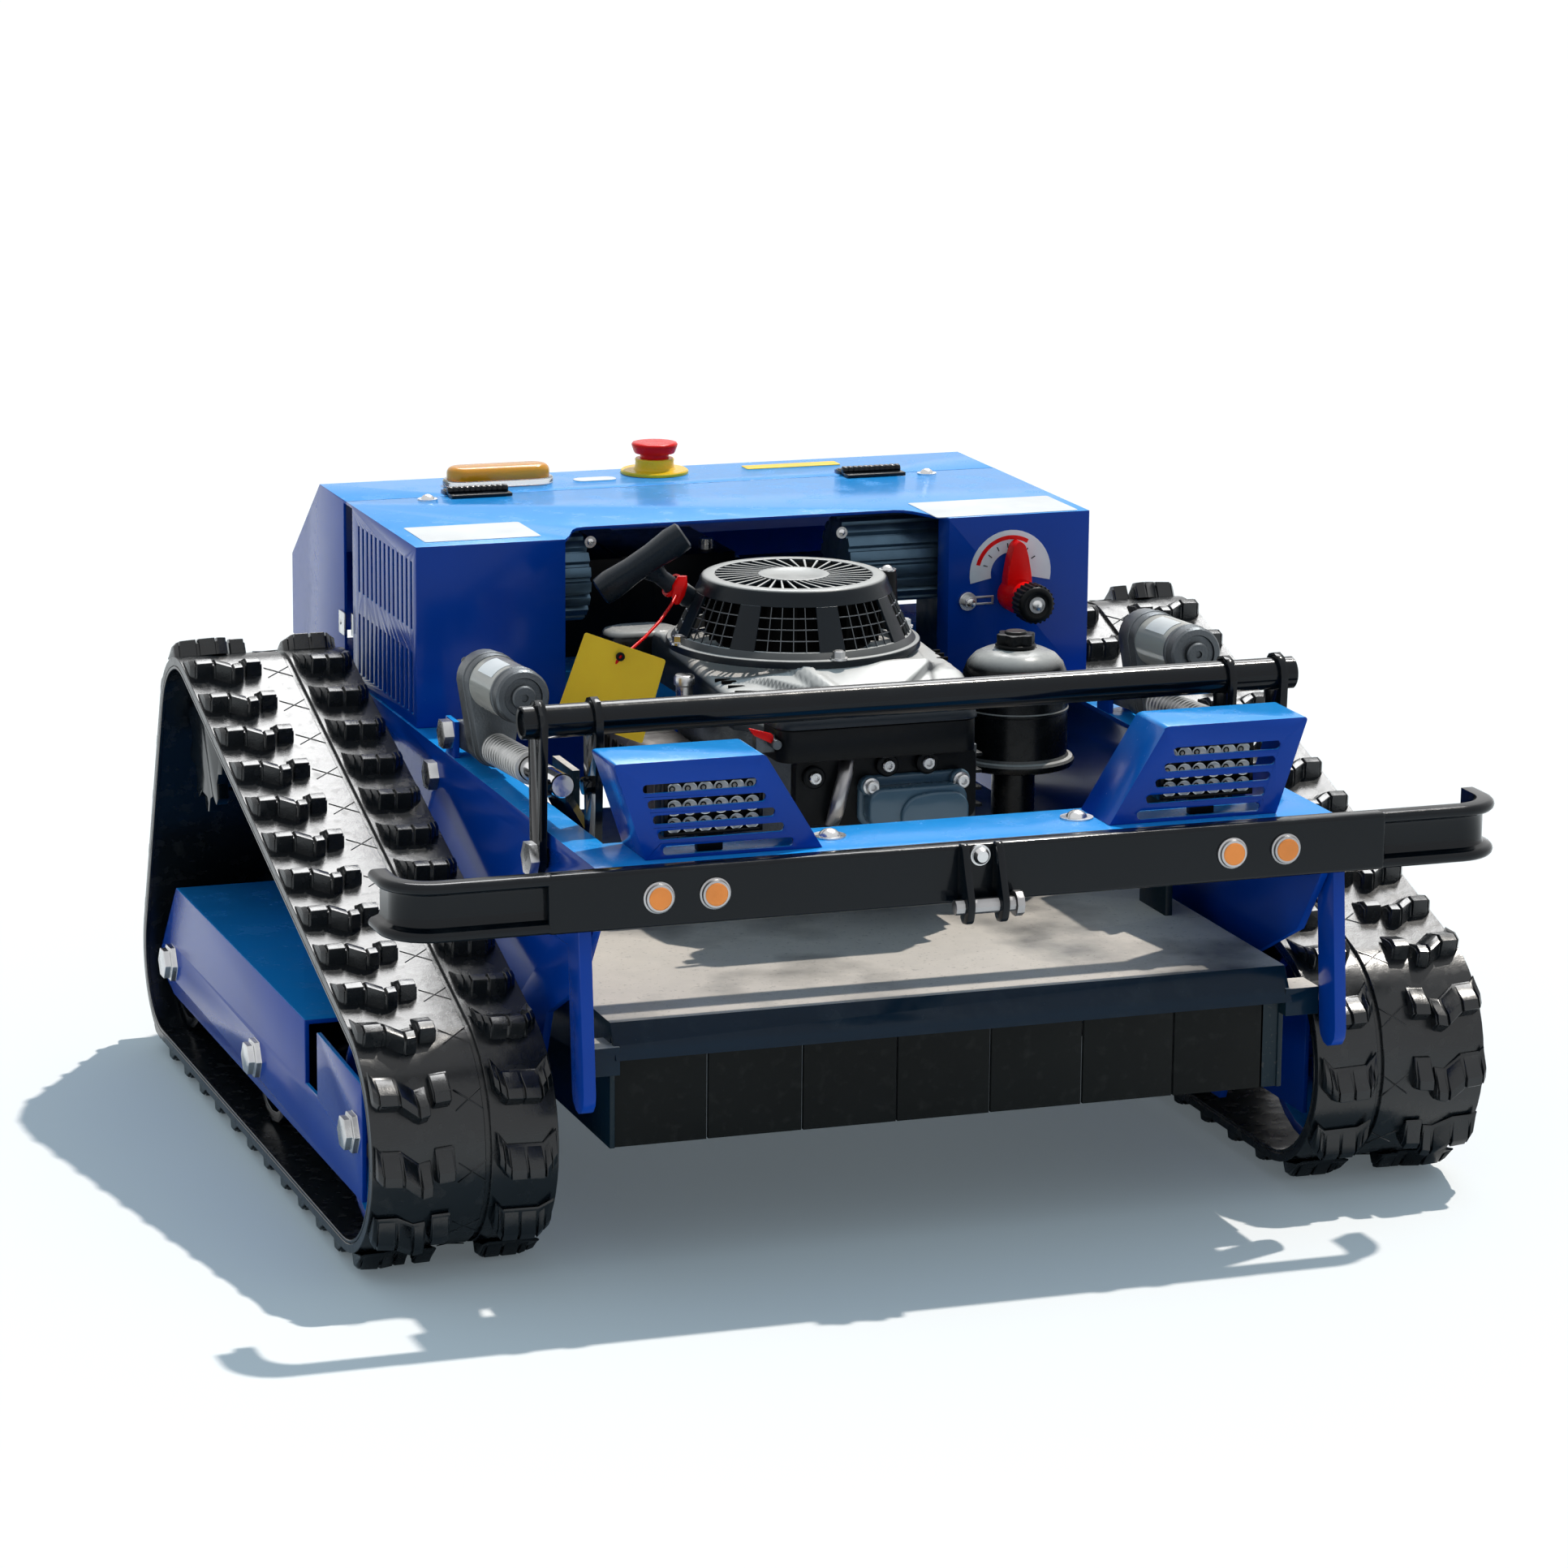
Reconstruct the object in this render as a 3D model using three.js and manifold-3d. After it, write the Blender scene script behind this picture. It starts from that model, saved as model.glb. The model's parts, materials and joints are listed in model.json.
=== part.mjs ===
// Remote control slope mower: a low tracked carrier with a vertical shaft engine on a lifting deck.
// Millimetres. X runs across the machine, the front looks along -Y and Z is up.
// The origin is on the ground under the middle of the machine's box.
import * as THREE from 'three';
import { mergeVertices } from 'three/addons/utils/BufferGeometryUtils.js';
import Module from 'manifold-3d';

const wasm = await Module();
wasm.setup();

// Whole machine
const overallLength = 948;
const trackHalfWidth = 461;
const fitGap = 0.3;
const overrun = 6;
const mergeTolerance = 0.001;
const roundSides = 18;
const fineSides = 24;
const smallSides = 10;
const hexSides = 6;
const cornerSteps = 3;

// Rubber tracks
const beltWidth = 146;
const beltThickness = 10;
const lugHeight = 14;
const lugRoot = 4;
const lugLength = 40;
const lugCount = 34;
const lugRowWidth = 60;
const lugEdgeMargin = 2;
const beltArcStep = Math.PI / 10;

// Wheels inside the tracks
const runningGap = 1.4;
const frontIdlerRadius = 80.6;
const frontIdlerSetback = 134;
const rearIdlerRadius = 58.6;
const rearIdlerBehindSprocket = 81;
const midRollerRadius = 55;
const midRollerY = 8;
const sprocketRadius = 60.6;
const sprocketFromReducerRear = 31;
const sprocketZ = 298;
const sprocketTeeth = 10;
const toothDepth = 11;
const sprocketDiscThickness = 10;
const sprocketDrumRadius = 44;
const driveShaftRadius = 12;
const driveShaftReach = 50;
const wheelWidth = 90;
const wheelHubRadius = 26;
const wheelRimThickness = 9;
const wheelWebThickness = 30;
const axleRadius = 10;
const axleClearance = 0.5;

// Track frames, folded sheet channels that hold the idlers
const trackFrameInset = 11;
const trackFrameSheet = 4;
const trackFrameTop = 154;
const trackFrameBottom = 55;
const trackFramePastIdler = 49;
const trackFrameBeforeIdler = 21;
const trackFrameSlotBehindIdler = 133;
const trackFrameSlotWidth = 38;
const trackFrameSlotBottom = 102;
const axleCollarThickness = 5;
const axleCollarRadius = 17;
const axleHeadThickness = 5.6;
const axleHeadRadius = 14;
const wheelSideClearance = 8;

// Chassis
const railTrackGap = 15;
const railSheet = 6;
const railTop = 334;
const railFlangeWidth = 29;
const railFlangeThickness = 4;
const railRearInset = 34;
const railSkirtBottom = 52;
const railSkirtHalfLength = 250;
const railRearBottom = 190;
const railFrontBottom = 230;
const railNoseBottom = 290;
const frontPlateDepth = 72;
const frontPlateDrop = 45;
const hoodFloorFront = 120;
const spacerRadius = 16;
const spacerY = 150;
const spacerZ = 100;
const railBoltY = 1;
const railBoltZ = 309;
const railBoltRadius = 13;
const railBoltThickness = 8;

// Front hood and rear cover in sheet metal
const hoodInset = 2;
const hoodTop = 486;
const hoodFront = 62;
const coverDepth = 190;
const hoodSheet = 2.5;
const boxInnerHalf = 170;
const recessDepth = 50;
const recessCornerWidth = 32;
const boxReturnDepth = 26;
const ventPitch = 13.8;
const ventWidth = 5.5;
const ventFirst = 12;
const upperVentTop = 472;
const upperVentBottom = 415;
const lowerVentTop = 396;
const lowerVentBottom = 344;
const seamGap = 1.5;
const seamRecessDepth = 10;
const hoodSideSetback = 20;
const coverSideSetback = 9;
const coverChamferDepth = 100;
const coverChamferFoot = 407;

// Hinges of the rear cover
const hingeX = 181;
const hingeLength = 54;
const hingeBarrelRadius = 4;
const hingeLeafDepth = 16;
const hingeLeafThickness = 2.6;

// Controls on the hood and the rear cover
const stopFromRoofRear = 27;
const stopRingRadius = 30;
const stopRingThickness = 3;
const stopCollarRadius = 17;
const stopCollarHeight = 10;
const stopBoreRadius = 13;
const stopHeadRadius = 20.5;
const stopHeadHeight = 10;
const stopTravel = 4;
const stopStemDepth = 8;
const beaconX = -149;
const beaconFromRoofRear = 44;
const beaconLength = 98;
const beaconWidth = 36;
const beaconHeight = 20;
const beaconCorner = 16;
const throttleAcrossShare = 0.461;
const throttleZ = 418;
const throttleHubRadius = 15;
const throttleHubReach = 38;
const throttlePointerLength = 44;
const throttlePointerWidth = 20;
const throttlePointerThickness = 14;
const throttleKnobRadius = 17;
const throttleKnobThickness = 18;

// Drive motors with their reducers
const motorY = 139;
const motorZ = 440;
const motorRadius = 38;
const motorLength = 150;
const leftMotorInset = 15;
const rightMotorInset = 54;
const motorFins = 18;
const motorFinDepth = 4;
const reducerWidth = 78;
const reducerFront = 105;
const reducerSeamGap = 6;
const reducerBottom = 271;
const reducerTop = 420;

// Battery and control box under the rear cover
const batteryLength = 180;
const batteryDepth = 130;
const batteryHeight = 86;
const batteryFromCoverRear = 109;
const batteryX = -30;
const controlBoxWidth = 110;
const controlBoxDepth = 110;
const controlBoxHeight = 56;
const controlBoxX = 150;

// Mower deck
const deckRailGap = 22;
const deckTop = 205;
const deckSheet = 4;
const deckSetback = 32;
const deckRearInset = 175;
const skirtBottom = 106;
const lipReach = 16;
const lipDrop = 26;
const lipSheet = 3.5;
const flapCount = 7;
const flapGap = 7;
const sideStripWidth = 14;
const flapThickness = 4;
const flapRodRadius = 3;
const flapRodInset = 4;
const flapRodDrop = 15.5;
const flapSideGap = 1;
const flapEyeWall = 2.6;
const flapEyeClearance = 0.4;
const deckBoreRadius = 38;

// Cutter
const shaftY = -24;
const bladeSideGap = 10;
const bladeWidth = 60;
const bladeThickness = 5;
const bladeBottom = 118;
const bladeTipCut = 24;
const spindleHubRadius = 32;
const spindleHubHeight = 18;
const spindleShaftRadius = 13;

// Front arms that guide the deck
const armThickness = 10;
const armBottomSetback = 3;
const armBottomZ = 160;
const armRadius = 15;
const armTopSetback = 17;
const armTopZ = 300;
const armEarSetback = 61;
const armEarZ = 282;
const armBoltThickness = 2.2;
const armBlockSetback = 19;
const armBlockDepth = 30;
const armBlockHeight = 22;
const armBlockDrop = 16;

// Engine
const sumpRadius = 112;
const sumpThickness = 12;
const crankcaseRadius = 95;
const crankcaseTop = 365;
const cylinderLeft = -30;
const cylinderRight = 95;
const cylinderFront = -200;
const cylinderBottom = 275;
const cylinderTop = 351.7;
const shroudTop = 405;
const shroudNoseTop = 388;
const shroudWall = 4;
const fanRingRadius = 105;
const fanRingHeight = 6;
const fanSkirtRadius = 100;
const fanShoulderRadius = 78;
const fanShoulderZ = 458;
const fanTop = 464;
const fanTopRadius = 73;
const fanWall = 3;
const fanWindows = 8;
const fanWindowWidth = 52;
const fanWindowBottom = 417;
const fanWindowTop = 451;
const airBoxLeft = -83;
const airBoxRight = 88;
const airBoxFront = -228;
const airBoxRear = -175.3;
const airBoxBottom = 352;
const airBoxTop = 392;
const airBoxCorner = 14;
const valveCoverLeft = -8;
const valveCoverRight = 83;
const valveCoverBottom = 292;
const valveCoverTop = 333;
const valveCoverDepth = 27;
const valveCoverCorner = 9;
const mufflerDepth = 54;
const mufflerFront = -110;
const mufflerRear = 40;
const mufflerBottom = 278;
const mufflerTop = 340;
const mufflerCorner = 14;

// Fuel tank beside the engine
const tankAcrossShare = 0.4583;
const tankY = -88;
const tankLipShare = 0.2976;
const tankLipHeight = 8;
const tankBottom = 306;
const tankLipWidth = 6;
const tankShoulder = 378;
const tankTop = 404;
const tankNeckRadius = 15;
const tankPostRadius = 18;
const fuelCapRadius = 17;
const fuelCapHeight = 14;

// Recoil starter handle
const handleSeat = new THREE.Vector3(-94, -4, 452);
const handleCentre = new THREE.Vector3(-126, -8, 476);
const handleBarDirection = new THREE.Vector3(0.81, -0.16, 0.56).normalize();
const handleBarLength = 84;
const handleBarRadius = 12;
const handleStemRadius = 8;
const handleRopeRadius = 2.5;
const handleRopeReach = 34;
const handleBushLength = 7;
const handleBushRadius = 9;

// Lift gear
const pivotSetback = 125;
const pivotZ = 313;
const leverHeight = 106;
const rodPinHeight = 54;
const leverPlateThickness = 6;
const innerLeverInset = 38;
const outerLeverReach = 6;
const leverBarHalf = 12.5;
const leverRingRadius = 17;
const pivotPinRadius = 8;
const pivotPinClearance = 1;
const pivotHeadRadius = 14;
const pivotHeadThickness = 7;
const liftArmLength = 108;
const liftArmHalf = 12;
const liftArmRest = THREE.MathUtils.degToRad(16);
const liftSwing = THREE.MathUtils.degToRad(50);
const liftPinRadius = 6;
const liftPinReach = 12;
const liftPinClearance = 1.5;
const liftPinSlack = 3;
const lugLeverGap = 10;
const lugPlateThickness = 6;
const lugPlateHalf = 27;
const tubeRadius = 13;
const tubeWall = 3;
const tubeReach = 20;
const rodStubRadius = 7;
const rodStubReach = 6;

// Linear actuators
const actuatorInset = 15;
const actuatorPivotY = -40;
const actuatorPivotZ = 352;
const actuatorTongueHalf = 9;
const actuatorTongueBack = 11;
const actuatorPinRadius = 6;
const gearHeadFront = -128;
const gearHeadRear = -94;
const gearHeadRadius = 23;
const gearHeadFootRadius = 15;
const canRadius = 22;
const canZ = 405;
const canFront = -205;
const bodyRadius = 13;
const bodyFront = -222;
const rodRadius = 9.5;
const rodBoreClearance = 0.6;
const rodBoreRear = -112;
const rodRear = -160;
const rodEndPast = 4;
const lugClearance = 0.5;
const actuatorLugThickness = 4;
const actuatorLugHalf = 13;
const actuatorLugTop = 364;

// Lamp guards and work lamps
const guardSetback = 11;
const guardDepth = 57;
const guardTop = 409;
const guardSheet = 3;
const guardTopInset = 18;
const guardTopWidth = 119;
const guardBottomInset = 43;
const guardBottomWidth = 140;
const guardSlots = 5;
const guardSlotHeight = 7;
const guardSlotPitch = 12;
const guardSlotTop = 392;
const guardSlotMargin = 17;
const lampInset = 60;
const lampWidth = 78;
const lampBottom = 349;
const lampTop = 392;
const lampDepth = 24;
const lampSetback = 4;
const lampFootHalf = 10;
const lampFootDepth = 8;

// Front bumper and tow eye
const bumperShortEnd = 13;
const bumperDepth = 14;
const bumperWeb = 5;
const bumperHeight = 45;
const bumperLipHeight = 10;
const bumperCornerRadius = 40;
const bumperReturn = 62;
const bumperCornerSteps = 5;
const bumperInsertInset = 121;
const bumperBoltRadius = 14;
const bumperBoltThickness = 5;
const bumperBoltOuter = 255;
const bumperBoltInner = 210;
const earReach = 24.7;
const earSpacing = 28;
const earThickness = 6;
const earDrop = 14;
const earRise = 3;
const earCorner = 12;
const towPinRadius = 6;
const towPinRise = 14;
const towPinInset = 13;
const towPinHalf = 24;
const towPinHeadRadius = 10;
const towPinHeadLength = 6;

// Places worked out from the sizes above
const beltOuter = lugHeight + beltThickness;
const groundRunTop = beltOuter + runningGap;
const frontIdlerZ = groundRunTop + frontIdlerRadius;
const rearIdlerZ = groundRunTop + rearIdlerRadius;
const midRollerZ = groundRunTop + midRollerRadius;
const beltInnerX = trackHalfWidth - beltWidth;
const railHalfWidth = beltInnerX - railTrackGap;
const hoodHalfWidth = railHalfWidth - hoodInset;
const deckHalfWidth = railHalfWidth - deckRailGap;
const coverRear = overallLength / 2;
const coverRoofRear = coverRear - coverChamferDepth;
const hoodSeam = coverRear - coverDepth;
const hoodSideRear = hoodSeam - hoodSideSetback;
const coverSideFront = hoodSeam + coverSideSetback;
const railRear = coverRear - railRearInset;
const reducerRear = hoodSideRear - reducerSeamGap;
const sprocketY = reducerRear - sprocketFromReducerRear;
const rearIdlerY = sprocketY + rearIdlerBehindSprocket;
const batteryY = coverRear - batteryFromCoverRear;
const stopY = coverRoofRear - stopFromRoofRear;
const beaconY = coverRoofRear - beaconFromRoofRear;
const earFront = -overallLength / 2;
const frontPlateFront = earFront + earReach + bumperDepth + fitGap;
const frontIdlerY = frontPlateFront + frontIdlerSetback;
const guardFront = frontPlateFront + guardSetback;
const pivotY = frontPlateFront + pivotSetback;
const deckFront = frontPlateFront + deckSetback;
const deckRear = railRear - deckRearInset;
const armBottomY = frontPlateFront + armBottomSetback;
const armTopY = frontPlateFront + armTopSetback;
const armEarY = frontPlateFront + armEarSetback;
const armBlockFront = frontPlateFront + armBlockSetback;
const trackFrameRear = rearIdlerY + trackFramePastIdler;
const trackFrameFront = frontIdlerY - trackFrameBeforeIdler;
const trackFrameSlotY = frontIdlerY + trackFrameSlotBehindIdler;
const ventCount = Math.floor((hoodSideRear - hoodFront - 2 * ventFirst) / ventPitch) + 1;
const throttleX = boxInnerHalf + throttleAcrossShare * (hoodHalfWidth - boxInnerHalf);
const leftMotorInner = railHalfWidth - leftMotorInset - motorLength;
const rightMotorInner = railHalfWidth - rightMotorInset - motorLength;
const flapRow = 2 * (deckHalfWidth - deckSheet - flapSideGap) - sideStripWidth;
const flapWidth = (flapRow - (flapCount - 1) * flapGap) / flapCount;
const flapPitch = flapWidth + flapGap;
const bladeRadius = deckHalfWidth - bladeSideGap;
const innerLeverX = railHalfWidth - innerLeverInset;
const outerLeverX = railHalfWidth + outerLeverReach;
const lugPlateX = innerLeverX - lugLeverGap;
const tubeHalfLength = railHalfWidth + tubeReach;
const actuatorX = railHalfWidth - actuatorInset;
const tankSpace = actuatorX - canRadius - crankcaseRadius;
const tankX = crankcaseRadius + tankAcrossShare * tankSpace;
const tankLipRadius = tankLipShare * tankSpace;
const tankRadius = tankLipRadius - tankLipWidth;
const guardTopOuter = railHalfWidth - guardTopInset;
const guardTopInner = guardTopOuter - guardTopWidth;
const guardBottomOuter = railHalfWidth - guardBottomInset;
const guardBottomInner = guardBottomOuter - guardBottomWidth;
const lampOuter = railHalfWidth - lampInset;
const lampInner = lampOuter - lampWidth;
const bumperLeftReach = trackHalfWidth;
const bumperRightReach = trackHalfWidth - bumperShortEnd;
const bumperInsertHalf = trackHalfWidth - bumperInsertInset;
const frameOuterX = trackHalfWidth - trackFrameInset;
const frameInnerX = frameOuterX - trackFrameSheet - wheelWidth - 2 * wheelSideClearance - trackFrameSheet;
const wheelX = (frameOuterX + frameInnerX) / 2;
const hoodBottom = railTop + fitGap;
const railFace = railHalfWidth - railSheet;
const leverTopZ = pivotZ + leverHeight;
const rodPinZ = pivotZ + rodPinHeight;
const actuatorReach = Math.hypot(pivotY - actuatorPivotY, rodPinZ - actuatorPivotZ);
const actuatorTilt = Math.atan2(rodPinZ - actuatorPivotZ, actuatorPivotY - pivotY);
const liftPinY = pivotY + liftArmLength * Math.cos(liftArmRest);
const liftPinZ = pivotZ + liftArmLength * Math.sin(liftArmRest);
const liftPinRise = liftArmLength * (1 - Math.cos(liftArmRest));
const liftPinFall = liftArmLength * (Math.cos(liftArmRest) - Math.cos(liftSwing - liftArmRest));
const lipFoot = deckTop - lipDrop;
const lipFront = deckFront - lipReach;
const flapRodY = deckFront + flapRodInset;
const flapRodZ = deckTop - flapRodDrop;
const bumperBack = frontPlateFront - fitGap;
const bumperFront = bumperBack - bumperDepth;
const bumperBottom = railTop - bumperHeight;
const towPinY = earFront + towPinInset;
const towPinZ = bumperBottom + towPinRise - earDrop;

// Shares that shape the tread blocks, across the belt from its outer edge and along it
const stepLugShares = [[0, 0.1], [0.45, 0], [1, 0.3], [1, 0.75], [0.55, 1], [0, 0.6]];
const lugPhaseShare = 0.75;
const archLugShares = [[0, 0.45], [0.3, 0], [0.7, 0], [1, 0.45], [1, 1], [0, 1]];

const paintBlue = new THREE.MeshStandardMaterial({ color: 0x0b3fae, roughness: 0.32, metalness: 0.35 });
const deckPaint = new THREE.MeshStandardMaterial({ color: 0x12303f, roughness: 0.5, metalness: 0.4 });
const blackSteel = new THREE.MeshStandardMaterial({ color: 0x15191d, roughness: 0.35, metalness: 0.6 });
const trackRubber = new THREE.MeshStandardMaterial({ color: 0x17191a, roughness: 0.62, metalness: 0 });
const castAlloy = new THREE.MeshStandardMaterial({ color: 0x4a5257, roughness: 0.5, metalness: 0.7 });
const blackPlastic = new THREE.MeshStandardMaterial({ color: 0x1b1e20, roughness: 0.5, metalness: 0 });
const brightSteel = new THREE.MeshStandardMaterial({ color: 0xb9bcbf, roughness: 0.3, metalness: 0.9 });
const greyAlloy = new THREE.MeshStandardMaterial({ color: 0x9b9a94, roughness: 0.45, metalness: 0.6 });
const signalRed = new THREE.MeshStandardMaterial({ color: 0xc8141c, roughness: 0.35, metalness: 0 });
const signalYellow = new THREE.MeshStandardMaterial({ color: 0xf2b90f, roughness: 0.4, metalness: 0 });
const amberLens = new THREE.MeshStandardMaterial({ color: 0xf08a10, roughness: 0.2, metalness: 0 });
const clearLens = new THREE.MeshStandardMaterial({ color: 0xc8d0d4, roughness: 0.15, metalness: 0.1 });

const mower = new THREE.Group();

// A closed triangle mesh becomes a solid: shared corners merge, flat slivers go, faces turn outwards.
function solidFrom(geometry) {
  const bare = geometry.index ? geometry.toNonIndexed() : geometry.clone();
  bare.deleteAttribute('normal');
  bare.deleteAttribute('uv');
  const merged = mergeVertices(bare, mergeTolerance);
  const points = merged.attributes.position.array;
  const corners = merged.index.array;
  const kept = [];
  for (let i = 0; i < corners.length; i += 3) {
    const [a, b, c] = [corners[i], corners[i + 1], corners[i + 2]];
    if (a !== b && b !== c && c !== a) kept.push([a, b, c]);
  }
  const at = (i) => new THREE.Vector3(points[3 * i], points[3 * i + 1], points[3 * i + 2]);
  const volume = kept.reduce((sum, [a, b, c]) => sum + at(a).dot(at(b).cross(at(c))), 0);
  const turned = kept.map(([a, b, c]) => (volume < 0 ? [a, c, b] : [a, b, c]));
  const triVerts = new Uint32Array(turned.flat());
  return new wasm.Manifold(new wasm.Mesh({ numProp: 3, vertProperties: points, triVerts }));
}

function block([x0, x1], [y0, y1], [z0, z1]) {
  const shape = new THREE.BoxGeometry(Math.abs(x1 - x0), Math.abs(y1 - y0), Math.abs(z1 - z0));
  shape.translate((x0 + x1) / 2, (y0 + y1) / 2, (z0 + z1) / 2);
  return solidFrom(shape);
}

// A straight round bar along one axis; its place is given on the two other axes in X, Y, Z order.
function rod(axis, [a, b], radius, [from, to], sides = roundSides, endRadius = radius) {
  const [low, high] = from < to ? [from, to] : [to, from];
  const [lowRadius, highRadius] = from < to ? [radius, endRadius] : [endRadius, radius];
  const shape = new THREE.CylinderGeometry(highRadius, lowRadius, high - low, sides, 1);
  shape.rotateY(Math.PI / sides);
  const middle = (low + high) / 2;
  if (axis === 'x') shape.rotateZ(-Math.PI / 2).translate(middle, a, b);
  if (axis === 'y') shape.translate(a, middle, b);
  if (axis === 'z') shape.rotateX(Math.PI / 2).translate(a, b, middle);
  return solidFrom(shape);
}

function rodBetween(from, to, radius, sides = roundSides) {
  const direction = to.clone().sub(from);
  const shape = new THREE.CylinderGeometry(radius, radius, direction.length(), sides, 1);
  const turn = new THREE.Quaternion().setFromUnitVectors(new THREE.Vector3(0, 1, 0), direction.clone().normalize());
  shape.applyQuaternion(turn);
  const middle = from.clone().add(to).multiplyScalar(0.5);
  shape.translate(middle.x, middle.y, middle.z);
  return solidFrom(shape);
}

function extruded(points, depth) {
  const shape = new THREE.Shape(points.map(([u, v]) => new THREE.Vector2(u, v)));
  return new THREE.ExtrudeGeometry(shape, { depth, bevelEnabled: false, steps: 1 });
}

// Plates cut to an outline: in Y and Z, standing across X; in X and Z; in X and Y.
function plateAcross(points, [xa, xb]) {
  const shape = extruded(points, Math.abs(xb - xa));
  const turn = new THREE.Matrix4().makeBasis(
    new THREE.Vector3(0, 1, 0), new THREE.Vector3(0, 0, 1), new THREE.Vector3(1, 0, 0));
  shape.applyMatrix4(turn).translate(Math.min(xa, xb), 0, 0);
  return solidFrom(shape);
}

function plateFacing(points, [ya, yb]) {
  const shape = extruded(points, Math.abs(yb - ya));
  shape.rotateX(Math.PI / 2).translate(0, Math.max(ya, yb), 0);
  return solidFrom(shape);
}

function plateLevel(points, [za, zb]) {
  const shape = extruded(points, Math.abs(zb - za));
  shape.translate(0, 0, Math.min(za, zb));
  return solidFrom(shape);
}

// A turned piece: pairs of radius and height round an upright axis.
function turned(profile, [x, y], sides = roundSides) {
  const shape = new THREE.LatheGeometry(profile.map(([r, z]) => new THREE.Vector2(r, z)), sides);
  shape.rotateX(Math.PI / 2).translate(x, y, 0);
  return solidFrom(shape);
}

// The same, round an axis along X; pairs of radius and place along X.
function turnedAcross(profile, [y, z], sides = roundSides) {
  const shape = new THREE.LatheGeometry(profile.map(([r, x]) => new THREE.Vector2(r, x)), sides);
  shape.rotateZ(-Math.PI / 2).translate(0, y, z);
  return solidFrom(shape);
}

// Corners of an outline become short curves.
function softened(points, radius, steps = cornerSteps) {
  const count = points.length;
  return points.flatMap((point, i) => {
    const corner = new THREE.Vector2(...point);
    const before = new THREE.Vector2(...points[(i + count - 1) % count]).sub(corner);
    const after = new THREE.Vector2(...points[(i + 1) % count]).sub(corner);
    const reach = Math.min(radius, before.length() * 0.45, after.length() * 0.45);
    const start = corner.clone().add(before.setLength(reach));
    const end = corner.clone().add(after.setLength(reach));
    const curve = new THREE.QuadraticBezierCurve(start, corner, end);
    return curve.getPoints(steps).map((p) => [p.x, p.y]);
  });
}

// A flat bar between two round ends, as an outline.
function capsule([ya, za], ra, [yb, zb], rb, steps = 6) {
  const along = Math.atan2(zb - za, yb - ya);
  const lean = Math.acos((ra - rb) / Math.hypot(yb - ya, zb - za));
  const arc = (y, z, r, from, to) => Array.from({ length: steps + 1 }, (_, i) => {
    const angle = from + (to - from) * i / steps;
    return [y + r * Math.cos(angle), z + r * Math.sin(angle)];
  });
  const end = arc(yb, zb, rb, along - lean, along + lean);
  const start = arc(ya, za, ra, along + lean, along - lean + 2 * Math.PI);
  return [...end, ...start];
}

function rectangle([a0, a1], [b0, b1]) {
  return [[a0, b0], [a1, b0], [a1, b1], [a0, b1]];
}

function joined(...solids) {
  return solids.reduce((sum, piece) => sum.add(piece));
}

function cut(solid, ...tools) {
  return tools.reduce((rest, tool) => rest.subtract(tool), solid);
}

function add(name, solid, material) {
  const { vertProperties, triVerts } = solid.getMesh();
  const shape = new THREE.BufferGeometry();
  shape.setAttribute('position', new THREE.BufferAttribute(vertProperties, 3));
  shape.setIndex(new THREE.BufferAttribute(triVerts, 1));
  const mesh = new THREE.Mesh(shape, material);
  mesh.name = name;
  mower.add(mesh);
}

const sides = [['left', -1], ['right', 1]];
const span = (side, a, b) => [side * a, side * b];

// Belt path: round the front idler, the sprocket and the rear idler, as seen along X.
const loopWheels = [
  { y: rearIdlerY, z: rearIdlerZ, r: rearIdlerRadius },
  { y: sprocketY, z: sprocketZ, r: sprocketRadius },
  { y: frontIdlerY, z: frontIdlerZ, r: frontIdlerRadius },
];

function normalBetween(a, b) {
  const along = Math.atan2(b.z - a.z, b.y - a.y);
  return along - Math.acos((a.r - b.r) / Math.hypot(b.y - a.y, b.z - a.z));
}

function loopArcs(offset) {
  return loopWheels.map((wheel, i) => {
    const before = loopWheels[(i + 2) % 3];
    const after = loopWheels[(i + 1) % 3];
    const from = normalBetween(before, wheel);
    let to = normalBetween(wheel, after);
    while (to < from) to += 2 * Math.PI;
    return { y: wheel.y, z: wheel.z, r: wheel.r + runningGap + offset, from, to };
  });
}

function loopOutline(offset) {
  return loopArcs(offset).flatMap(({ y, z, r, from, to }) => {
    const steps = Math.ceil((to - from) / beltArcStep);
    return Array.from({ length: steps + 1 }, (_, i) => {
      const angle = from + (to - from) * i / steps;
      return [y + r * Math.cos(angle), z + r * Math.sin(angle)];
    });
  });
}

// Places at equal steps along the outside of the belt, each with its outward direction.
function lugPlaces() {
  const outline = loopOutline(beltThickness);
  const lengths = outline.map(([y, z], i) => {
    const [ny, nz] = outline[(i + 1) % outline.length];
    return Math.hypot(ny - y, nz - z);
  });
  const total = lengths.reduce((sum, length) => sum + length, 0);
  return Array.from({ length: lugCount }, (_, k) => {
    let left = (k + lugPhaseShare) * total / lugCount;
    let i = 0;
    while (left > lengths[i]) {
      left -= lengths[i];
      i += 1;
    }
    const [y, z] = outline[i];
    const [ny, nz] = outline[(i + 1) % outline.length];
    const t = left / lengths[i];
    const along = [(ny - y) / lengths[i], (nz - z) / lengths[i]];
    return { y: y + (ny - y) * t, z: z + (nz - z) * t, along };
  });
}

function lug(shares, side, outerEdge, place) {
  const points = shares.map(([u, v]) => [side * (outerEdge - u * lugRowWidth), (v - 0.5) * lugLength]);
  const shape = extruded(points, lugHeight + lugRoot);
  const [ay, az] = place.along;
  const turn = new THREE.Matrix4().makeBasis(
    new THREE.Vector3(1, 0, 0), new THREE.Vector3(0, ay, az), new THREE.Vector3(0, -az, ay));
  shape.translate(0, 0, -lugHeight);
  shape.applyMatrix4(turn).translate(0, place.y, place.z);
  return solidFrom(shape);
}

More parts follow.
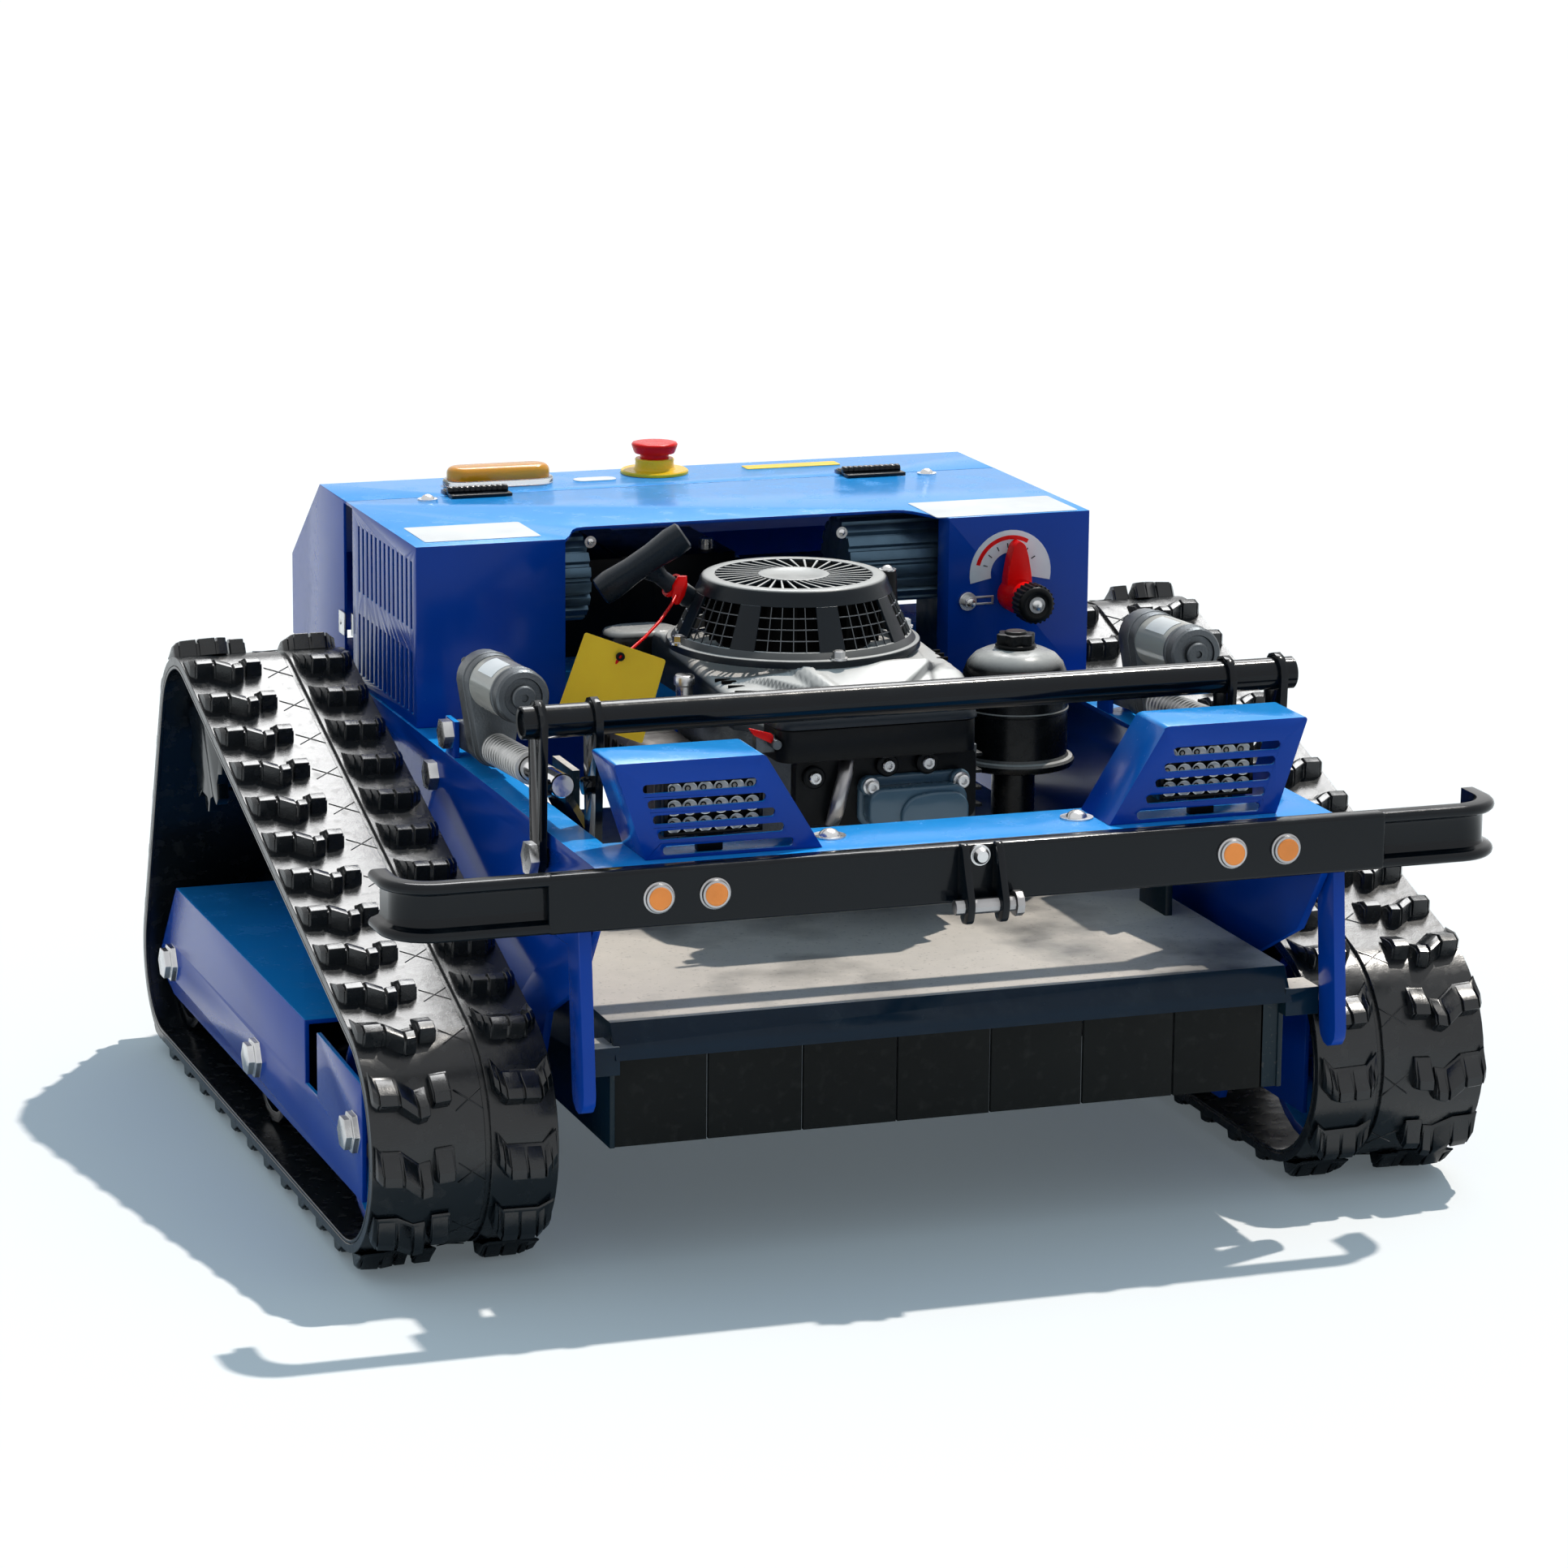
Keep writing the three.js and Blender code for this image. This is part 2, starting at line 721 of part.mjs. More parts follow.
// Rubber belts with two rows of tread blocks each
for (const [hand, side] of sides) {
  const inner = side * beltInnerX;
  const outer = side * trackHalfWidth;
  const outerRow = trackHalfWidth - lugEdgeMargin;
  const innerRow = beltInnerX + lugEdgeMargin + lugRowWidth;
  let belt = cut(
    plateAcross(loopOutline(beltThickness), [inner, outer]),
    plateAcross(loopOutline(0), [inner - overrun * side, outer + overrun * side]));
  const lugs = lugPlaces().flatMap((place) => [
    lug(stepLugShares, side, outerRow, place),
    lug(archLugShares, side, innerRow, place),
  ]);
  belt = joined(belt, ...lugs);
  add(`track_belt_${hand}`, belt, trackRubber);
}

// Idlers and rollers turn on the axles of the track frames.
function wheel(side, radius, y, z, count) {
  const low = side * wheelX - wheelWidth / 2;
  const high = low + wheelWidth;
  const webLow = side * wheelX - wheelWebThickness / 2;
  const webHigh = webLow + wheelWebThickness;
  const bore = axleRadius + axleClearance;
  const rim = radius - wheelRimThickness;
  const profile = [
    [bore, low], [wheelHubRadius, low], [wheelHubRadius, webLow], [rim, webLow], [rim, low], [radius, low],
    [radius, high], [rim, high], [rim, webHigh], [wheelHubRadius, webHigh], [wheelHubRadius, high],
    [bore, high], [bore, low],
  ];
  return turnedAcross(profile, [y, z], count);
}

// Toothed drive wheel with its shaft into the reducer
function sprocket(side) {
  const tip = sprocketRadius;
  const root = sprocketRadius - toothDepth;
  const teeth = Array.from({ length: sprocketTeeth }, (_, i) => {
    const step = 2 * Math.PI / sprocketTeeth;
    const spot = (r, share) => [
      sprocketY + r * Math.cos((i + share) * step), sprocketZ + r * Math.sin((i + share) * step)];
    return [spot(root, 0), spot(tip, 0.2), spot(tip, 0.45), spot(root, 0.65)];
  }).flat();
  const far = wheelX + wheelWidth / 2;
  const near = wheelX - wheelWidth / 2;
  return joined(
    plateAcross(teeth, span(side, near, near + sprocketDiscThickness)),
    plateAcross(teeth, span(side, far - sprocketDiscThickness, far)),
    rod('x', [sprocketY, sprocketZ], sprocketDrumRadius, span(side, near + fitGap, far - fitGap)),
    rod('x', [sprocketY, sprocketZ], driveShaftRadius, span(side, railFace - driveShaftReach, near + overrun)));
}

for (const [hand, side] of sides) {
  add(`drive_sprocket_${hand}`, sprocket(side), blackSteel);
  add(`front_idler_${hand}`, wheel(side, frontIdlerRadius, frontIdlerY, frontIdlerZ, fineSides), paintBlue);
  add(`rear_idler_${hand}`, wheel(side, rearIdlerRadius, rearIdlerY, rearIdlerZ, roundSides), blackSteel);
  add(`mid_roller_${hand}`, wheel(side, midRollerRadius, midRollerY, midRollerZ, roundSides), blackSteel);
}

// Track frames: two side plates, a top plate and three bolted axles
const frameOutline = [
  [frontIdlerY - axleHeadRadius - overrun, trackFrameBottom], [rearIdlerY, trackFrameBottom],
  [trackFrameRear - overrun, rearIdlerZ - axleCollarRadius], [trackFrameRear, rearIdlerZ],
  [rearIdlerY - axleHeadRadius, trackFrameTop],
  [trackFrameSlotY + trackFrameSlotWidth / 2, trackFrameTop],
  [trackFrameSlotY + trackFrameSlotWidth / 2, trackFrameSlotBottom],
  [trackFrameSlotY - trackFrameSlotWidth / 2, trackFrameSlotBottom],
  [trackFrameSlotY - trackFrameSlotWidth / 2, trackFrameTop],
  [trackFrameFront, trackFrameTop - axleHeadThickness],
];
for (const [hand, side] of sides) {
  const axle = (y, z) => joined(
    rod('x', [y, z], axleRadius, span(side, frameInnerX, frameOuterX), smallSides),
    rod('x', [y, z], axleCollarRadius, span(side, frameOuterX, frameOuterX + axleCollarThickness), hexSides),
    rod('x', [y, z], axleHeadRadius,
      span(side, frameOuterX + axleCollarThickness, frameOuterX + axleCollarThickness + axleHeadThickness), hexSides));
  const topPlate = block(
    span(side, frameInnerX, frameOuterX),
    [trackFrameSlotY + trackFrameSlotWidth / 2, rearIdlerY - axleHeadRadius],
    [trackFrameTop - trackFrameSheet, trackFrameTop]);
  const frame = joined(
    plateAcross(frameOutline, span(side, frameOuterX - trackFrameSheet, frameOuterX)),
    plateAcross(frameOutline, span(side, frameInnerX, frameInnerX + trackFrameSheet)),
    topPlate, axle(frontIdlerY, frontIdlerZ), axle(midRollerY, midRollerZ), axle(rearIdlerY, rearIdlerZ));
  add(`track_frame_${hand}`, frame, paintBlue);
}

// Chassis: side rails with skirts, front plate, floor under the hood, rear plate, actuator lugs
const railOutline = [
  [frontPlateFront, railTop], [frontPlateFront, railNoseBottom], [frontPlateFront + frontPlateDrop, railFrontBottom],
  [pivotY, railRearBottom], [-railSkirtHalfLength, railSkirtBottom], [railSkirtHalfLength, railSkirtBottom],
  [railRear, railRearBottom], [railRear, railTop],
];
function sideRail(side) {
  const skin = railHalfWidth;
  const lugY = [actuatorPivotY - actuatorLugHalf, actuatorPivotY + actuatorLugHalf];
  const lugInner = actuatorX - actuatorTongueHalf - lugClearance;
  const lugOuter = actuatorX + actuatorTongueHalf + lugClearance;
  const boltAt = (y, z) => rod('x', [y, z], railBoltRadius, span(side, skin, skin + railBoltThickness), hexSides);
  const spacer = (y) => rod('x', [y, spacerZ], spacerRadius, span(side, railFace, frameInnerX - fitGap), smallSides);
  const plate = cut(
    plateAcross(railOutline, span(side, railFace, skin)),
    rod('x', [sprocketY, sprocketZ], driveShaftRadius + pivotPinClearance * 3, span(side, 0, skin + overrun)),
    rod('x', [pivotY, pivotZ], pivotPinRadius + pivotPinClearance, span(side, 0, skin + overrun), smallSides));
  return joined(
    plate,
    block(span(side, skin - railFlangeWidth, skin), [frontPlateFront, railRear], [railTop - railFlangeThickness, railTop]),
    block(span(side, lugInner - actuatorLugThickness, lugInner), lugY, [railTop - fitGap, actuatorLugTop]),
    block(span(side, lugOuter, lugOuter + actuatorLugThickness), lugY, [railTop - fitGap, actuatorLugTop]),
    rod('x', [actuatorPivotY, actuatorPivotZ], actuatorPinRadius,
      span(side, lugInner - actuatorLugThickness, lugOuter + actuatorLugThickness), smallSides),
    rod('x', [actuatorPivotY, actuatorPivotZ], railBoltRadius - fitGap,
      span(side, lugOuter + actuatorLugThickness, lugOuter + actuatorLugThickness + railBoltThickness), hexSides),
    boltAt(railBoltY, railBoltZ), spacer(-spacerY), spacer(spacerY));
}
const reducerInner = railFace - fitGap - reducerWidth;
const floorCut = (side) => block(
  span(side, reducerInner - overrun, railFace + fitGap),
  [hoodFloorFront - overrun, reducerRear + overrun], [railTop - railFlangeThickness - overrun, railTop + overrun]);
const floor = cut(
  block([-railHalfWidth, railHalfWidth], [hoodFloorFront, railRear], [railTop - railFlangeThickness, railTop]),
  floorCut(-1), floorCut(1));
const flangeCut = (side) => block(
  span(side, reducerInner - overrun, railFace),
  [reducerFront - overrun, reducerRear + overrun], [railTop - railFlangeThickness - overrun, railTop + overrun]);
const chassis = joined(
  cut(joined(sideRail(-1), sideRail(1), floor), flangeCut(-1), flangeCut(1)),
  block([-railHalfWidth, railHalfWidth], [frontPlateFront, frontPlateFront + frontPlateDepth],
    [railTop - railFlangeThickness, railTop]),
  block([-railHalfWidth, railHalfWidth], [frontPlateFront, frontPlateFront + railFlangeThickness],
    [railTop - frontPlateDrop, railTop]),
  block([-railHalfWidth, railHalfWidth], [railRear - railFlangeThickness, railRear], [railRearBottom, railTop]));
add('chassis_frame', chassis, paintBlue);

// Front hood: roof with a scooped front edge, two front boxes with vented sides
function recessEdge() {
  const inner = boxInnerHalf - recessCornerWidth;
  const curve = (side) => new THREE.CubicBezierCurve(
    new THREE.Vector2(side * boxInnerHalf, hoodFront),
    new THREE.Vector2(side * (boxInnerHalf - recessCornerWidth / 2), hoodFront + recessDepth / 2),
    new THREE.Vector2(side * (inner + recessCornerWidth / 2), hoodFront + recessDepth),
    new THREE.Vector2(side * inner, hoodFront + recessDepth)).getPoints(5).map((p) => [p.x, p.y]);
  return [...curve(-1), ...curve(1).reverse()];
}
const roofOutline = [
  [-hoodHalfWidth, hoodFront], ...recessEdge(), [hoodHalfWidth, hoodFront],
  [hoodHalfWidth, hoodSeam], [-hoodHalfWidth, hoodSeam],
];
function hoodSide(side) {
  const wall = block(span(side, hoodHalfWidth - hoodSheet, hoodHalfWidth), [hoodFront, hoodSideRear], [hoodBottom, hoodTop]);
  const recess = hoodHalfWidth - seamRecessDepth;
  const step = block(span(side, recess, hoodHalfWidth), [hoodSideRear - hoodSheet, hoodSideRear], [hoodBottom, hoodTop]);
  const seam = block(span(side, recess, recess + hoodSheet), [hoodSideRear - hoodSheet, hoodSeam], [hoodBottom, hoodTop]);
  const front = block(span(side, boxInnerHalf, hoodHalfWidth), [hoodFront, hoodFront + hoodSheet], [hoodBottom, hoodTop]);
  const fold = block(span(side, boxInnerHalf, boxInnerHalf + hoodSheet),
    [hoodFront, hoodFront + boxReturnDepth], [hoodBottom, hoodTop]);
  const slots = Array.from({ length: ventCount }, (_, i) => {
    const y = hoodFront + ventFirst + i * ventPitch;
    const through = span(side, hoodHalfWidth - hoodSheet - overrun, hoodHalfWidth + overrun);
    return [
      block(through, [y, y + ventWidth], [upperVentBottom, upperVentTop]),
      block(through, [y, y + ventWidth], [lowerVentBottom, lowerVentTop]),
    ];
  }).flat();
  return joined(cut(wall, ...slots), step, seam, front, fold);
}
add('front_hood', joined(plateLevel(roofOutline, [hoodTop - hoodSheet, hoodTop]), hoodSide(-1), hoodSide(1)), paintBlue);

// Rear cover: one folded shell, open below and at the seam
const coverFront = hoodSeam + seamGap;
const coverOutside = [
  [coverFront, hoodBottom], [coverRear, hoodBottom], [coverRear, coverChamferFoot],
  [coverRoofRear, hoodTop], [coverFront, hoodTop],
];
const coverInside = [
  [coverFront - overrun, hoodBottom - overrun], [coverRear - hoodSheet, hoodBottom - overrun],
  [coverRear - hoodSheet, coverChamferFoot - hoodSheet / 2], [coverRoofRear - hoodSheet / 2, hoodTop - hoodSheet],
  [coverFront - overrun, hoodTop - hoodSheet],
];
const hingeY = hoodSeam + seamGap / 2;
const hingeZ = hoodTop + hingeBarrelRadius + fitGap;
const sideTrim = block([-hoodHalfWidth - overrun, hoodHalfWidth + overrun],
  [coverFront - overrun, coverSideFront], [hoodBottom - overrun, hoodTop - hoodSheet]);
const movingLeaf = (side) => block(
  span(side, hingeX - hingeLength / 2, hingeX + hingeLength / 2),
  [hingeY + hingeBarrelRadius + fitGap * 2, hingeY + hingeBarrelRadius + hingeLeafDepth],
  [hoodTop - hoodSheet, hoodTop + hingeLeafThickness]);
const rearCover = joined(
  cut(plateAcross(coverOutside, [-hoodHalfWidth, hoodHalfWidth]),
    plateAcross(coverInside, [hoodSheet - hoodHalfWidth, hoodHalfWidth - hoodSheet]), sideTrim),
  movingLeaf(-1), movingLeaf(1));
add('rear_cover', rearCover, paintBlue);

for (const [hand, side] of sides) {
  const along = span(side, hingeX - hingeLength / 2, hingeX + hingeLength / 2);
  const hinge = joined(
    rod('x', [hingeY, hingeZ], hingeBarrelRadius, along, smallSides),
    block(along, [hingeY - hingeLeafDepth, hingeY], [hoodTop + fitGap, hoodTop + fitGap + hingeLeafThickness]));
  add(`cover_hinge_${hand}`, hinge, blackPlastic);
}

// Emergency stop and beacon on the rear cover
const stopBase = hoodTop + fitGap;
const stopRim = stopBase + stopRingThickness;
const stopRimTop = stopRim + stopCollarHeight;
add('stop_button_base', turned([
  [0, stopBase], [stopRingRadius, stopBase], [stopRingRadius, stopRim], [stopCollarRadius, stopRim],
  [stopCollarRadius, stopRimTop], [stopBoreRadius, stopRimTop], [stopBoreRadius, stopRim], [0, stopRim],
], [0, stopY], fineSides), signalYellow);
const stopHeadFoot = stopRimTop + stopTravel + fitGap;
const stopHeadTop = stopHeadFoot + stopHeadHeight;
const stopStem = stopBoreRadius - fitGap;
add('stop_button', turned([
  [0, stopHeadFoot - stopStemDepth], [stopStem, stopHeadFoot - stopStemDepth], [stopStem, stopHeadFoot],
  [stopHeadRadius, stopHeadFoot], [stopHeadRadius, stopHeadTop - stopHeadHeight / 3],
  [stopHeadRadius * 0.7, stopHeadTop], [0, stopHeadTop],
], [0, stopY], fineSides), signalRed);
const beaconOutline = softened(rectangle(
  [beaconX - beaconLength / 2, beaconX + beaconLength / 2], [beaconY - beaconWidth / 2, beaconY + beaconWidth / 2],
), beaconCorner);
add('beacon_lamp', plateLevel(beaconOutline, [stopBase, stopBase + beaconHeight]), amberLens);

// Throttle lever and its knob on the right front box
const throttleFace = hoodFront - fitGap;
const throttleEnd = throttleFace - throttleHubReach;
const pointer = plateFacing([
  [throttleX - throttlePointerWidth / 2, throttleZ], [throttleX + throttlePointerWidth / 2, throttleZ],
  [throttleX + throttlePointerWidth / 4, throttleZ + throttlePointerLength],
  [throttleX - throttlePointerWidth / 4, throttleZ + throttlePointerLength],
], [throttleFace - fitGap - throttlePointerThickness, throttleFace - fitGap]);
add('throttle_lever', joined(
  rod('y', [throttleX, throttleZ], throttleHubRadius, [throttleEnd, throttleFace]), pointer), signalRed);
add('throttle_knob', rod('y', [throttleX, throttleZ], throttleKnobRadius,
  [throttleEnd - fitGap - throttleKnobThickness, throttleEnd - fitGap], fineSides), blackPlastic);

// Drive motors: finned body on a reducer with a bore for the sprocket shaft
function finnedBarrel([from, to]) {
  const ring = Array.from({ length: motorFins }, (_, i) => {
    const step = 2 * Math.PI / motorFins;
    const spot = (r, share) => [motorY + r * Math.cos((i + share) * step), motorZ + r * Math.sin((i + share) * step)];
    return [spot(motorRadius, 0), spot(motorRadius, 0.6), spot(motorRadius - motorFinDepth, 0.7),
      spot(motorRadius - motorFinDepth, 0.9)];
  }).flat();
  return plateAcross(ring, [from, to]);
}
for (const [hand, side] of sides) {
  const inner = side < 0 ? leftMotorInner : rightMotorInner;
  const body = joined(
    finnedBarrel(span(side, inner, inner + motorLength)),
    block(span(side, reducerInner, railFace - fitGap), [reducerFront, reducerRear], [reducerBottom, reducerTop]));
  const bore = rod('x', [sprocketY, sprocketZ], driveShaftRadius + axleClearance,
    span(side, railFace - driveShaftReach - fitGap, railFace + overrun));
  add(`drive_motor_${hand}`, cut(body, bore), castAlloy);
}

// Battery and control box on the floor under the rear cover
const batteryFloor = railTop + fitGap;
add('battery_pack', block(
  [batteryX - batteryLength / 2, batteryX + batteryLength / 2], [batteryY - batteryDepth / 2, batteryY + batteryDepth / 2],
  [batteryFloor, batteryFloor + batteryHeight]), blackPlastic);
add('control_box', block(
  [controlBoxX - controlBoxWidth / 2, controlBoxX + controlBoxWidth / 2],
  [batteryY - controlBoxDepth / 2, batteryY + controlBoxDepth / 2],
  [batteryFloor, batteryFloor + controlBoxHeight]), castAlloy);

// Mower deck: top plate, skirts, folded front lip, flap rod, lift lugs and arm blocks
const deckUnder = deckTop - deckSheet;
const deckLip = plateAcross([
  [deckFront, deckTop], [lipFront, lipFoot], [lipFront + lipSheet, lipFoot], [deckFront + lipSheet, deckUnder],
  [deckFront + lipSheet + overrun, deckUnder], [deckFront + lipSheet + overrun, deckTop],
], [-deckHalfWidth, deckHalfWidth]);
function deckSide(side) {
  const liftLug = cut(
    block(span(side, lugPlateX - lugPlateThickness / 2, lugPlateX + lugPlateThickness / 2),
      [liftPinY - lugPlateHalf, liftPinY + lugPlateHalf], [deckUnder, liftPinZ + liftPinRadius * 3]),
    block(span(side, lugPlateX - lugPlateThickness, lugPlateX + lugPlateThickness),
      [liftPinY - liftPinFall - liftPinRadius - liftPinClearance, liftPinY + liftPinRise + liftPinRadius + liftPinClearance],
      [liftPinZ - liftPinRadius - liftPinSlack, liftPinZ + liftPinRadius + fitGap]));
  return joined(
    block(span(side, deckHalfWidth - deckSheet, deckHalfWidth), [deckFront, deckRear], [skirtBottom, deckTop]),
    liftLug,
    block(span(side, deckHalfWidth - deckSheet, railHalfWidth + fitGap * 7),
      [armBlockFront, armBlockFront + armBlockDepth],
      [deckTop - armBlockDrop - armBlockHeight, deckTop - armBlockDrop]));
}
const firstFlap = deckSheet + flapSideGap - deckHalfWidth;
const sideStripX = firstFlap + flapPitch * (flapCount - 1) + flapWidth + flapSideGap;
const deck = cut(
  joined(
    block([-deckHalfWidth, deckHalfWidth], [deckFront, deckRear], [deckUnder, deckTop]),
    block([-deckHalfWidth, deckHalfWidth], [deckRear - deckSheet, deckRear], [skirtBottom + lipDrop, deckTop]),
    block([sideStripX, deckHalfWidth - deckSheet / 2], [flapRodY - flapThickness / 2, flapRodY + flapThickness / 2],
      [skirtBottom, deckUnder + fitGap]),
    rod('x', [flapRodY, flapRodZ], flapRodRadius, [-deckHalfWidth + fitGap, deckHalfWidth - fitGap], hexSides),
    deckLip, deckSide(-1), deckSide(1)),
  rod('z', [0, shaftY], deckBoreRadius, [deckUnder - overrun, deckTop + overrun]));
add('mower_deck', deck, deckPaint);

// Rubber flaps along the front edge of the deck
const flapEye = flapRodRadius + flapEyeClearance;
for (let i = 0; i < flapCount; i += 1) {
  const x = firstFlap + i * flapPitch;
  const sheet = block([x, x + flapWidth], [flapRodY - flapThickness / 2, flapRodY + flapThickness / 2],
    [skirtBottom, flapRodZ - flapEye]);
  const roll = rod('x', [flapRodY, flapRodZ], flapEye + flapEyeWall, [x, x + flapWidth], smallSides);
  const bore = rod('x', [flapRodY, flapRodZ], flapEye, [x - overrun, x + flapWidth + overrun], smallSides);
  add(`front_flap_${i + 1}`, cut(joined(sheet, roll), bore), trackRubber);
}

// Cutter bar and its spindle under the engine
const bladeTop = bladeBottom + bladeThickness;
const bladeHalf = bladeWidth / 2;
const bladeOutline = [
  [-bladeRadius + bladeTipCut, -bladeHalf], [bladeRadius - overrun, -bladeHalf], [bladeRadius - overrun, bladeHalf - bladeTipCut],
  [bladeRadius - bladeTipCut, bladeHalf], [-bladeRadius + overrun, bladeHalf],
  [-bladeRadius + overrun, bladeTipCut - bladeHalf],
].map(([x, y]) => [x, y + shaftY]);
add('cutter_blade', plateLevel(bladeOutline, [bladeBottom, bladeTop]), brightSteel);
const hubTop = bladeTop + fitGap + spindleHubHeight;
add('blade_spindle', turned([
  [0, bladeTop + fitGap], [spindleHubRadius, bladeTop + fitGap], [spindleHubRadius, hubTop],
  [spindleShaftRadius, hubTop], [spindleShaftRadius, deckTop], [0, deckTop],
], [0, shaftY]), brightSteel);

// Guide arms bolted to the deck's front corners
for (const [hand, side] of sides) {
  const inner = railHalfWidth + fitGap * 8;
  const bar = capsule([armBottomY, armBottomZ], armRadius, [armTopY, armTopZ], armRadius);
  const ear = capsule([armTopY, armTopZ - armRadius], armRadius, [armEarY, armEarZ], armRadius);
  const across = span(side, inner, inner + armThickness);
  const boltAt = [armEarY, armEarZ];
  add(`deck_arm_${hand}`, joined(plateAcross(bar, across), plateAcross(ear, across),
    rod('x', boltAt, railBoltRadius, span(side, inner, inner + armThickness + armBoltThickness), hexSides)), paintBlue);
}

// Engine: sump, crankcase and cylinder as one block that stands on the deck
const engineFoot = deckTop + fitGap;
const engine = joined(
  rod('z', [0, shaftY], sumpRadius, [engineFoot, engineFoot + sumpThickness]),
  rod('z', [0, shaftY], crankcaseRadius, [engineFoot, crankcaseTop]),
  block([cylinderLeft, cylinderRight], [cylinderFront, shaftY], [cylinderBottom, cylinderTop]));
add('engine_block', engine, castAlloy);

const shroudFoot = crankcaseTop + fitGap;
const shroudOutline = (wall) => [
  [airBoxLeft - 2 * overrun + wall, crankcaseRadius - wall], [airBoxLeft - 2 * overrun + wall, airBoxRear + 4 * overrun],
  [airBoxLeft + overrun + wall, airBoxRear + fitGap + wall], [airBoxRight + overrun - wall, airBoxRear + fitGap + wall],
  [cylinderRight + 3 * overrun - wall, airBoxRear + 4 * overrun], [cylinderRight + 5 * overrun - wall, crankcaseRadius / 8],
  [cylinderRight + 5 * overrun - wall, crankcaseRadius / 1.6 - wall], [cylinderRight - wall, crankcaseRadius - wall],
];
const noseWedge = plateAcross([
  [airBoxRear - overrun, shroudNoseTop], [shaftY - fanRingRadius + overrun, shroudTop],
  [shaftY - fanRingRadius + overrun, shroudTop + overrun], [airBoxRear - overrun, shroudTop + overrun],
], [-fanRingRadius * 2, fanRingRadius * 2]);
const shroud = cut(
  plateLevel(shroudOutline(0), [shroudFoot, shroudTop]), noseWedge,
  plateLevel(shroudOutline(shroudWall), [shroudFoot - overrun, shroudNoseTop - shroudWall]));
add('engine_shroud', shroud, blackPlastic);

// Fan cover: a low cone with eight windows, and the bush of the starter rope
const fanFoot = shroudTop + fitGap;
const fanRingTop = fanFoot + fanRingHeight;
let fanCover = turned([
  [fanRingRadius - 2 * fanWall, fanFoot], [fanRingRadius, fanFoot], [fanRingRadius, fanRingTop],
  [fanSkirtRadius, fanRingTop], [fanShoulderRadius, fanShoulderZ], [fanTopRadius, fanTop], [0, fanTop],
  [0, fanTop - fanWall], [fanTopRadius - fanWall, fanTop - fanWall], [fanShoulderRadius - fanWall, fanShoulderZ - fanWall],
  [fanSkirtRadius - fanWall, fanRingTop], [fanRingRadius - 2 * fanWall, fanFoot],
], [0, shaftY], fineSides);
for (let i = 0; i < fanWindows; i += 1) {
  const opening = new THREE.BoxGeometry(fanWindowWidth, fanRingRadius, fanWindowTop - fanWindowBottom);
  opening.translate(0, fanShoulderRadius + fanRingRadius / 2 - 2 * fanWall, (fanWindowTop + fanWindowBottom) / 2);
  opening.rotateZ((i + 0.5) * 2 * Math.PI / fanWindows).translate(0, shaftY, 0);
  fanCover = fanCover.subtract(solidFrom(opening));
}
const pullDirection = handleCentre.clone().sub(handleSeat).normalize();
const alongPull = (distance) => handleSeat.clone().addScaledVector(pullDirection, distance);
fanCover = cut(
  joined(fanCover, rodBetween(alongPull(-handleBushLength * 2), alongPull(0), handleBushRadius, smallSides)),
  rodBetween(alongPull(-handleBushLength * 4), alongPull(overrun), handleRopeRadius + axleClearance, smallSides));
add('fan_cover', fanCover, blackPlastic);

const barEnd = handleBarDirection.clone().multiplyScalar(handleBarLength / 2);
add('pull_handle', joined(
  rodBetween(handleCentre.clone().sub(barEnd), handleCentre.clone().add(barEnd), handleBarRadius, smallSides),
  rodBetween(alongPull(fitGap), handleCentre, handleStemRadius, smallSides),
  rodBetween(alongPull(-handleRopeReach), alongPull(overrun), handleRopeRadius, smallSides)), blackPlastic);

// Air cleaner, valve cover and muffler
add('air_cleaner', plateFacing(
  softened(rectangle([airBoxLeft, airBoxRight], [airBoxBottom, airBoxTop]), airBoxCorner / 2),
  [airBoxFront, airBoxRear]), blackPlastic);
add('valve_cover', plateFacing(
  softened(rectangle([valveCoverLeft, valveCoverRight], [valveCoverBottom, valveCoverTop]), valveCoverCorner),
  [cylinderFront - fitGap - valveCoverDepth, cylinderFront - fitGap]), castAlloy);
const mufflerFace = -crankcaseRadius - fitGap;
add('muffler', plateFacing(
  softened(rectangle([mufflerFace - mufflerDepth, mufflerFace], [mufflerBottom, mufflerTop]), mufflerCorner),
  [mufflerFront, mufflerRear]), brightSteel);

// Fuel tank on its post, and the cap
add('fuel_tank', turned([
  [0, engineFoot], [tankPostRadius, engineFoot], [tankPostRadius, tankBottom], [tankLipRadius, tankBottom],
  [tankLipRadius, tankBottom + tankLipHeight], [tankRadius, tankBottom + tankLipHeight], [tankRadius, tankShoulder],
  [tankRadius * 0.86, tankShoulder + (tankTop - tankShoulder) * 0.62], [tankNeckRadius, tankTop], [0, tankTop],
], [tankX, tankY], fineSides), blackPlastic);
add('fuel_cap', rod('z', [tankX, tankY], fuelCapRadius,
  [tankTop + fitGap, tankTop + fitGap + fuelCapHeight], hexSides), blackPlastic);

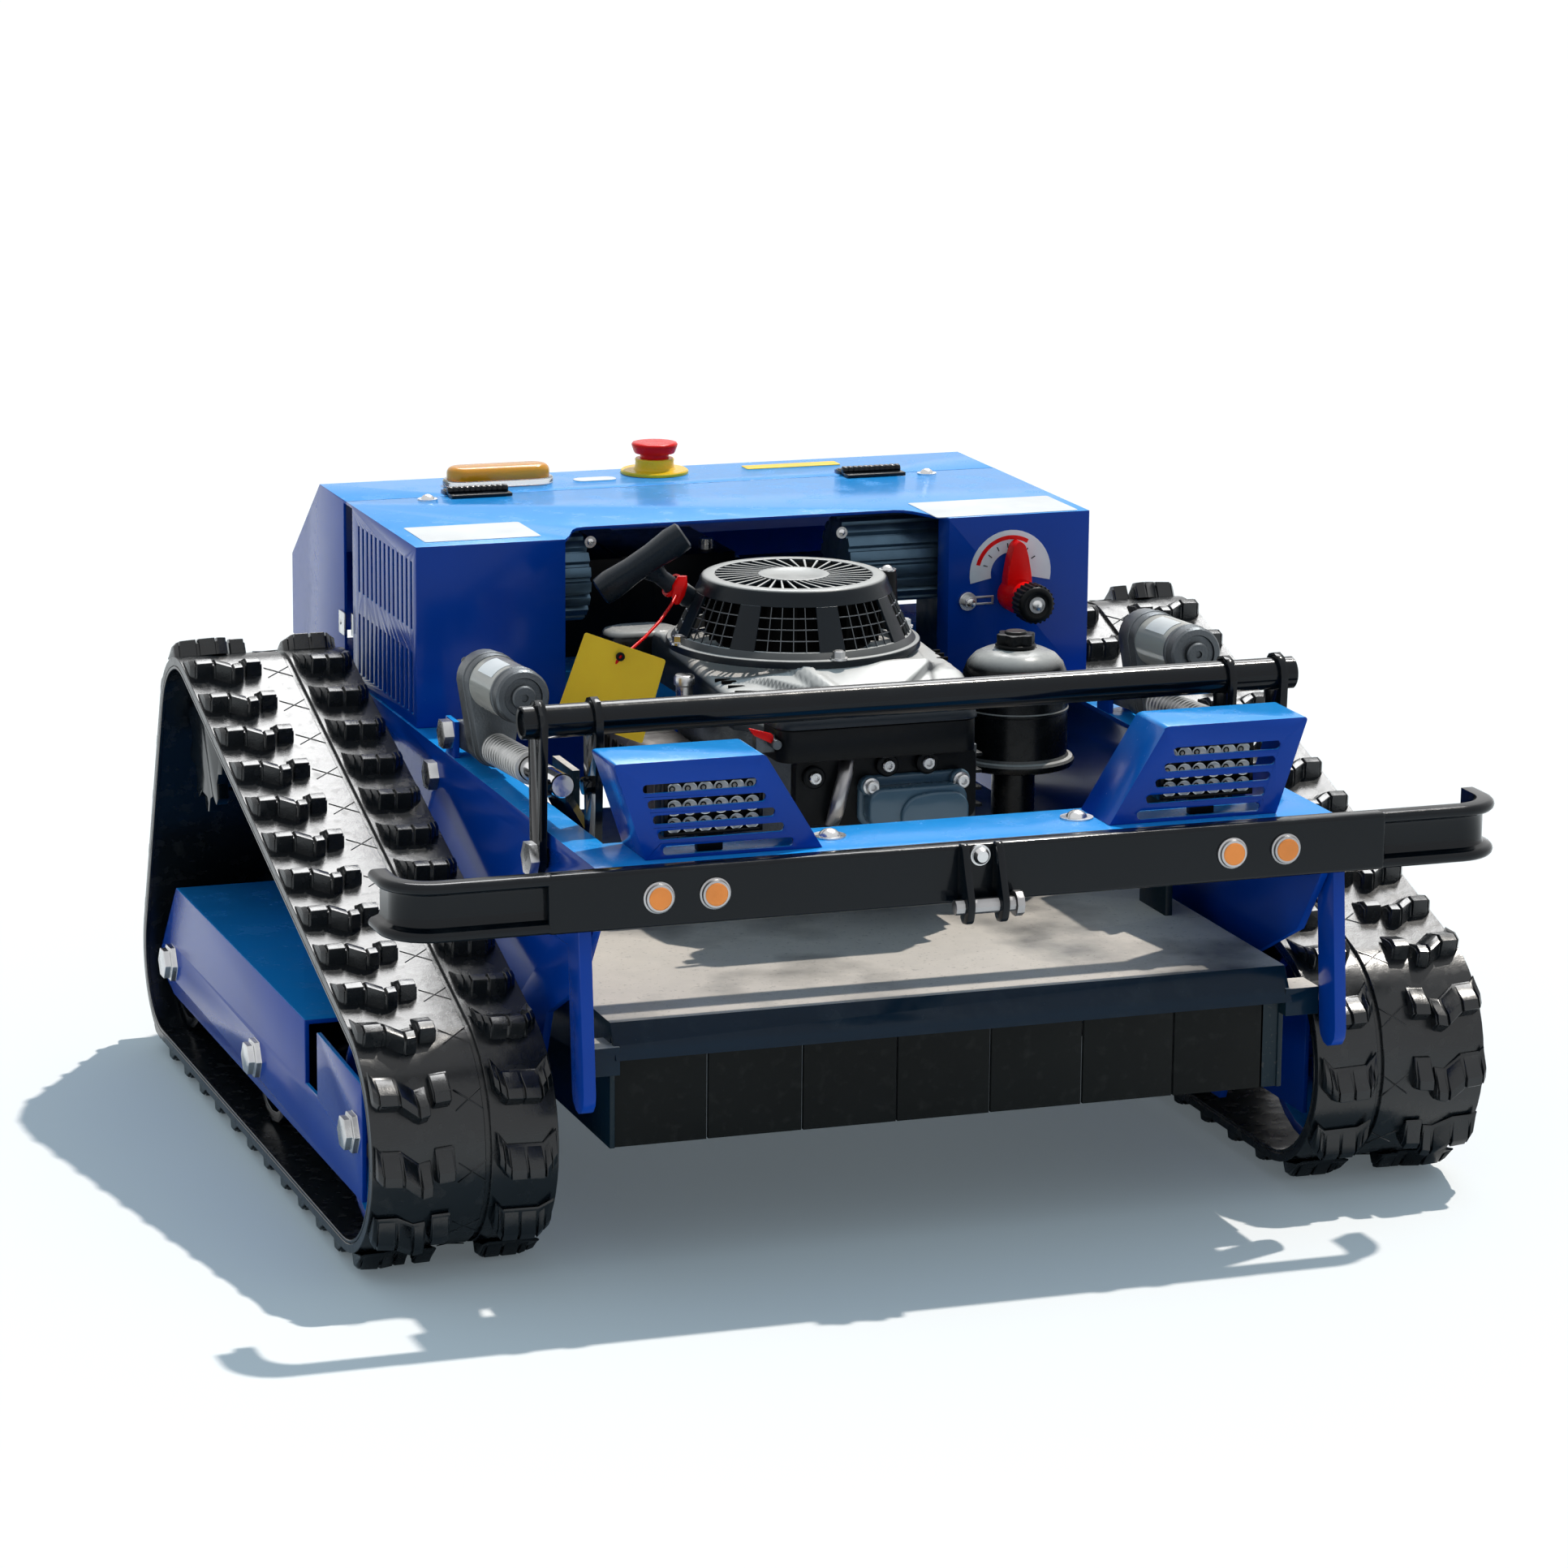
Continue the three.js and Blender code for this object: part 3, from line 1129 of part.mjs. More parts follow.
// Lift gear: levers on the rails, joined by the cross tube
function leverPair(side) {
  const plateSpan = (x) => span(side, x - leverPlateThickness / 2, x + leverPlateThickness / 2);
  const bar = capsule([pivotY, pivotZ], leverBarHalf, [pivotY, leverTopZ], leverRingRadius);
  const arm = capsule([pivotY, pivotZ], leverBarHalf, [liftPinY, liftPinZ], liftArmHalf);
  const innerFace = innerLeverX - leverPlateThickness / 2;
  const outerFace = outerLeverX + leverPlateThickness / 2;
  const levers = joined(
    plateAcross(bar, plateSpan(innerLeverX)), plateAcross(arm, plateSpan(innerLeverX)),
    plateAcross(bar, plateSpan(outerLeverX)),
    rod('x', [pivotY, pivotZ], pivotPinRadius, span(side, innerFace, outerFace + fitGap), smallSides),
    rod('x', [pivotY, pivotZ], pivotHeadRadius, span(side, outerFace, outerFace + pivotHeadThickness), hexSides),
    rod('x', [pivotY, rodPinZ], rodStubRadius,
      span(side, innerLeverX, innerLeverX + leverPlateThickness / 2 + rodStubReach), smallSides),
    rod('x', [pivotY, rodPinZ], rodStubRadius,
      span(side, outerLeverX - leverPlateThickness / 2 - rodStubReach, outerLeverX), smallSides),
    rod('x', [liftPinY, liftPinZ], liftPinRadius, span(side, innerFace - liftPinReach, innerLeverX), smallSides));
  return cut(levers, rod('x', [pivotY, leverTopZ], tubeRadius + fitGap, span(side, 0, tubeHalfLength)));
}
for (const [hand, side] of sides) add(`lift_lever_${hand}`, leverPair(side), blackSteel);
add('lift_cross_tube', cut(
  rod('x', [pivotY, leverTopZ], tubeRadius, [-tubeHalfLength, tubeHalfLength]),
  rod('x', [pivotY, leverTopZ], tubeRadius - tubeWall, [-tubeHalfLength - overrun, tubeHalfLength + overrun])), blackSteel);

// Linear actuators: tongue, gear head, motor can and bored body; the rod slides in the body
function tilted(solid) {
  const turn = THREE.MathUtils.radToDeg(-actuatorTilt);
  return solid.translate([0, -actuatorPivotY, -actuatorPivotZ])
    .rotate([turn, 0, 0])
    .translate([0, actuatorPivotY, actuatorPivotZ]);
}
for (const [hand, side] of sides) {
  const x = side * actuatorX;
  const tongue = [actuatorX - actuatorTongueHalf, actuatorX + actuatorTongueHalf];
  const body = joined(
    block(span(side, ...tongue), [gearHeadRear - overrun, actuatorPivotY + actuatorTongueBack],
      [actuatorPivotZ - actuatorTongueBack, actuatorPivotZ + actuatorTongueBack]),
    plateFacing(capsule([x, canZ], gearHeadRadius, [x, actuatorPivotZ], gearHeadFootRadius, 4), [gearHeadFront, gearHeadRear]),
    rod('y', [x, canZ], canRadius, [canFront, gearHeadFront + overrun]),
    rod('y', [x, actuatorPivotZ], bodyRadius, [bodyFront, gearHeadFront + overrun]));
  const bore = rod('y', [x, actuatorPivotZ], rodRadius + rodBoreClearance, [bodyFront - overrun, rodBoreRear], smallSides);
  const pinHole = rod('x', [actuatorPivotY, actuatorPivotZ], actuatorPinRadius + lugClearance,
    span(side, actuatorX - 2 * actuatorTongueHalf, actuatorX + 2 * actuatorTongueHalf), smallSides);
  add(`lift_actuator_${hand}`, tilted(cut(body, bore, pinHole)), greyAlloy);
  const rodFront = actuatorPivotY - actuatorReach + rodEndPast;
  add(`actuator_rod_${hand}`, tilted(rod('y', [x, actuatorPivotZ], rodRadius, [rodFront, rodRear], smallSides)), brightSteel);
}

// Lamp guards: folded sheet boxes with slots, and the lamps inside them
function lampGuard(side) {
  const guardBack = guardFront + guardDepth;
  const outer = [
    [side * guardBottomInner, hoodBottom], [side * guardBottomOuter, hoodBottom],
    [side * guardTopOuter, guardTop], [side * guardTopInner, guardTop],
  ];
  const inner = [
    [side * (guardBottomInner + guardSheet), hoodBottom - overrun],
    [side * (guardBottomOuter - guardSheet), hoodBottom - overrun],
    [side * (guardTopOuter - guardSheet), guardTop - guardSheet],
    [side * (guardTopInner + guardSheet), guardTop - guardSheet],
  ];
  const slots = Array.from({ length: guardSlots }, (_, i) => {
    const top = guardSlotTop - i * guardSlotPitch;
    const share = (guardTop - top) / (guardTop - hoodBottom);
    const from = guardTopInner + (guardBottomInner - guardTopInner) * share + guardSlotMargin;
    const to = guardTopOuter + (guardBottomOuter - guardTopOuter) * share - guardSlotMargin;
    return block(span(side, from, to), [guardFront - overrun, guardFront + guardSheet + overrun],
      [top - guardSlotHeight, top]);
  });
  return cut(plateFacing(outer, [guardFront, guardBack]),
    plateFacing(inner, [guardFront + guardSheet, guardBack + overrun]), ...slots);
}
for (const [hand, side] of sides) {
  add(`lamp_guard_${hand}`, lampGuard(side), paintBlue);
  const lampFace = guardFront + guardSheet + lampSetback;
  const footX = (lampInner + lampOuter) / 2;
  add(`work_lamp_${hand}`, joined(
    block(span(side, lampInner, lampOuter), [lampFace, lampFace + lampDepth], [lampBottom, lampTop]),
    block(span(side, footX - lampFootHalf, footX + lampFootHalf), [lampFace + lampFootDepth, lampFace + 2 * lampFootDepth],
      [hoodBottom, lampBottom + fitGap])), clearLens);
}

// Front bumper: a channel bent round at both ends, with a flat insert, bolts and tow ears
function bentStrip(front, back) {
  const inset = bumperCornerRadius;
  const edge = (reach, offset) => {
    const end = [];
    for (let i = 0; i <= bumperCornerSteps; i += 1) {
      const angle = -Math.PI / 2 + i * Math.PI / 2 / bumperCornerSteps;
      const radius = inset - offset;
      end.push([reach - inset + radius * Math.cos(angle), bumperFront + inset + radius * Math.sin(angle)]);
    }
    end.push([reach - offset, bumperFront + bumperReturn]);
    return end;
  };
  const leftOf = (points) => points.map(([x, y]) => [-x, y]).reverse();
  const outside = [...leftOf(edge(bumperLeftReach, front)), ...edge(bumperRightReach, front)];
  const inside = [...leftOf(edge(bumperLeftReach, back)), ...edge(bumperRightReach, back)].reverse();
  return [...outside, ...inside];
}
const bumperBolt = (x) => rod('y', [x, railTop - bumperHeight / 2], bumperBoltRadius,
  [bumperFront - bumperBoltThickness, bumperFront + fitGap], smallSides);
const earOutline = softened(rectangle([earFront, bumperFront + fitGap], [bumperBottom - earDrop, railTop + earRise]), earCorner);
const ear = (x) => cut(plateAcross(earOutline, [x - earThickness / 2, x + earThickness / 2]),
  rod('x', [towPinY, towPinZ], towPinRadius + fitGap, [x - earThickness, x + earThickness], smallSides));
const bumper = joined(
  plateLevel(bentStrip(0, bumperDepth), [railTop - bumperLipHeight, railTop]),
  plateLevel(bentStrip(0, bumperDepth), [bumperBottom, bumperBottom + bumperLipHeight]),
  plateLevel(bentStrip(bumperDepth - bumperWeb, bumperDepth), [bumperBottom, railTop]),
  block([-bumperInsertHalf, bumperInsertHalf], [bumperFront, bumperBack], [bumperBottom, railTop]),
  ...[-bumperBoltOuter, -bumperBoltInner, bumperBoltInner, bumperBoltOuter].map(bumperBolt),
  ear(-earSpacing / 2), ear(earSpacing / 2));
add('front_bumper', bumper, blackSteel);
add('tow_pin', joined(
  rod('x', [towPinY, towPinZ], towPinRadius, [-towPinHalf, towPinHalf], smallSides),
  rod('x', [towPinY, towPinZ], towPinHeadRadius, [towPinHalf, towPinHalf + towPinHeadLength], smallSides)), brightSteel);

export default mower;
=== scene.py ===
# %% [markdown]
# # A tracked slope mower in Blender
# The real machine is a low carrier on two rubber tracks, with a petrol engine on a mower deck between
# them. Its solids come from a CAD frame, each in its place. This lesson gives them finishes and soft
# edges, models those again that CAD keeps plain, and adds the small parts. Blender works in metres, and
# the sizes drawn here are millimetres.

# %% Frame
import json
import math

import bmesh
import bpy
from mathutils import Matrix, Vector


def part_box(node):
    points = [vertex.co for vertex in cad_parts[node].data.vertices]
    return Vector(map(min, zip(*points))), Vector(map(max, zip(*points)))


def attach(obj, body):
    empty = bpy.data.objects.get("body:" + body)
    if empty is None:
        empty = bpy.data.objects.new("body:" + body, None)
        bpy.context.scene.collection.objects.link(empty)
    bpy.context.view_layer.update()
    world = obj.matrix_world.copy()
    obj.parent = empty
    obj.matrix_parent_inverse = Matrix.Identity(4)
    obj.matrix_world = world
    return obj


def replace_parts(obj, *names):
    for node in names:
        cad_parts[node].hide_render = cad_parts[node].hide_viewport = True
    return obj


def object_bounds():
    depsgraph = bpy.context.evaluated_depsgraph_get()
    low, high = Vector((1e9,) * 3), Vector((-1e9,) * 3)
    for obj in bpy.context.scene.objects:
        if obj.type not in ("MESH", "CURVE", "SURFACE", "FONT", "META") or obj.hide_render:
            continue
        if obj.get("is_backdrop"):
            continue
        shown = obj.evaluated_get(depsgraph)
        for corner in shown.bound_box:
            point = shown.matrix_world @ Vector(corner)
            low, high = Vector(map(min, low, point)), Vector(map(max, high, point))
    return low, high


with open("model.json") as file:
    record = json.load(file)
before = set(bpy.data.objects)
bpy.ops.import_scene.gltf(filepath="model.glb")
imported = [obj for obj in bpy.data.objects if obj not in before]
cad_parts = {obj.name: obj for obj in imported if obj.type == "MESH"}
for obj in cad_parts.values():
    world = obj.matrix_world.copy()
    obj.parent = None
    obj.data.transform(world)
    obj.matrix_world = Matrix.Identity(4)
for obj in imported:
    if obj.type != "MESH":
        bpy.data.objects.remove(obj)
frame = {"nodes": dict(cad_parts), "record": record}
cad_low, cad_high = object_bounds()
MM = 0.001
X, Y, Z = Vector((1, 0, 0)), Vector((0, 1, 0)), Vector((0, 0, 1))
SIDES = (("left", -1), ("right", 1))
BODY_OF = {node: body for body, nodes in frame["record"]["behaviour"]["bodies"].items() for node in nodes}
SLOT_OF = {part["node"]: part["material_slot"] for part in frame["record"]["subparts"]}


def mm(x, y, z):
    """A point or a step given in millimetres."""
    return Vector((x, y, z)) * MM


def box_mm(node):
    """The lowest and the highest corner of a CAD node, in millimetres."""
    return [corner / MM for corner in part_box(node)]


print("nodes", len(frame["nodes"]), "box in mm", [round(v / MM) for v in cad_high - cad_low])

# %% [markdown]
# ## Camera
# The photograph was taken with a long lens, from the left of the machine's front and a little above it. A
# camera could be set by eye, but pieces that are the same on the machine's left and right fix its place
# and direction exactly. With those numbers the render falls on the photograph.

# %% Camera
LENS_PIXELS = 6693
FRAME_PIXELS = 1932
SENSOR_WIDTH = 36
CAMERA_REACH = 100
CAMERA_YAW = math.radians(19.45)
CAMERA_PITCH = math.radians(13.14)
CAMERA_ROLL = math.radians(-0.51)
CAMERA_PLACE = Vector((-1.4685, -4.163, 1.311))


def linked(name, data):
    """A new object in the scene."""
    piece = bpy.data.objects.new(name, data)
    bpy.context.scene.collection.objects.link(piece)
    return piece


def camera_axes(yaw, pitch, roll):
    """Right, up and back of a camera that looks along +Y before it turns."""
    forward = Vector((math.sin(yaw) * math.cos(pitch), math.cos(yaw) * math.cos(pitch), -math.sin(pitch)))
    right = Vector((math.cos(yaw), -math.sin(yaw), 0))
    down = forward.cross(right)
    turned_right = right * math.cos(roll) + down * math.sin(roll)
    turned_down = down * math.cos(roll) - right * math.sin(roll)
    return turned_right, -turned_down, -forward


camera_data = bpy.data.cameras.new("camera")
camera_data.sensor_width = SENSOR_WIDTH
camera_data.lens = LENS_PIXELS / FRAME_PIXELS * SENSOR_WIDTH
camera_data.clip_end = CAMERA_REACH
camera = linked("camera", camera_data)
camera_turn = Matrix(camera_axes(CAMERA_YAW, CAMERA_PITCH, CAMERA_ROLL)).transposed().to_4x4()
camera.matrix_world = Matrix.Translation(CAMERA_PLACE) @ camera_turn
bpy.context.scene.camera = camera
print("lens in mm", round(camera_data.lens, 1))

# %% [markdown]
# ## Floor
# The machine stands on a pale studio floor that keeps its shadow. Such a floor could be lit until it
# turns white, but that light would spill on the machine. A little glow that only the camera sees, set
# with Light Path in the floor's own material, lifts the floor and leaves the machine alone.

# %% Floor
FLOOR_RADIUS = 40
FLOOR_SIDES = 64
FLOOR_COLOUR = (0.97, 0.97, 0.97, 1)
FLOOR_GLOW = 0.1
GLOW_COLOUR = (0.8, 0.93, 1, 1)


def plug(tree, value, socket):
    """Links an output to a socket, or sets the socket to a number or a colour."""
    if isinstance(value, bpy.types.NodeSocket):
        tree.links.new(value, socket)
    else:
        socket.default_value = value


def add_node(tree, kind, inputs=None, **settings):
    """A shader node; its inputs are numbers, colours or the outputs of other nodes."""
    node = tree.nodes.new("ShaderNode" + kind)
    for name, value in settings.items():
        setattr(node, name, value)
    for socket, value in (inputs or {}).items():
        plug(tree, value, node.inputs[socket])
    return node


floor_paint = bpy.data.materials.new("pale_floor")
floor_paint.use_nodes = True
floor_tree = floor_paint.node_tree
floor_shader = floor_tree.nodes["Principled BSDF"]
floor_shader.inputs["Base Color"].default_value = FLOOR_COLOUR
floor_shader.inputs["Roughness"].default_value = 0.9
floor_shader.inputs["Specular IOR Level"].default_value = 0.1
camera_ray = add_node(floor_tree, "LightPath").outputs["Is Camera Ray"]
glow = add_node(floor_tree, "Emission", {"Color": GLOW_COLOUR})
glow_share = add_node(floor_tree, "Math", {0: camera_ray, 1: FLOOR_GLOW}, operation="MULTIPLY").outputs[0]
floor_ends = {"Fac": glow_share, 1: floor_shader.outputs[0], 2: glow.outputs[0]}
floor_mix = add_node(floor_tree, "MixShader", floor_ends)
floor_tree.links.new(floor_mix.outputs[0], floor_tree.nodes["Material Output"].inputs["Surface"])
floor_bm = bmesh.new()
bmesh.ops.create_circle(floor_bm, cap_ends=True, segments=FLOOR_SIDES, radius=FLOOR_RADIUS)
floor_mesh = bpy.data.meshes.new("floor")
floor_bm.to_mesh(floor_mesh)
floor_bm.free()
floor_mesh.materials.append(floor_paint)
linked("floor", floor_mesh)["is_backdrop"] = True
print("floor radius in m", FLOOR_RADIUS, "glow", FLOOR_GLOW)

# %% [markdown]
# ## Lamps
# The photograph's light comes from high on the right and a little behind, so the shadow falls to the left
# and the front. A sun lamp gives it and keeps its direction for every place. A second, very wide sun
# stands for a studio's soft box. It takes no part in diffuse light, so it shows only as pale bands on
# gloss paint, rubber and metal.

# %% Lamps
SUN_FROM = Vector((0.43, 0.27, 1)).normalized()
SUN_ENERGY = 2.7
SUN_WIDTH = 1.2
SUN_COLOUR = (1, 0.95, 0.88)
SOFT_BOX_FROM = Vector((0.25, 0.62, 0.74))
SOFT_BOX_ENERGY = 1.9
SOFT_BOX_WIDTH = 26


def sun_lamp(name, comes_from, energy, width):
    """A sun that shines from a direction and looks as wide as an angle in degrees."""
    data = bpy.data.lights.new(name, "SUN")
    data.energy = energy
    data.angle = math.radians(width)
    lamp = linked(name, data)
    lamp.rotation_euler = comes_from.to_track_quat("Z", "Y").to_euler()
    print(name, "energy", energy, "width in degrees", width)
    return lamp


sun = sun_lamp("sun", SUN_FROM, SUN_ENERGY, SUN_WIDTH)
sun.data.color = SUN_COLOUR
soft_box = sun_lamp("soft_box", SOFT_BOX_FROM, SOFT_BOX_ENERGY, SOFT_BOX_WIDTH)
soft_box.visible_diffuse = False

# %% [markdown]
# ## Sky
# The faces that the lamp misses are lit by the pale, slightly blue room. The world gives that fill. Rays
# that come straight from the camera, or that are mirrored or pass through a lens, meet plain white
# instead, as they would in front of a studio's backdrop.

# %% Sky
FILL_COLOUR = (0.62, 0.84, 1, 1)
FILL_STRENGTH = 0.48
BACKDROP = (1, 1, 1, 1)
world = bpy.data.worlds.new("sky")
bpy.context.scene.world = world
world.use_nodes = True
sky = world.node_tree
fill = sky.nodes["Background"]
fill.inputs["Color"].default_value = FILL_COLOUR
fill.inputs["Strength"].default_value = FILL_STRENGTH
backdrop = add_node(sky, "Background", {"Color": BACKDROP, "Strength": 1})
ray = add_node(sky, "LightPath").outputs
seen = add_node(sky, "Math", {0: ray["Is Camera Ray"], 1: ray["Is Glossy Ray"]}, operation="MAXIMUM")
clear = add_node(sky, "Math", {0: seen.outputs[0], 1: ray["Is Transmission Ray"]}, operation="MAXIMUM")
choice = add_node(sky, "MixShader", {"Fac": clear.outputs[0], 1: fill.outputs[0], 2: backdrop.outputs[0]})
sky.links.new(choice.outputs[0], sky.nodes["World Output"].inputs["Surface"])
bpy.context.scene.view_settings.view_transform = "Standard"
print("fill", FILL_STRENGTH)

# %% [markdown]
# ## Finishes
# No real surface has one flat colour. Every finish here starts from the same few steps: a wide noise
# varies the colour, a finer one the gloss, and a bump gives the grain. The noises read Object
# coordinates, which stay with a piece when it moves. They are in metres, so a noise scale of 100 has
# spots of about a centimetre.

# %% Steps that every finish shares
COAT_ROUGHNESS = 0.06


def shade(colour, factor):
    """A colour made darker or lighter."""
    return tuple(part * factor for part in colour)


class Finish:
    """A material whose colour, gloss and grain are built up step by step."""

    def __init__(self, name, colour, roughness, metallic=0.0, specular=0.5, coat=0.0):
        self.material = bpy.data.materials.new(name)
        self.material.use_nodes = True
        self.material.diffuse_color = (*colour, 1)
        self.tree = self.material.node_tree
        self.shader = self.tree.nodes["Principled BSDF"]
        self.shader.inputs["Metallic"].default_value = metallic
        self.shader.inputs["Specular IOR Level"].default_value = specular
        self.shader.inputs["Coat Weight"].default_value = coat
        self.shader.inputs["Coat Roughness"].default_value = COAT_ROUGHNESS
        self.place = self.add("TexCoord").outputs["Object"]
        self.colour = (*colour, 1)
        self.roughness = roughness
        self.height = None

    def add(self, kind, inputs=None, **settings):
        return add_node(self.tree, kind, inputs, **settings)

    def maths(self, operation, a, b):
        return self.add("Math", {0: a, 1: b}, operation=operation).outputs[0]

    def between(self, value, low, high):
        """Stretches a value so that low becomes 0 and high becomes 1."""
        return self.add("MapRange", {"Value": value, "From Min": low, "From Max": high}).outputs[0]

    def noise(self, scale, low=0.35, high=0.65, detail=3):
        """A noise between 0 and 1, steeper where low and high are close."""
        node = self.add("TexNoise", {"Vector": self.place, "Scale": scale, "Detail": detail})
        return self.between(node.outputs["Fac"], low, high)

    def facing_up(self, low=0.3, high=0.9):
        """One where the surface looks up at rest, zero where it looks sideways or down."""
        normal = self.add("TexCoord").outputs["Normal"]
        return self.between(self.add("SeparateXYZ", {0: normal}).outputs["Z"], low, high)

    def tint(self, mask, colour, strength=1.0):
        """Moves the colour towards another where the mask is one."""
        share = self.maths("MULTIPLY", mask, strength)
        inputs = {"Factor": share, "A": self.colour, "B": (*colour, 1)}
        self.colour = self.add("Mix", inputs, data_type="RGBA").outputs["Result"]

    def dull(self, mask, amount):
        """Takes gloss away where the mask is one."""
        self.roughness = self.maths("ADD", self.roughness, self.maths("MULTIPLY", mask, amount))

    def bump(self, value, millimetres):
        """Raises the surface where the value is one."""
        raised = self.maths("MULTIPLY", value, millimetres * MM)
        self.height = raised if self.height is None else self.maths("ADD", self.height, raised)

    def done(self):
        """Joins what was built up to the shader."""
        ends = {"Base Color": self.colour, "Roughness": self.roughness}
        if self.height is not None:
            ends["Normal"] = self.add("Bump", {"Height": self.height, "Distance": 1}).outputs[0]
        for socket, value in ends.items():
            plug(self.tree, value, self.shader.inputs[socket])
        print(self.material.name, len(self.tree.nodes), "nodes")
        return self.material


# %% [markdown]
# ## Paints
# The sheet metal is sprayed and baked in a deep gloss blue, the bumper and the levers in black. Faces
# that look up hold a little dust, and on the blue they also get a paler colour, a painted reflection of
# the bright room. A mask of the faces' own direction gives both, so that they stay in other views. The
# paint's faint orange peel is a fine bump.

# %% Gloss paints
DUST_GREY = (0.35, 0.37, 0.38)


def gloss_paint(name, colour, dust=0.25, specular=0.14, coat=0.04, roughness=0.2, top=None):
    """Sprayed paint that is dusty on the faces that look up, with a paler painted reflection there when top
    is given.
    """
    paint = Finish(name, colour, roughness, specular=specular, coat=coat)
    paint.tint(paint.noise(9), shade(colour, 0.8), 0.6)
    if top:
        # Painted reflection: upward faces take the paler top colour.
        paint.tint(paint.facing_up(0.45, 0.95), top, 0.9)
    dusty = paint.maths("MULTIPLY", paint.noise(35, 0.5, 0.75, 5), paint.facing_up())
    paint.tint(dusty, DUST_GREY, dust * 0.25)
    paint.dull(dusty, 0.35 * dust + 0.05)
    paint.dull(paint.noise(160, 0.55, 0.8), 0.08)
    paint.bump(paint.noise(420, 0.2, 0.8, 1), 0.015)
    return paint.done()


# The blue's pale top colour is a painted reflection of the bright room.
BLUE = gloss_paint("gloss_blue_paint_painted_reflection", (0.0005, 0.05, 0.36), top=(0.02, 0.40, 1.0))
BLACK = gloss_paint("gloss_black_paint", (0.0025, 0.005, 0.008), dust=0.1, specular=0.2, roughness=0.14)
NAVY = gloss_paint("navy_lip_paint", (0.003, 0.017, 0.035), dust=0.3)
GREY_CAN = gloss_paint("pale_grey_paint", (0.42, 0.40, 0.36), 0.2, coat=0.3)
BLUE_GREY = gloss_paint("blue_grey_paint", (0.085, 0.15, 0.205), dust=0.2, specular=0.35)

# %% [markdown]
# The mower deck's top is matt with dry dust and grass meal. The dust lies in wide patches over a thin
# even film, so two noises of different size are laid over the dark paint, both held to the faces that
# look up.

# %% Dusty deck paint
DUST_PATCH = (0.74, 0.68, 0.61)
DUST_FILM = (0.5, 0.47, 0.43)
DARK_SPECK = (0.1, 0.09, 0.08)
paint = Finish("dusty_deck_paint", (0.004, 0.016, 0.025), 0.34, specular=0.2, coat=0.05)
looks_up = paint.facing_up(0.5, 0.95)
patches = paint.maths("MULTIPLY", looks_up, paint.noise(7, 0.3, 0.52, 6))
film = paint.maths("MULTIPLY", looks_up, paint.noise(60, 0.3, 0.8, 4))
paint.tint(patches, DUST_PATCH, 0.94)
paint.tint(film, DUST_FILM, 0.3)
paint.tint(paint.noise(300, 0.62, 0.7), DARK_SPECK, 0.3)
paint.dull(patches, 0.4)
paint.bump(paint.noise(240, 0.3, 0.7, 3), 0.05)
DECK = paint.done()

# %% [markdown]
# ## Rubber and plastics
# New track rubber comes out of its mould with a gloss, and turns matt and a little grey where it rubs. A
# low colour with a strong specular gives that black shine, and two bumps give a fine skin over soft
# waves. The plastics have the leather grain of their moulds. Covers of the engine look pale from above
# in the light, so a paler colour is painted on their upward faces as a painted sheen.

# %% Rubber
RUBBED = (0.05, 0.05, 0.048)


def moulded_rubber(name, colour, roughness, specular):
    rubber = Finish(name, colour, roughness, specular=specular)
    rubber.tint(rubber.noise(14), shade(colour, 1.7), 0.5)
    worn = rubber.noise(90, 0.55, 0.75, 5)
    rubber.tint(worn, RUBBED, 0.2)
    rubber.dull(worn, 0.12)
    rubber.bump(rubber.noise(700, 0.3, 0.7, 2), 0.03)
    rubber.bump(rubber.noise(45, 0.3, 0.7, 2), 0.25)
    return rubber.done()


RUBBER = moulded_rubber("track_rubber_gloss", (0.003, 0.005, 0.007), 0.25, 0.5)
FLAP_RUBBER = moulded_rubber("flap_rubber", (0.004, 0.005, 0.005), 0.5, 0.12)


# %% Plastics
def moulded_plastic(name, colour, roughness, grain=0.03, specular=0.4, top=None, turn=(0.46, 0.82)):
    """Grained plastic; where it turns up between the two limits it takes the top's colour, a painted sheen.
    """
    plastic = Finish(name, colour, roughness, specular=specular)
    plastic.tint(plastic.noise(20), shade(colour, 1.4), 0.4)
    if top:
        # Painted sheen: upward faces take the pale top colour.
        plastic.tint(plastic.facing_up(*turn), top, 0.95)
    plastic.dull(plastic.noise(120, 0.45, 0.8, 4), 0.12)
    plastic.bump(plastic.noise(900, 0.3, 0.7, 2), grain)
    return plastic.done()


BLACK_PLASTIC = moulded_plastic("black_plastic", (0.004, 0.005, 0.006), 0.34, specular=0.13)
# The pale top colours of the next three plastics are painted sheen, where their upward faces catch the light.
SHROUD_PLASTIC = moulded_plastic("satin_dark_plastic_painted_sheen", (0.012, 0.017, 0.023), 0.3, 0.02, 0.25,
                                 (0.76, 0.74, 0.71), (0.55, 0.9))
FAN_PLASTIC = moulded_plastic("dark_grey_plastic_painted_sheen", (0.005, 0.009, 0.013), 0.3, 0.02, 0.2,
                              (0.55, 0.54, 0.52), (0.7, 0.95))
TANK_PLASTIC = moulded_plastic("black_tank_plastic_painted_sheen", (0.003, 0.004, 0.005), 0.24, 0.02, 0.2,
                               (0.5, 0.49, 0.47))
HANDLE_PLASTIC = moulded_plastic("blue_grey_grip", (0.005, 0.010, 0.016), 0.26, 0.02, 0.2)
RED_PLASTIC = moulded_plastic("signal_red_plastic", (0.78, 0.003, 0.003), 0.22, 0.01, 0.14)
YELLOW_PLASTIC = moulded_plastic("signal_yellow_plastic", (0.92, 0.56, 0.012), 0.26, 0.01, 0.3)
WHITE = moulded_plastic("white_sticker", (0.7, 0.71, 0.72), 0.35, 0.005)
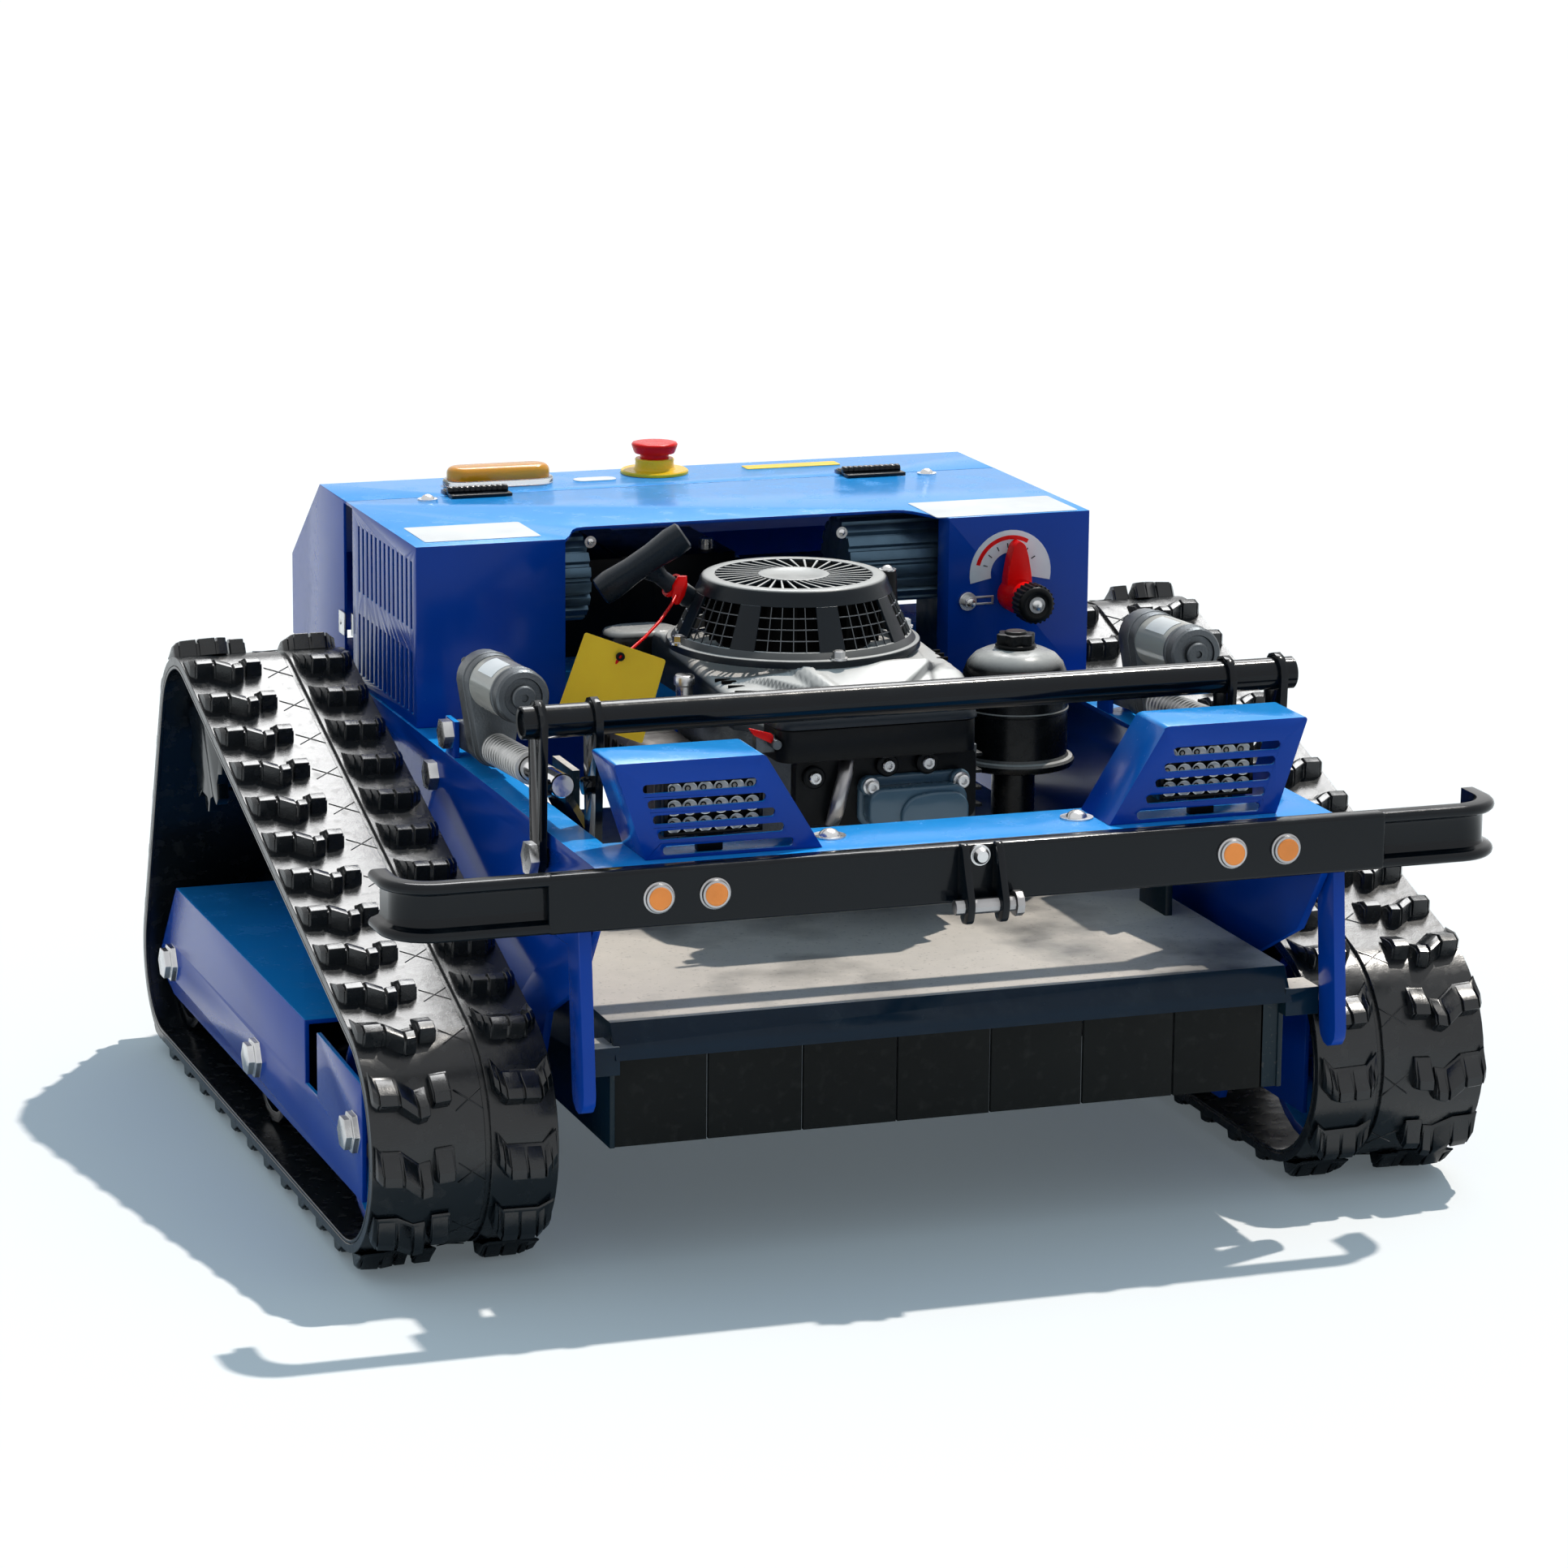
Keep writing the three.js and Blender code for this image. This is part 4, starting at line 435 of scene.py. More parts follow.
CARD = moulded_plastic("yellow_card", (1.0, 0.6, 0.03), 0.4, 0.005, 0.2)
# Near-black painted shade for the insides of slots and the dark behind the fan's bars.
PAINTED_SHADE = moulded_plastic("deep_shadow", (0.002, 0.002, 0.002), 0.8, 0.0, 0.1)

# %% [markdown]
# ## Metals
# Bolts are zinc plated, the cylinders' rods are polished, and castings are rough from the sand. All of
# them are one recipe with another colour, gloss and grain. Thin copper-coloured plating and the lamps'
# silvered bowls are only part metallic, so that they keep their colour where there is nothing bright to
# mirror.

# %% Metals
def worn_metal(name, colour, roughness, grain, scale=500, dark=0.6, metallic=1.0):
    """Bare or plated metal, darker in patches."""
    metal = Finish(name, colour, roughness, metallic=metallic)
    metal.tint(metal.noise(25, 0.4, 0.7, 4), shade(colour, dark), 0.6)
    metal.dull(metal.noise(70, 0.4, 0.7, 4), 0.18)
    metal.bump(metal.noise(scale, 0.3, 0.7, 2), grain)
    return metal.done()


ZINC = worn_metal("bright_zinc", (0.62, 0.63, 0.64), 0.24, 0.02)
STEEL = worn_metal("machined_steel", (0.45, 0.45, 0.46), 0.3, 0.02)
CAST = worn_metal("cast_alloy", (0.105, 0.118, 0.13), 0.4, 0.12, scale=650)
ALUMINIUM = worn_metal("satin_aluminium", (0.55, 0.56, 0.56), 0.34, 0.03)
SOOTY = worn_metal("sooty_steel", (0.2, 0.19, 0.18), 0.5, 0.08, dark=0.35)
CHROME = worn_metal("chrome", (0.8, 0.8, 0.81), 0.08, 0.002, dark=0.8)
LAMP_SILVER = worn_metal("lamp_silver", (0.9, 0.9, 0.88), 0.3, 0.002, dark=0.9, metallic=0.35)
COPPER = worn_metal("copper_coloured_zinc", (0.85, 0.27, 0.05), 0.35, 0.05, dark=0.7, metallic=0.3)
MOTOR_METAL = worn_metal("blue_grey_fins", (0.07, 0.125, 0.18), 0.32, 0.05, metallic=0.75)

# %% [markdown]
# ## Clear plastics
# The lamp on the roof has an amber capsule on a clear foot. Full transmission would show an empty inside,
# so the amber one lets only part of the light through and keeps a body colour.

# %% Clear plastics
ACRYLIC_IOR = 1.49


def clear_plastic(name, colour, roughness=0.05, transmission=0.9):
    clear = Finish(name, colour, roughness)
    clear.shader.inputs["Transmission Weight"].default_value = transmission
    clear.shader.inputs["IOR"].default_value = ACRYLIC_IOR
    clear.dull(clear.noise(60, 0.5, 0.8), 0.05)
    return clear.done()


AMBER = clear_plastic("amber_lens", (1.0, 0.4, 0.01), 0.15, 0.3)
GLASS = clear_plastic("clear_lens", (0.9, 0.94, 0.96))

# %% [markdown]
# ## Carried-over solids
# The CAD solids have the right shape, but their edges are perfectly sharp. Real sheet metal and castings
# have a small round on every edge, and that round catches the light. The rounds could come from a Bevel
# modifier, but triangles left by the CAD would show in it. So each solid is copied, its loose triangles
# are merged, flat areas become single faces, and then the edges get a narrow bevel. The copy stands for
# the node.

# %% Copies with rounded edges
SHARP = math.radians(32)
FLAT = math.radians(0.6)
CAD_MERGE = 2e-6


def bevelled(bm, edges, width, steps):
    """Rounds some edges over a width in millimetres."""
    bmesh.ops.bevel(bm, geom=edges, offset=width * MM, segments=steps, profile=0.5,
                    affect="EDGES", clamp_overlap=True, material=-1)


def rounded(bm, width, steps=2, angle=SHARP):
    """Rounds every edge of the mesh that is sharper than the angle."""
    sharp = [e for e in bm.edges if len(e.link_faces) == 2 and e.calc_face_angle(0) > angle]
    bevelled(bm, sharp, width, steps)


def finished(bm, node, name, material, angle=SHARP):
    """Turns a bmesh into a named piece that rides with a CAD node, smooth except at sharp edges."""
    mesh = bpy.data.meshes.new(name)
    bm.to_mesh(mesh)
    bm.free()
    mesh.materials.append(material)
    mesh.polygons.foreach_set("use_smooth", [True] * len(mesh.polygons))
    mesh.set_sharp_from_angle(angle=angle)
    piece = linked(name, mesh)
    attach(piece, BODY_OF[node])
    print(name, len(mesh.polygons), "faces")
    return piece


def dressed(node, material, width=0.8, steps=2):
    """A copy of a CAD solid with rounded edges, which stands for the node."""
    bm = bmesh.new()
    bm.from_mesh(frame["nodes"][node].data)
    bmesh.ops.remove_doubles(bm, verts=bm.verts, dist=CAD_MERGE)
    bmesh.ops.dissolve_limit(bm, angle_limit=FLAT, verts=bm.verts, edges=bm.edges)
    rounded(bm, width, steps)
    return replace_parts(finished(bm, node, node + "_surface", material), node)


# %% [markdown]
# Which finish a solid gets follows its material slot in the record. Bolt heads that belong to a painted
# node are zinc plated, and they are told apart by how far out they lie. The rubber flaps hang almost edge
# to edge on the real machine. The CAD keeps clear gaps for their hinges, so the copies are a little
# wider.

# %% Solids with their finish
FINISH_OF_SLOT = {"blue_paint": BLUE, "black_paint": BLACK, "track_rubber": FLAP_RUBBER, "cast_alloy": CAST,
                  "black_plastic": BLACK_PLASTIC, "bright_steel": STEEL}
BOTH_SIDES = ("track_belt", "lamp_guard", "work_lamp", "lift_actuator", "actuator_rod", "cover_hinge")
SINGLE = ("front_bumper", "engine_shroud", "fan_cover", "air_cleaner", "valve_cover", "fuel_tank", "fuel_cap",
          "pull_handle", "lift_cross_tube", "throttle_lever", "throttle_knob", "stop_button",
          "stop_button_base", "beacon_lamp", "mower_deck", "muffler")
REBUILT = {*SINGLE, *(f"{name}_{hand}" for name in BOTH_SIDES for hand, side in SIDES)}
BOLTS_OUTSIDE = {"track_frame": 450.3, "deck_arm": 312.7, "lift_lever": 309.4, "chassis_frame": 300.3}
FLAP_OVERLAP = 5.6


def repainted(piece, material, wanted):
    """Gives a second material to the faces that the test picks."""
    piece.data.materials.append(material)
    for face in piece.data.polygons:
        if wanted(face):
            face.material_index = 1


def widened(piece, node, extra):
    """Makes a piece wider along X, about the middle of its node."""
    low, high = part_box(node)
    middle = (low + high) / 2
    wider = Matrix.Scale(1 + extra * MM / (high.x - low.x), 4, X)
    piece.data.transform(Matrix.Translation(middle) @ wider @ Matrix.Translation(-middle))


for node, slot in SLOT_OF.items():
    if node in REBUILT:
        continue
    piece = dressed(node, MOTOR_METAL if node.startswith("drive_motor") else FINISH_OF_SLOT[slot])
    if node.startswith("front_flap"):
        widened(piece, node, FLAP_OVERLAP)
    for start, reach in BOLTS_OUTSIDE.items():
        if node.startswith(start):
            repainted(piece, ZINC, lambda face: abs(face.center.x) > reach * MM)

# %% [markdown]
# ## Rubber tracks
# A track is a moulded rubber belt with two rows of tread blocks. An array modifier along a curve could
# lay it round the wheels, but it bends every block. Here the belt is a closed band that follows the three
# wheels, and one stiff block of each row is repeated along it. First comes the path: an arc round each
# wheel and a straight run between.

# %% Path of the belt
BELT_GAP = 1.4
BELT_THICKNESS = 10
BELT_SKIN = BELT_GAP + BELT_THICKNESS
ARC_STEP = math.radians(7.5)


def wheel_circle(node):
    """Centre and radius of a wheel in the view from the side."""
    low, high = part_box(node)
    middle = (low + high) / 2
    return middle.y, middle.z, (high.z - low.z) / 2


def normal_between(a, b):
    """The angle at which a straight run leaves one wheel and meets the next."""
    along = math.atan2(b[1] - a[1], b[0] - a[0])
    return along - math.acos((a[2] - b[2]) / math.hypot(b[0] - a[0], b[1] - a[1]))


LOOP_WHEELS = [wheel_circle(name + "_left") for name in ("rear_idler", "drive_sprocket", "front_idler")]


def belt_path(offset):
    """Points round the three wheels at a distance in millimetres outside them."""
    points = []
    for i, (y, z, radius) in enumerate(LOOP_WHEELS):
        start = normal_between(LOOP_WHEELS[i - 1], LOOP_WHEELS[i])
        end = normal_between(LOOP_WHEELS[i], LOOP_WHEELS[(i + 1) % 3])
        while end < start:
            end += 2 * math.pi
        count = math.ceil((end - start) / ARC_STEP)
        reach = radius + offset * MM
        for k in range(count + 1):
            angle = start + (end - start) * k / count
            points.append((y + reach * math.cos(angle), z + reach * math.sin(angle)))
    return points


print("belt points", len(belt_path(0)))

# %% [markdown]
# Each tread block has a steep front face, a narrow crest that is cut by fine slits, and a back that
# slopes down to the belt. Its section changes across the belt, so it is a row of outlines that are
# bridged. The slits are gaps between thin slices of crest, which is lighter than cutting them. A thin rib
# between the rows leans both ways.

# %% One tread block of each row
OUTER_ROW = [(2, -3, 9), (6, 2, 13), (22, 3, 14), (36, 14, 14), (45, 12, 13.5)]
OUTER_CUBE = [(48.5, 3, 12.5), (63, 2, 12)]
INNER_ROW = [(97, -6, 8), (105, 5, 13.5), (133, 6, 13.5), (143, -5, 8)]
TREAD_ROWS = ((OUTER_ROW, 1), (OUTER_CUBE, 1), (INNER_ROW, 2))
CREST_DROP = 3.2
RIB_OUTLINE = ((67, -9), (89, 8), (89, 9.4), (67, -7.6))
BELT_EDGE = 461
BELT_WIDTH = 146


def lofted(bm, outlines):
    """A closed skin through a row of outlines with the same number of points."""
    rings = []
    for outline in outlines:
        verts = [bm.verts.new(point) for point in outline]
        rings.append([bm.edges.new(pair) for pair in zip(verts, verts[1:] + verts[:1])])
    for near, far in zip(rings, rings[1:]):
        bmesh.ops.bridge_loops(bm, edges=near + far)
    for end in (rings[0], rings[-1]):
        bmesh.ops.contextual_create(bm, geom=end)


def plate(bm, corners, depth, corner=0.0, steps=5):
    """One face from its corners, rounded in its own plane, then extruded by the vector depth."""
    known = set(bm.faces)
    face = bm.faces.new([bm.verts.new(c) for c in corners])
    if corner:
        bmesh.ops.bevel(bm, geom=list(face.verts), offset=corner * MM, segments=steps, profile=0.5,
                        affect="VERTICES", clamp_overlap=True, material=-1)
    region = [f for f in bm.faces if f not in known]
    near = {v for f in region for v in f.verts}
    grown = bmesh.ops.extrude_face_region(bm, geom=region)["geom"]
    far = [v for v in grown if isinstance(v, bmesh.types.BMVert)]
    bmesh.ops.translate(bm, verts=far, vec=depth)
    return [v for v in near if v.is_valid] + far


def template_from(bm, name):
    """A mesh that is repeated in other pieces."""
    bmesh.ops.recalc_face_normals(bm, faces=bm.faces)
    mesh = bpy.data.meshes.new(name)
    bm.to_mesh(mesh)
    bm.free()
    return mesh


def tread_section(x, front, height, crest=8.5, slope=15.0):
    """The side view of a tread block: steep front, level crest, long sloping back."""
    return [mm(x, front + 2.5, -0.6), mm(x, front - 0.5, height), mm(x, front - crest, height),
            mm(x, front - crest - slope, 1.2), mm(x, front - crest - slope - 1, -0.6)]


def tread_block(bm, stations, slits):
    """A run of sections for the body, and thin slices on its crest with slits between them."""
    lofted(bm, [tread_section(x, front - 0.8, height - CREST_DROP, 8.0) for x, front, height in stations])
    for (xa, fa, ha), (xb, fb, hb) in zip(stations, stations[1:]):
        for k in range(slits):
            low, high = k / slits + 0.05 / slits, (k + 1) / slits - 0.1 / slits
            ends = [(xa + (xb - xa) * t, fa + (fb - fa) * t, ha + (hb - ha) * t) for t in (low, high)]
            lofted(bm, [tread_section(*end) for end in ends])


def tread_template(side, name):
    """The blocks of one side of the machine; places across are counted from the belt's outer edge."""
    bm = bmesh.new()
    for stations, slits in TREAD_ROWS:
        tread_block(bm, [(side * (BELT_EDGE - u), v, h) for u, v, h in stations], slits)
    for lean in (-1, 1):
        plate(bm, [mm(side * (BELT_EDGE - u), lean * v, -0.3) for u, v in RIB_OUTLINE], Z * 0.9 * MM)
    return template_from(bm, name)


TREADS = {hand: tread_template(side, "tread_" + hand) for hand, side in SIDES}
print("faces of one step of tread", len(TREADS["left"].polygons))

# %% [markdown]
# The band has two broad strips of skin with a groove between them, and a thinner core under the skin, so
# the groove has a floor. The treads are set at equal steps on the skin's path, the same number as on the
# real belt.

# %% Belts
TREAD_COUNT = 34
TREAD_PHASE = 0.75
GROOVE = (88.6, 93.4)
MERGE = 1e-6


def belt_places(count, phase):
    """Matrices at equal steps on the belt: X across, Y along the belt, Z outwards."""
    path = belt_path(BELT_SKIN)
    steps = [math.dist(a, b) for a, b in zip(path, path[1:] + path[:1])]
    total = sum(steps)
    for k in range(count):
        left, i = (k + phase) * total / count, 0
        while left > steps[i]:
            left -= steps[i]
            i += 1
        (y, z), (next_y, next_z) = path[i], path[(i + 1) % len(path)]
        share = left / steps[i]
        along = Vector((0, (next_y - y) / steps[i], (next_z - z) / steps[i]))
        out = Vector((0, along.z, -along.y))
        axes = Matrix((X, along, out)).transposed().to_4x4()
        yield Matrix.Translation((0, y + (next_y - y) * share, z + (next_z - z) * share)) @ axes


def band(bm, x_range, inner, outer):
    """A closed band of belt between two distances from the wheels."""
    loops = []
    for offset in (inner, outer):
        verts = [bm.verts.new((x_range[0] * MM, y, z)) for y, z in belt_path(offset)]
        loops += [bm.edges.new(pair) for pair in zip(verts, verts[1:] + verts[:1])]
    faces = bmesh.ops.bridge_loops(bm, edges=loops)["faces"]
    grown = bmesh.ops.extrude_face_region(bm, geom=faces)["geom"]
    far = [v for v in grown if isinstance(v, bmesh.types.BMVert)]
    bmesh.ops.translate(bm, verts=far, vec=X * (x_range[1] - x_range[0]) * MM)


def copies(bm, template, matrices):
    """Adds a template mesh once for each matrix."""
    for matrix in matrices:
        known = len(bm.verts)
        bm.from_mesh(template)
        bm.verts.ensure_lookup_table()
        bmesh.ops.transform(bm, matrix=matrix, verts=bm.verts[known:])


def part_of(bm, node, name, material, width=0.0, steps=2, angle=SHARP):
    """A piece on the same body as a CAD node, with its edges rounded over a width in millimetres."""
    bmesh.ops.remove_doubles(bm, verts=bm.verts, dist=MERGE)
    bmesh.ops.recalc_face_normals(bm, faces=bm.faces)
    if width:
        rounded(bm, width, steps, angle)
    open_edges = sum(len(e.link_faces) != 2 for e in bm.edges)
    if open_edges:
        print(name, "has open edges:", open_edges)
    return finished(bm, node, name, material, angle)


def stands_for(bm, node, name, material, **edges):
    """A piece that takes the place of a CAD node."""
    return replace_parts(part_of(bm, node, name, material, **edges), node)


for hand, side in SIDES:
    belt_bm = bmesh.new()
    edge, inner_edge = side * BELT_EDGE, side * (BELT_EDGE - BELT_WIDTH)
    band(belt_bm, (edge - side * 1.5, inner_edge + side * 1.5), BELT_GAP + 1, BELT_SKIN - 3)
    band(belt_bm, (edge, side * (BELT_EDGE - GROOVE[0])), BELT_GAP + 3, BELT_SKIN)
    band(belt_bm, (side * (BELT_EDGE - GROOVE[1]), inner_edge), BELT_GAP + 3, BELT_SKIN)
    for low, high in ((0, 3), (BELT_WIDTH - 3, BELT_WIDTH)):
        band(belt_bm, (side * (BELT_EDGE - low), side * (BELT_EDGE - high)), BELT_GAP, BELT_GAP + 2.4)
    copies(belt_bm, TREADS[hand], belt_places(TREAD_COUNT, TREAD_PHASE))
    stands_for(belt_bm, f"track_belt_{hand}", f"track_belt_{hand}_tread", RUBBER, width=0.5, steps=1)

# %% [markdown]
# ## Front bumper
# The bumper is a rolled steel channel, bent round at both ends. Its two lips are rolled round and the web
# lies back between them. A curve with a bevel object could sweep it, but one section that is carried
# along the path and bridged from place to place gives clean ends and exact corners.

# %% Channel
BUMPER_LOW, BUMPER_HIGH = box_mm("front_bumper")
BUMPER_BOTTOM, BUMPER_TOP = 289, 334
BUMPER_BACK = -435.3
BUMPER_DEPTH = 14
WEB_FRONT = 5
LIP_RADIUS = 4.5
BEND_RADIUS = 40
BEND_STEPS = 10
RETURN_LENGTH = 62


def lip_arc(centre_height):
    """Points over the front of a rolled lip, from its top to its underside."""
    middle = BUMPER_DEPTH - LIP_RADIUS
    angles = [math.radians(a) for a in range(90, -91, -30)]
    return [(middle + LIP_RADIUS * math.cos(a), centre_height + LIP_RADIUS * math.sin(a)) for a in angles]


def channel_section():
    """Depth and height of the channel's outline, which is the same above and below its middle."""
    height = BUMPER_TOP - BUMPER_BOTTOM
    lip = lip_arc(height - LIP_RADIUS)
    upper = [(0, height), *lip, (WEB_FRONT + 1.2, height - 10.4), (WEB_FRONT, height - 13)]
    return upper + [(depth, height - rise) for depth, rise in reversed(upper)]


def channel_places():
    """Back line of the channel with its outward direction, from the left end to the right end."""
    for reach, side in ((-BUMPER_LOW.x, -1), (BUMPER_HIGH.x, 1)):
        middle = Vector((side * (reach - BEND_RADIUS), BUMPER_BACK - BUMPER_DEPTH + BEND_RADIUS, 0))
        bend = [math.radians(90 * k / BEND_STEPS) for k in range(BEND_STEPS + 1)]
        outwards = [Vector((side * math.sin(a), -math.cos(a), 0)) for a in bend]
        places = [(middle + out * (BEND_RADIUS - BUMPER_DEPTH), out) for out in outwards]
        end = Vector((side * (reach - BUMPER_DEPTH), BUMPER_BACK - BUMPER_DEPTH + RETURN_LENGTH, 0))
        places.append((end, X * side))
        yield from reversed(places) if side < 0 else places


bumper_bm = bmesh.new()
section = channel_section()
lofted(bumper_bm, [[(place + out * depth + Z * (BUMPER_BOTTOM + rise)) * MM for depth, rise in section]
                   for place, out in channel_places()])
stands_for(bumper_bm, "front_bumper", "bumper_channel", BLACK)

# %% [markdown]
# A flat bar closes the middle of the channel and carries four round reflectors, each a copper-coloured
# face in a steel washer. Round parts are drawn as half a section that spins once round its axis, as on a
# lathe.

# %% Flat bar and reflectors
FLAT_HALF = 340
FLAT_SKIN = 0.2
BUMPER_FRONT = BUMPER_BACK - BUMPER_DEPTH - FLAT_SKIN
REFLECTORS_X = (-255, -211, 209, 254)
REFLECTOR_Z = 312
WASHER_PROFILE = [(0, 0), (12.2, 0), (12.2, 1.6), (11, 2.4), (10.4, 4.4), (8.8, 4.8), (0, 4.8)]
FACE_PROFILE = [(0, 2), (8.8, 2), (8.8, 5.4), (8, 6), (0, 6)]


def block(bm, low, high):
    """A box between two corners."""
    made = bmesh.ops.create_cube(bm, size=1)["verts"]
    bmesh.ops.scale(bm, vec=high - low, verts=made)
    bmesh.ops.translate(bm, vec=(low + high) / 2, verts=made)


def turned(bm, profile, centre, axis=Z, steps=48):
    """Spins a line of radius and height pairs round an axis through the centre."""
    side = axis.orthogonal().normalized()
    points = [bm.verts.new(centre + side * radius * MM + axis * height * MM) for radius, height in profile]
    edges = [bm.edges.new(pair) for pair in zip(points, points[1:])]
    bmesh.ops.spin(bm, geom=points + edges, cent=centre, axis=axis, angle=2 * math.pi, steps=steps,
                   use_merge=True, use_duplicate=False)


flat_bm = bmesh.new()
block(flat_bm, mm(-FLAT_HALF, BUMPER_FRONT, BUMPER_BOTTOM - FLAT_SKIN),
      mm(FLAT_HALF, BUMPER_BACK + 0.1, BUMPER_TOP + FLAT_SKIN))
part_of(flat_bm, "front_bumper", "bumper_flat", BLACK, width=3.5, steps=4)
washer_bm, face_bm = bmesh.new(), bmesh.new()
for x in REFLECTORS_X:
    turned(washer_bm, WASHER_PROFILE, mm(x, BUMPER_FRONT, REFLECTOR_Z), -Y, 40)
    turned(face_bm, FACE_PROFILE, mm(x, BUMPER_FRONT, REFLECTOR_Z), -Y, 40)
part_of(washer_bm, "front_bumper", "bumper_bolt_washers", STEEL)
part_of(face_bm, "front_bumper", "bumper_bolt_faces", COPPER)

# %% [markdown]
# Two ears of thick plate, cut to one outline, take a tow pin in front of the bumper. A bolt between them
# holds the bar.

# %% Tow ears
EAR_OUTLINE = ((-448, 336.5), (-457, 336.5), (-463, 318), (-474, 292), (-470, 277), (-457, 275), (-450, 290),
               (-448, 300))
EARS_X = (-17, 11)
EAR_THICKNESS = 6
EAR_BOLT = mm(0, BUMPER_FRONT, 326)
EAR_BOLT_PROFILE = [(0, 2.5), (6.5, 2.5), (6.5, 5), (4.5, 8), (0, 8.6)]


def bar(bm, start, end, radius, sides=32, end_radius=None):
    """A round or, with few sides, a prismatic bar between two points."""
    far = radius if end_radius is None else end_radius
    made = bmesh.ops.create_cone(bm, cap_ends=True, segments=sides, radius1=radius * MM, radius2=far * MM,
                                 depth=(end - start).length)["verts"]
    turn_to = (end - start).to_track_quat("Z", "Y").to_matrix().to_4x4()
    bmesh.ops.transform(bm, matrix=Matrix.Translation((start + end) / 2) @ turn_to, verts=made)


ear_bm = bmesh.new()
for x in EARS_X:
    plate(ear_bm, [mm(x, y, z) for y, z in EAR_OUTLINE], X * EAR_THICKNESS * MM, corner=6)
part_of(ear_bm, "front_bumper", "tow_ears", BLACK, width=1.2)
ear_bolt_bm = bmesh.new()
bar(ear_bolt_bm, EAR_BOLT, EAR_BOLT - Y * 3 * MM, 8, 28)
turned(ear_bolt_bm, EAR_BOLT_PROFILE, EAR_BOLT, -Y, 28)
part_of(ear_bolt_bm, "front_bumper", "ear_bolt", ZINC)

# %% [markdown]
# ## Lamp guards
# Each guard is a folded sheet with five slots that were cut by laser, so their ends are round. The CAD
# guard has square slot ends. A bevel on the short edges in the slots makes them round, and a wider bevel
# bends the folds. Flat areas aren't joined first here, because large faces with holes would close the
# slots.

# %% Guards
GUARD_SHEET = 3
SLOT_END = 3.4
FOLD_RADIUS = 3
FOLD_ABOVE = 0.4


def edge_along(edge, axis):
    """Whether an edge runs along an axis."""
    return abs((edge.verts[1].co - edge.verts[0].co).normalized().dot(axis)) > 0.999


for hand, side in SIDES:
    node = f"lamp_guard_{hand}"
    guard_bm = bmesh.new()
    guard_bm.from_mesh(frame["nodes"][node].data)
    bmesh.ops.remove_doubles(guard_bm, verts=guard_bm.verts, dist=CAD_MERGE)
    across = [e for e in guard_bm.edges if edge_along(e, Y)]
    slot_ends = [e for e in across if e.calc_length() < (GUARD_SHEET + 1) * MM]
    folds = [e for e in across if e.calc_length() > 10 * GUARD_SHEET * MM and e.verts[0].co.z > FOLD_ABOVE]
    bevelled(guard_bm, slot_ends, SLOT_END, 5)
    bevelled(guard_bm, [e for e in folds if e.is_valid], FOLD_RADIUS, 4)
    stands_for(guard_bm, node, node + "_surface", BLUE, width=0.7)

# %% [markdown]
# ## Work lamps
# Behind the slots sits a lamp: a black housing with a raised rim, and rows of small silvered bowls, each
# round one pale light chip. A bowl and a chip are turned once and copied to a grid of places.

# %% Lamp housing, reflectors and chips
LAMP_ROWS, LAMP_COLUMNS = 3, 6
LAMP_BOTTOM = 349
BOWL_PROFILE = [(0, -6), (2.2, -6), (3.6, -4.6), (5.2, -2), (6.1, 0), (6.1, 0.8), (5.6, 0.8), (4.7, -1.6),
                (3.1, -4.0), (2, -5.2), (0, -5.2)]
CHIP_PROFILE = [(0, -5.4), (1.5, -5.4), (1.5, -4.2), (1, -3.6), (0, -3.4)]


def turned_template(profile, axis, steps, name):
    bm = bmesh.new()
    turned(bm, profile, Vector(), axis, steps)
    return template_from(bm, name)


def lamp_housing(bm, low, high):
    """A box with a rim of four bars and a foot."""
    block(bm, mm(low.x, low.y + 7, LAMP_BOTTOM), mm(high.x, high.y, high.z))
    for x in (low.x + 1.5, high.x - 1.5):
        block(bm, mm(x - 1.5, low.y + 0.6, LAMP_BOTTOM), mm(x + 1.5, low.y + 8.1, high.z))
    for z in (LAMP_BOTTOM + 1.4, high.z - 1.4):
        block(bm, mm(low.x + 0.1, low.y + 0.7, z - 1.4), mm(high.x - 0.1, low.y + 8, z + 1.4))
    middle = (low.x + high.x) / 2
    block(bm, mm(middle - 10, low.y + 8, low.z), mm(middle + 10, low.y + 16, LAMP_BOTTOM + 1))


def bowl_places(low, high):
    """A grid of matrices on the lamp's face."""
    across = (high.x - low.x - 4) / LAMP_COLUMNS
    up = (high.z - LAMP_BOTTOM - 3) / LAMP_ROWS
    places_x = [low.x + 2 + across * (i + 0.5) for i in range(LAMP_COLUMNS)]
    places_z = [LAMP_BOTTOM + 1.5 + up * (k + 0.5) for k in range(LAMP_ROWS)]
    return [Matrix.Translation(mm(x, low.y + 2.4, z)) for x in places_x for z in places_z]


bowl = turned_template(BOWL_PROFILE, -Y, 20, "lamp_bowl")
chip = turned_template(CHIP_PROFILE, -Y, 12, "lamp_chip")
for hand, side in SIDES:
    node = f"work_lamp_{hand}"
    low, high = box_mm(node)
    housing_bm, reflector_bm, chip_bm = bmesh.new(), bmesh.new(), bmesh.new()
    lamp_housing(housing_bm, low, high)
    stands_for(housing_bm, node, f"lamp_housing_{hand}", BLACK_PLASTIC, width=0.5)
    copies(reflector_bm, bowl, bowl_places(low, high))
    part_of(reflector_bm, node, f"lamp_reflectors_{hand}", LAMP_SILVER)
    copies(chip_bm, chip, bowl_places(low, high))
    part_of(chip_bm, node, f"lamp_chips_{hand}", GREY_CAN)

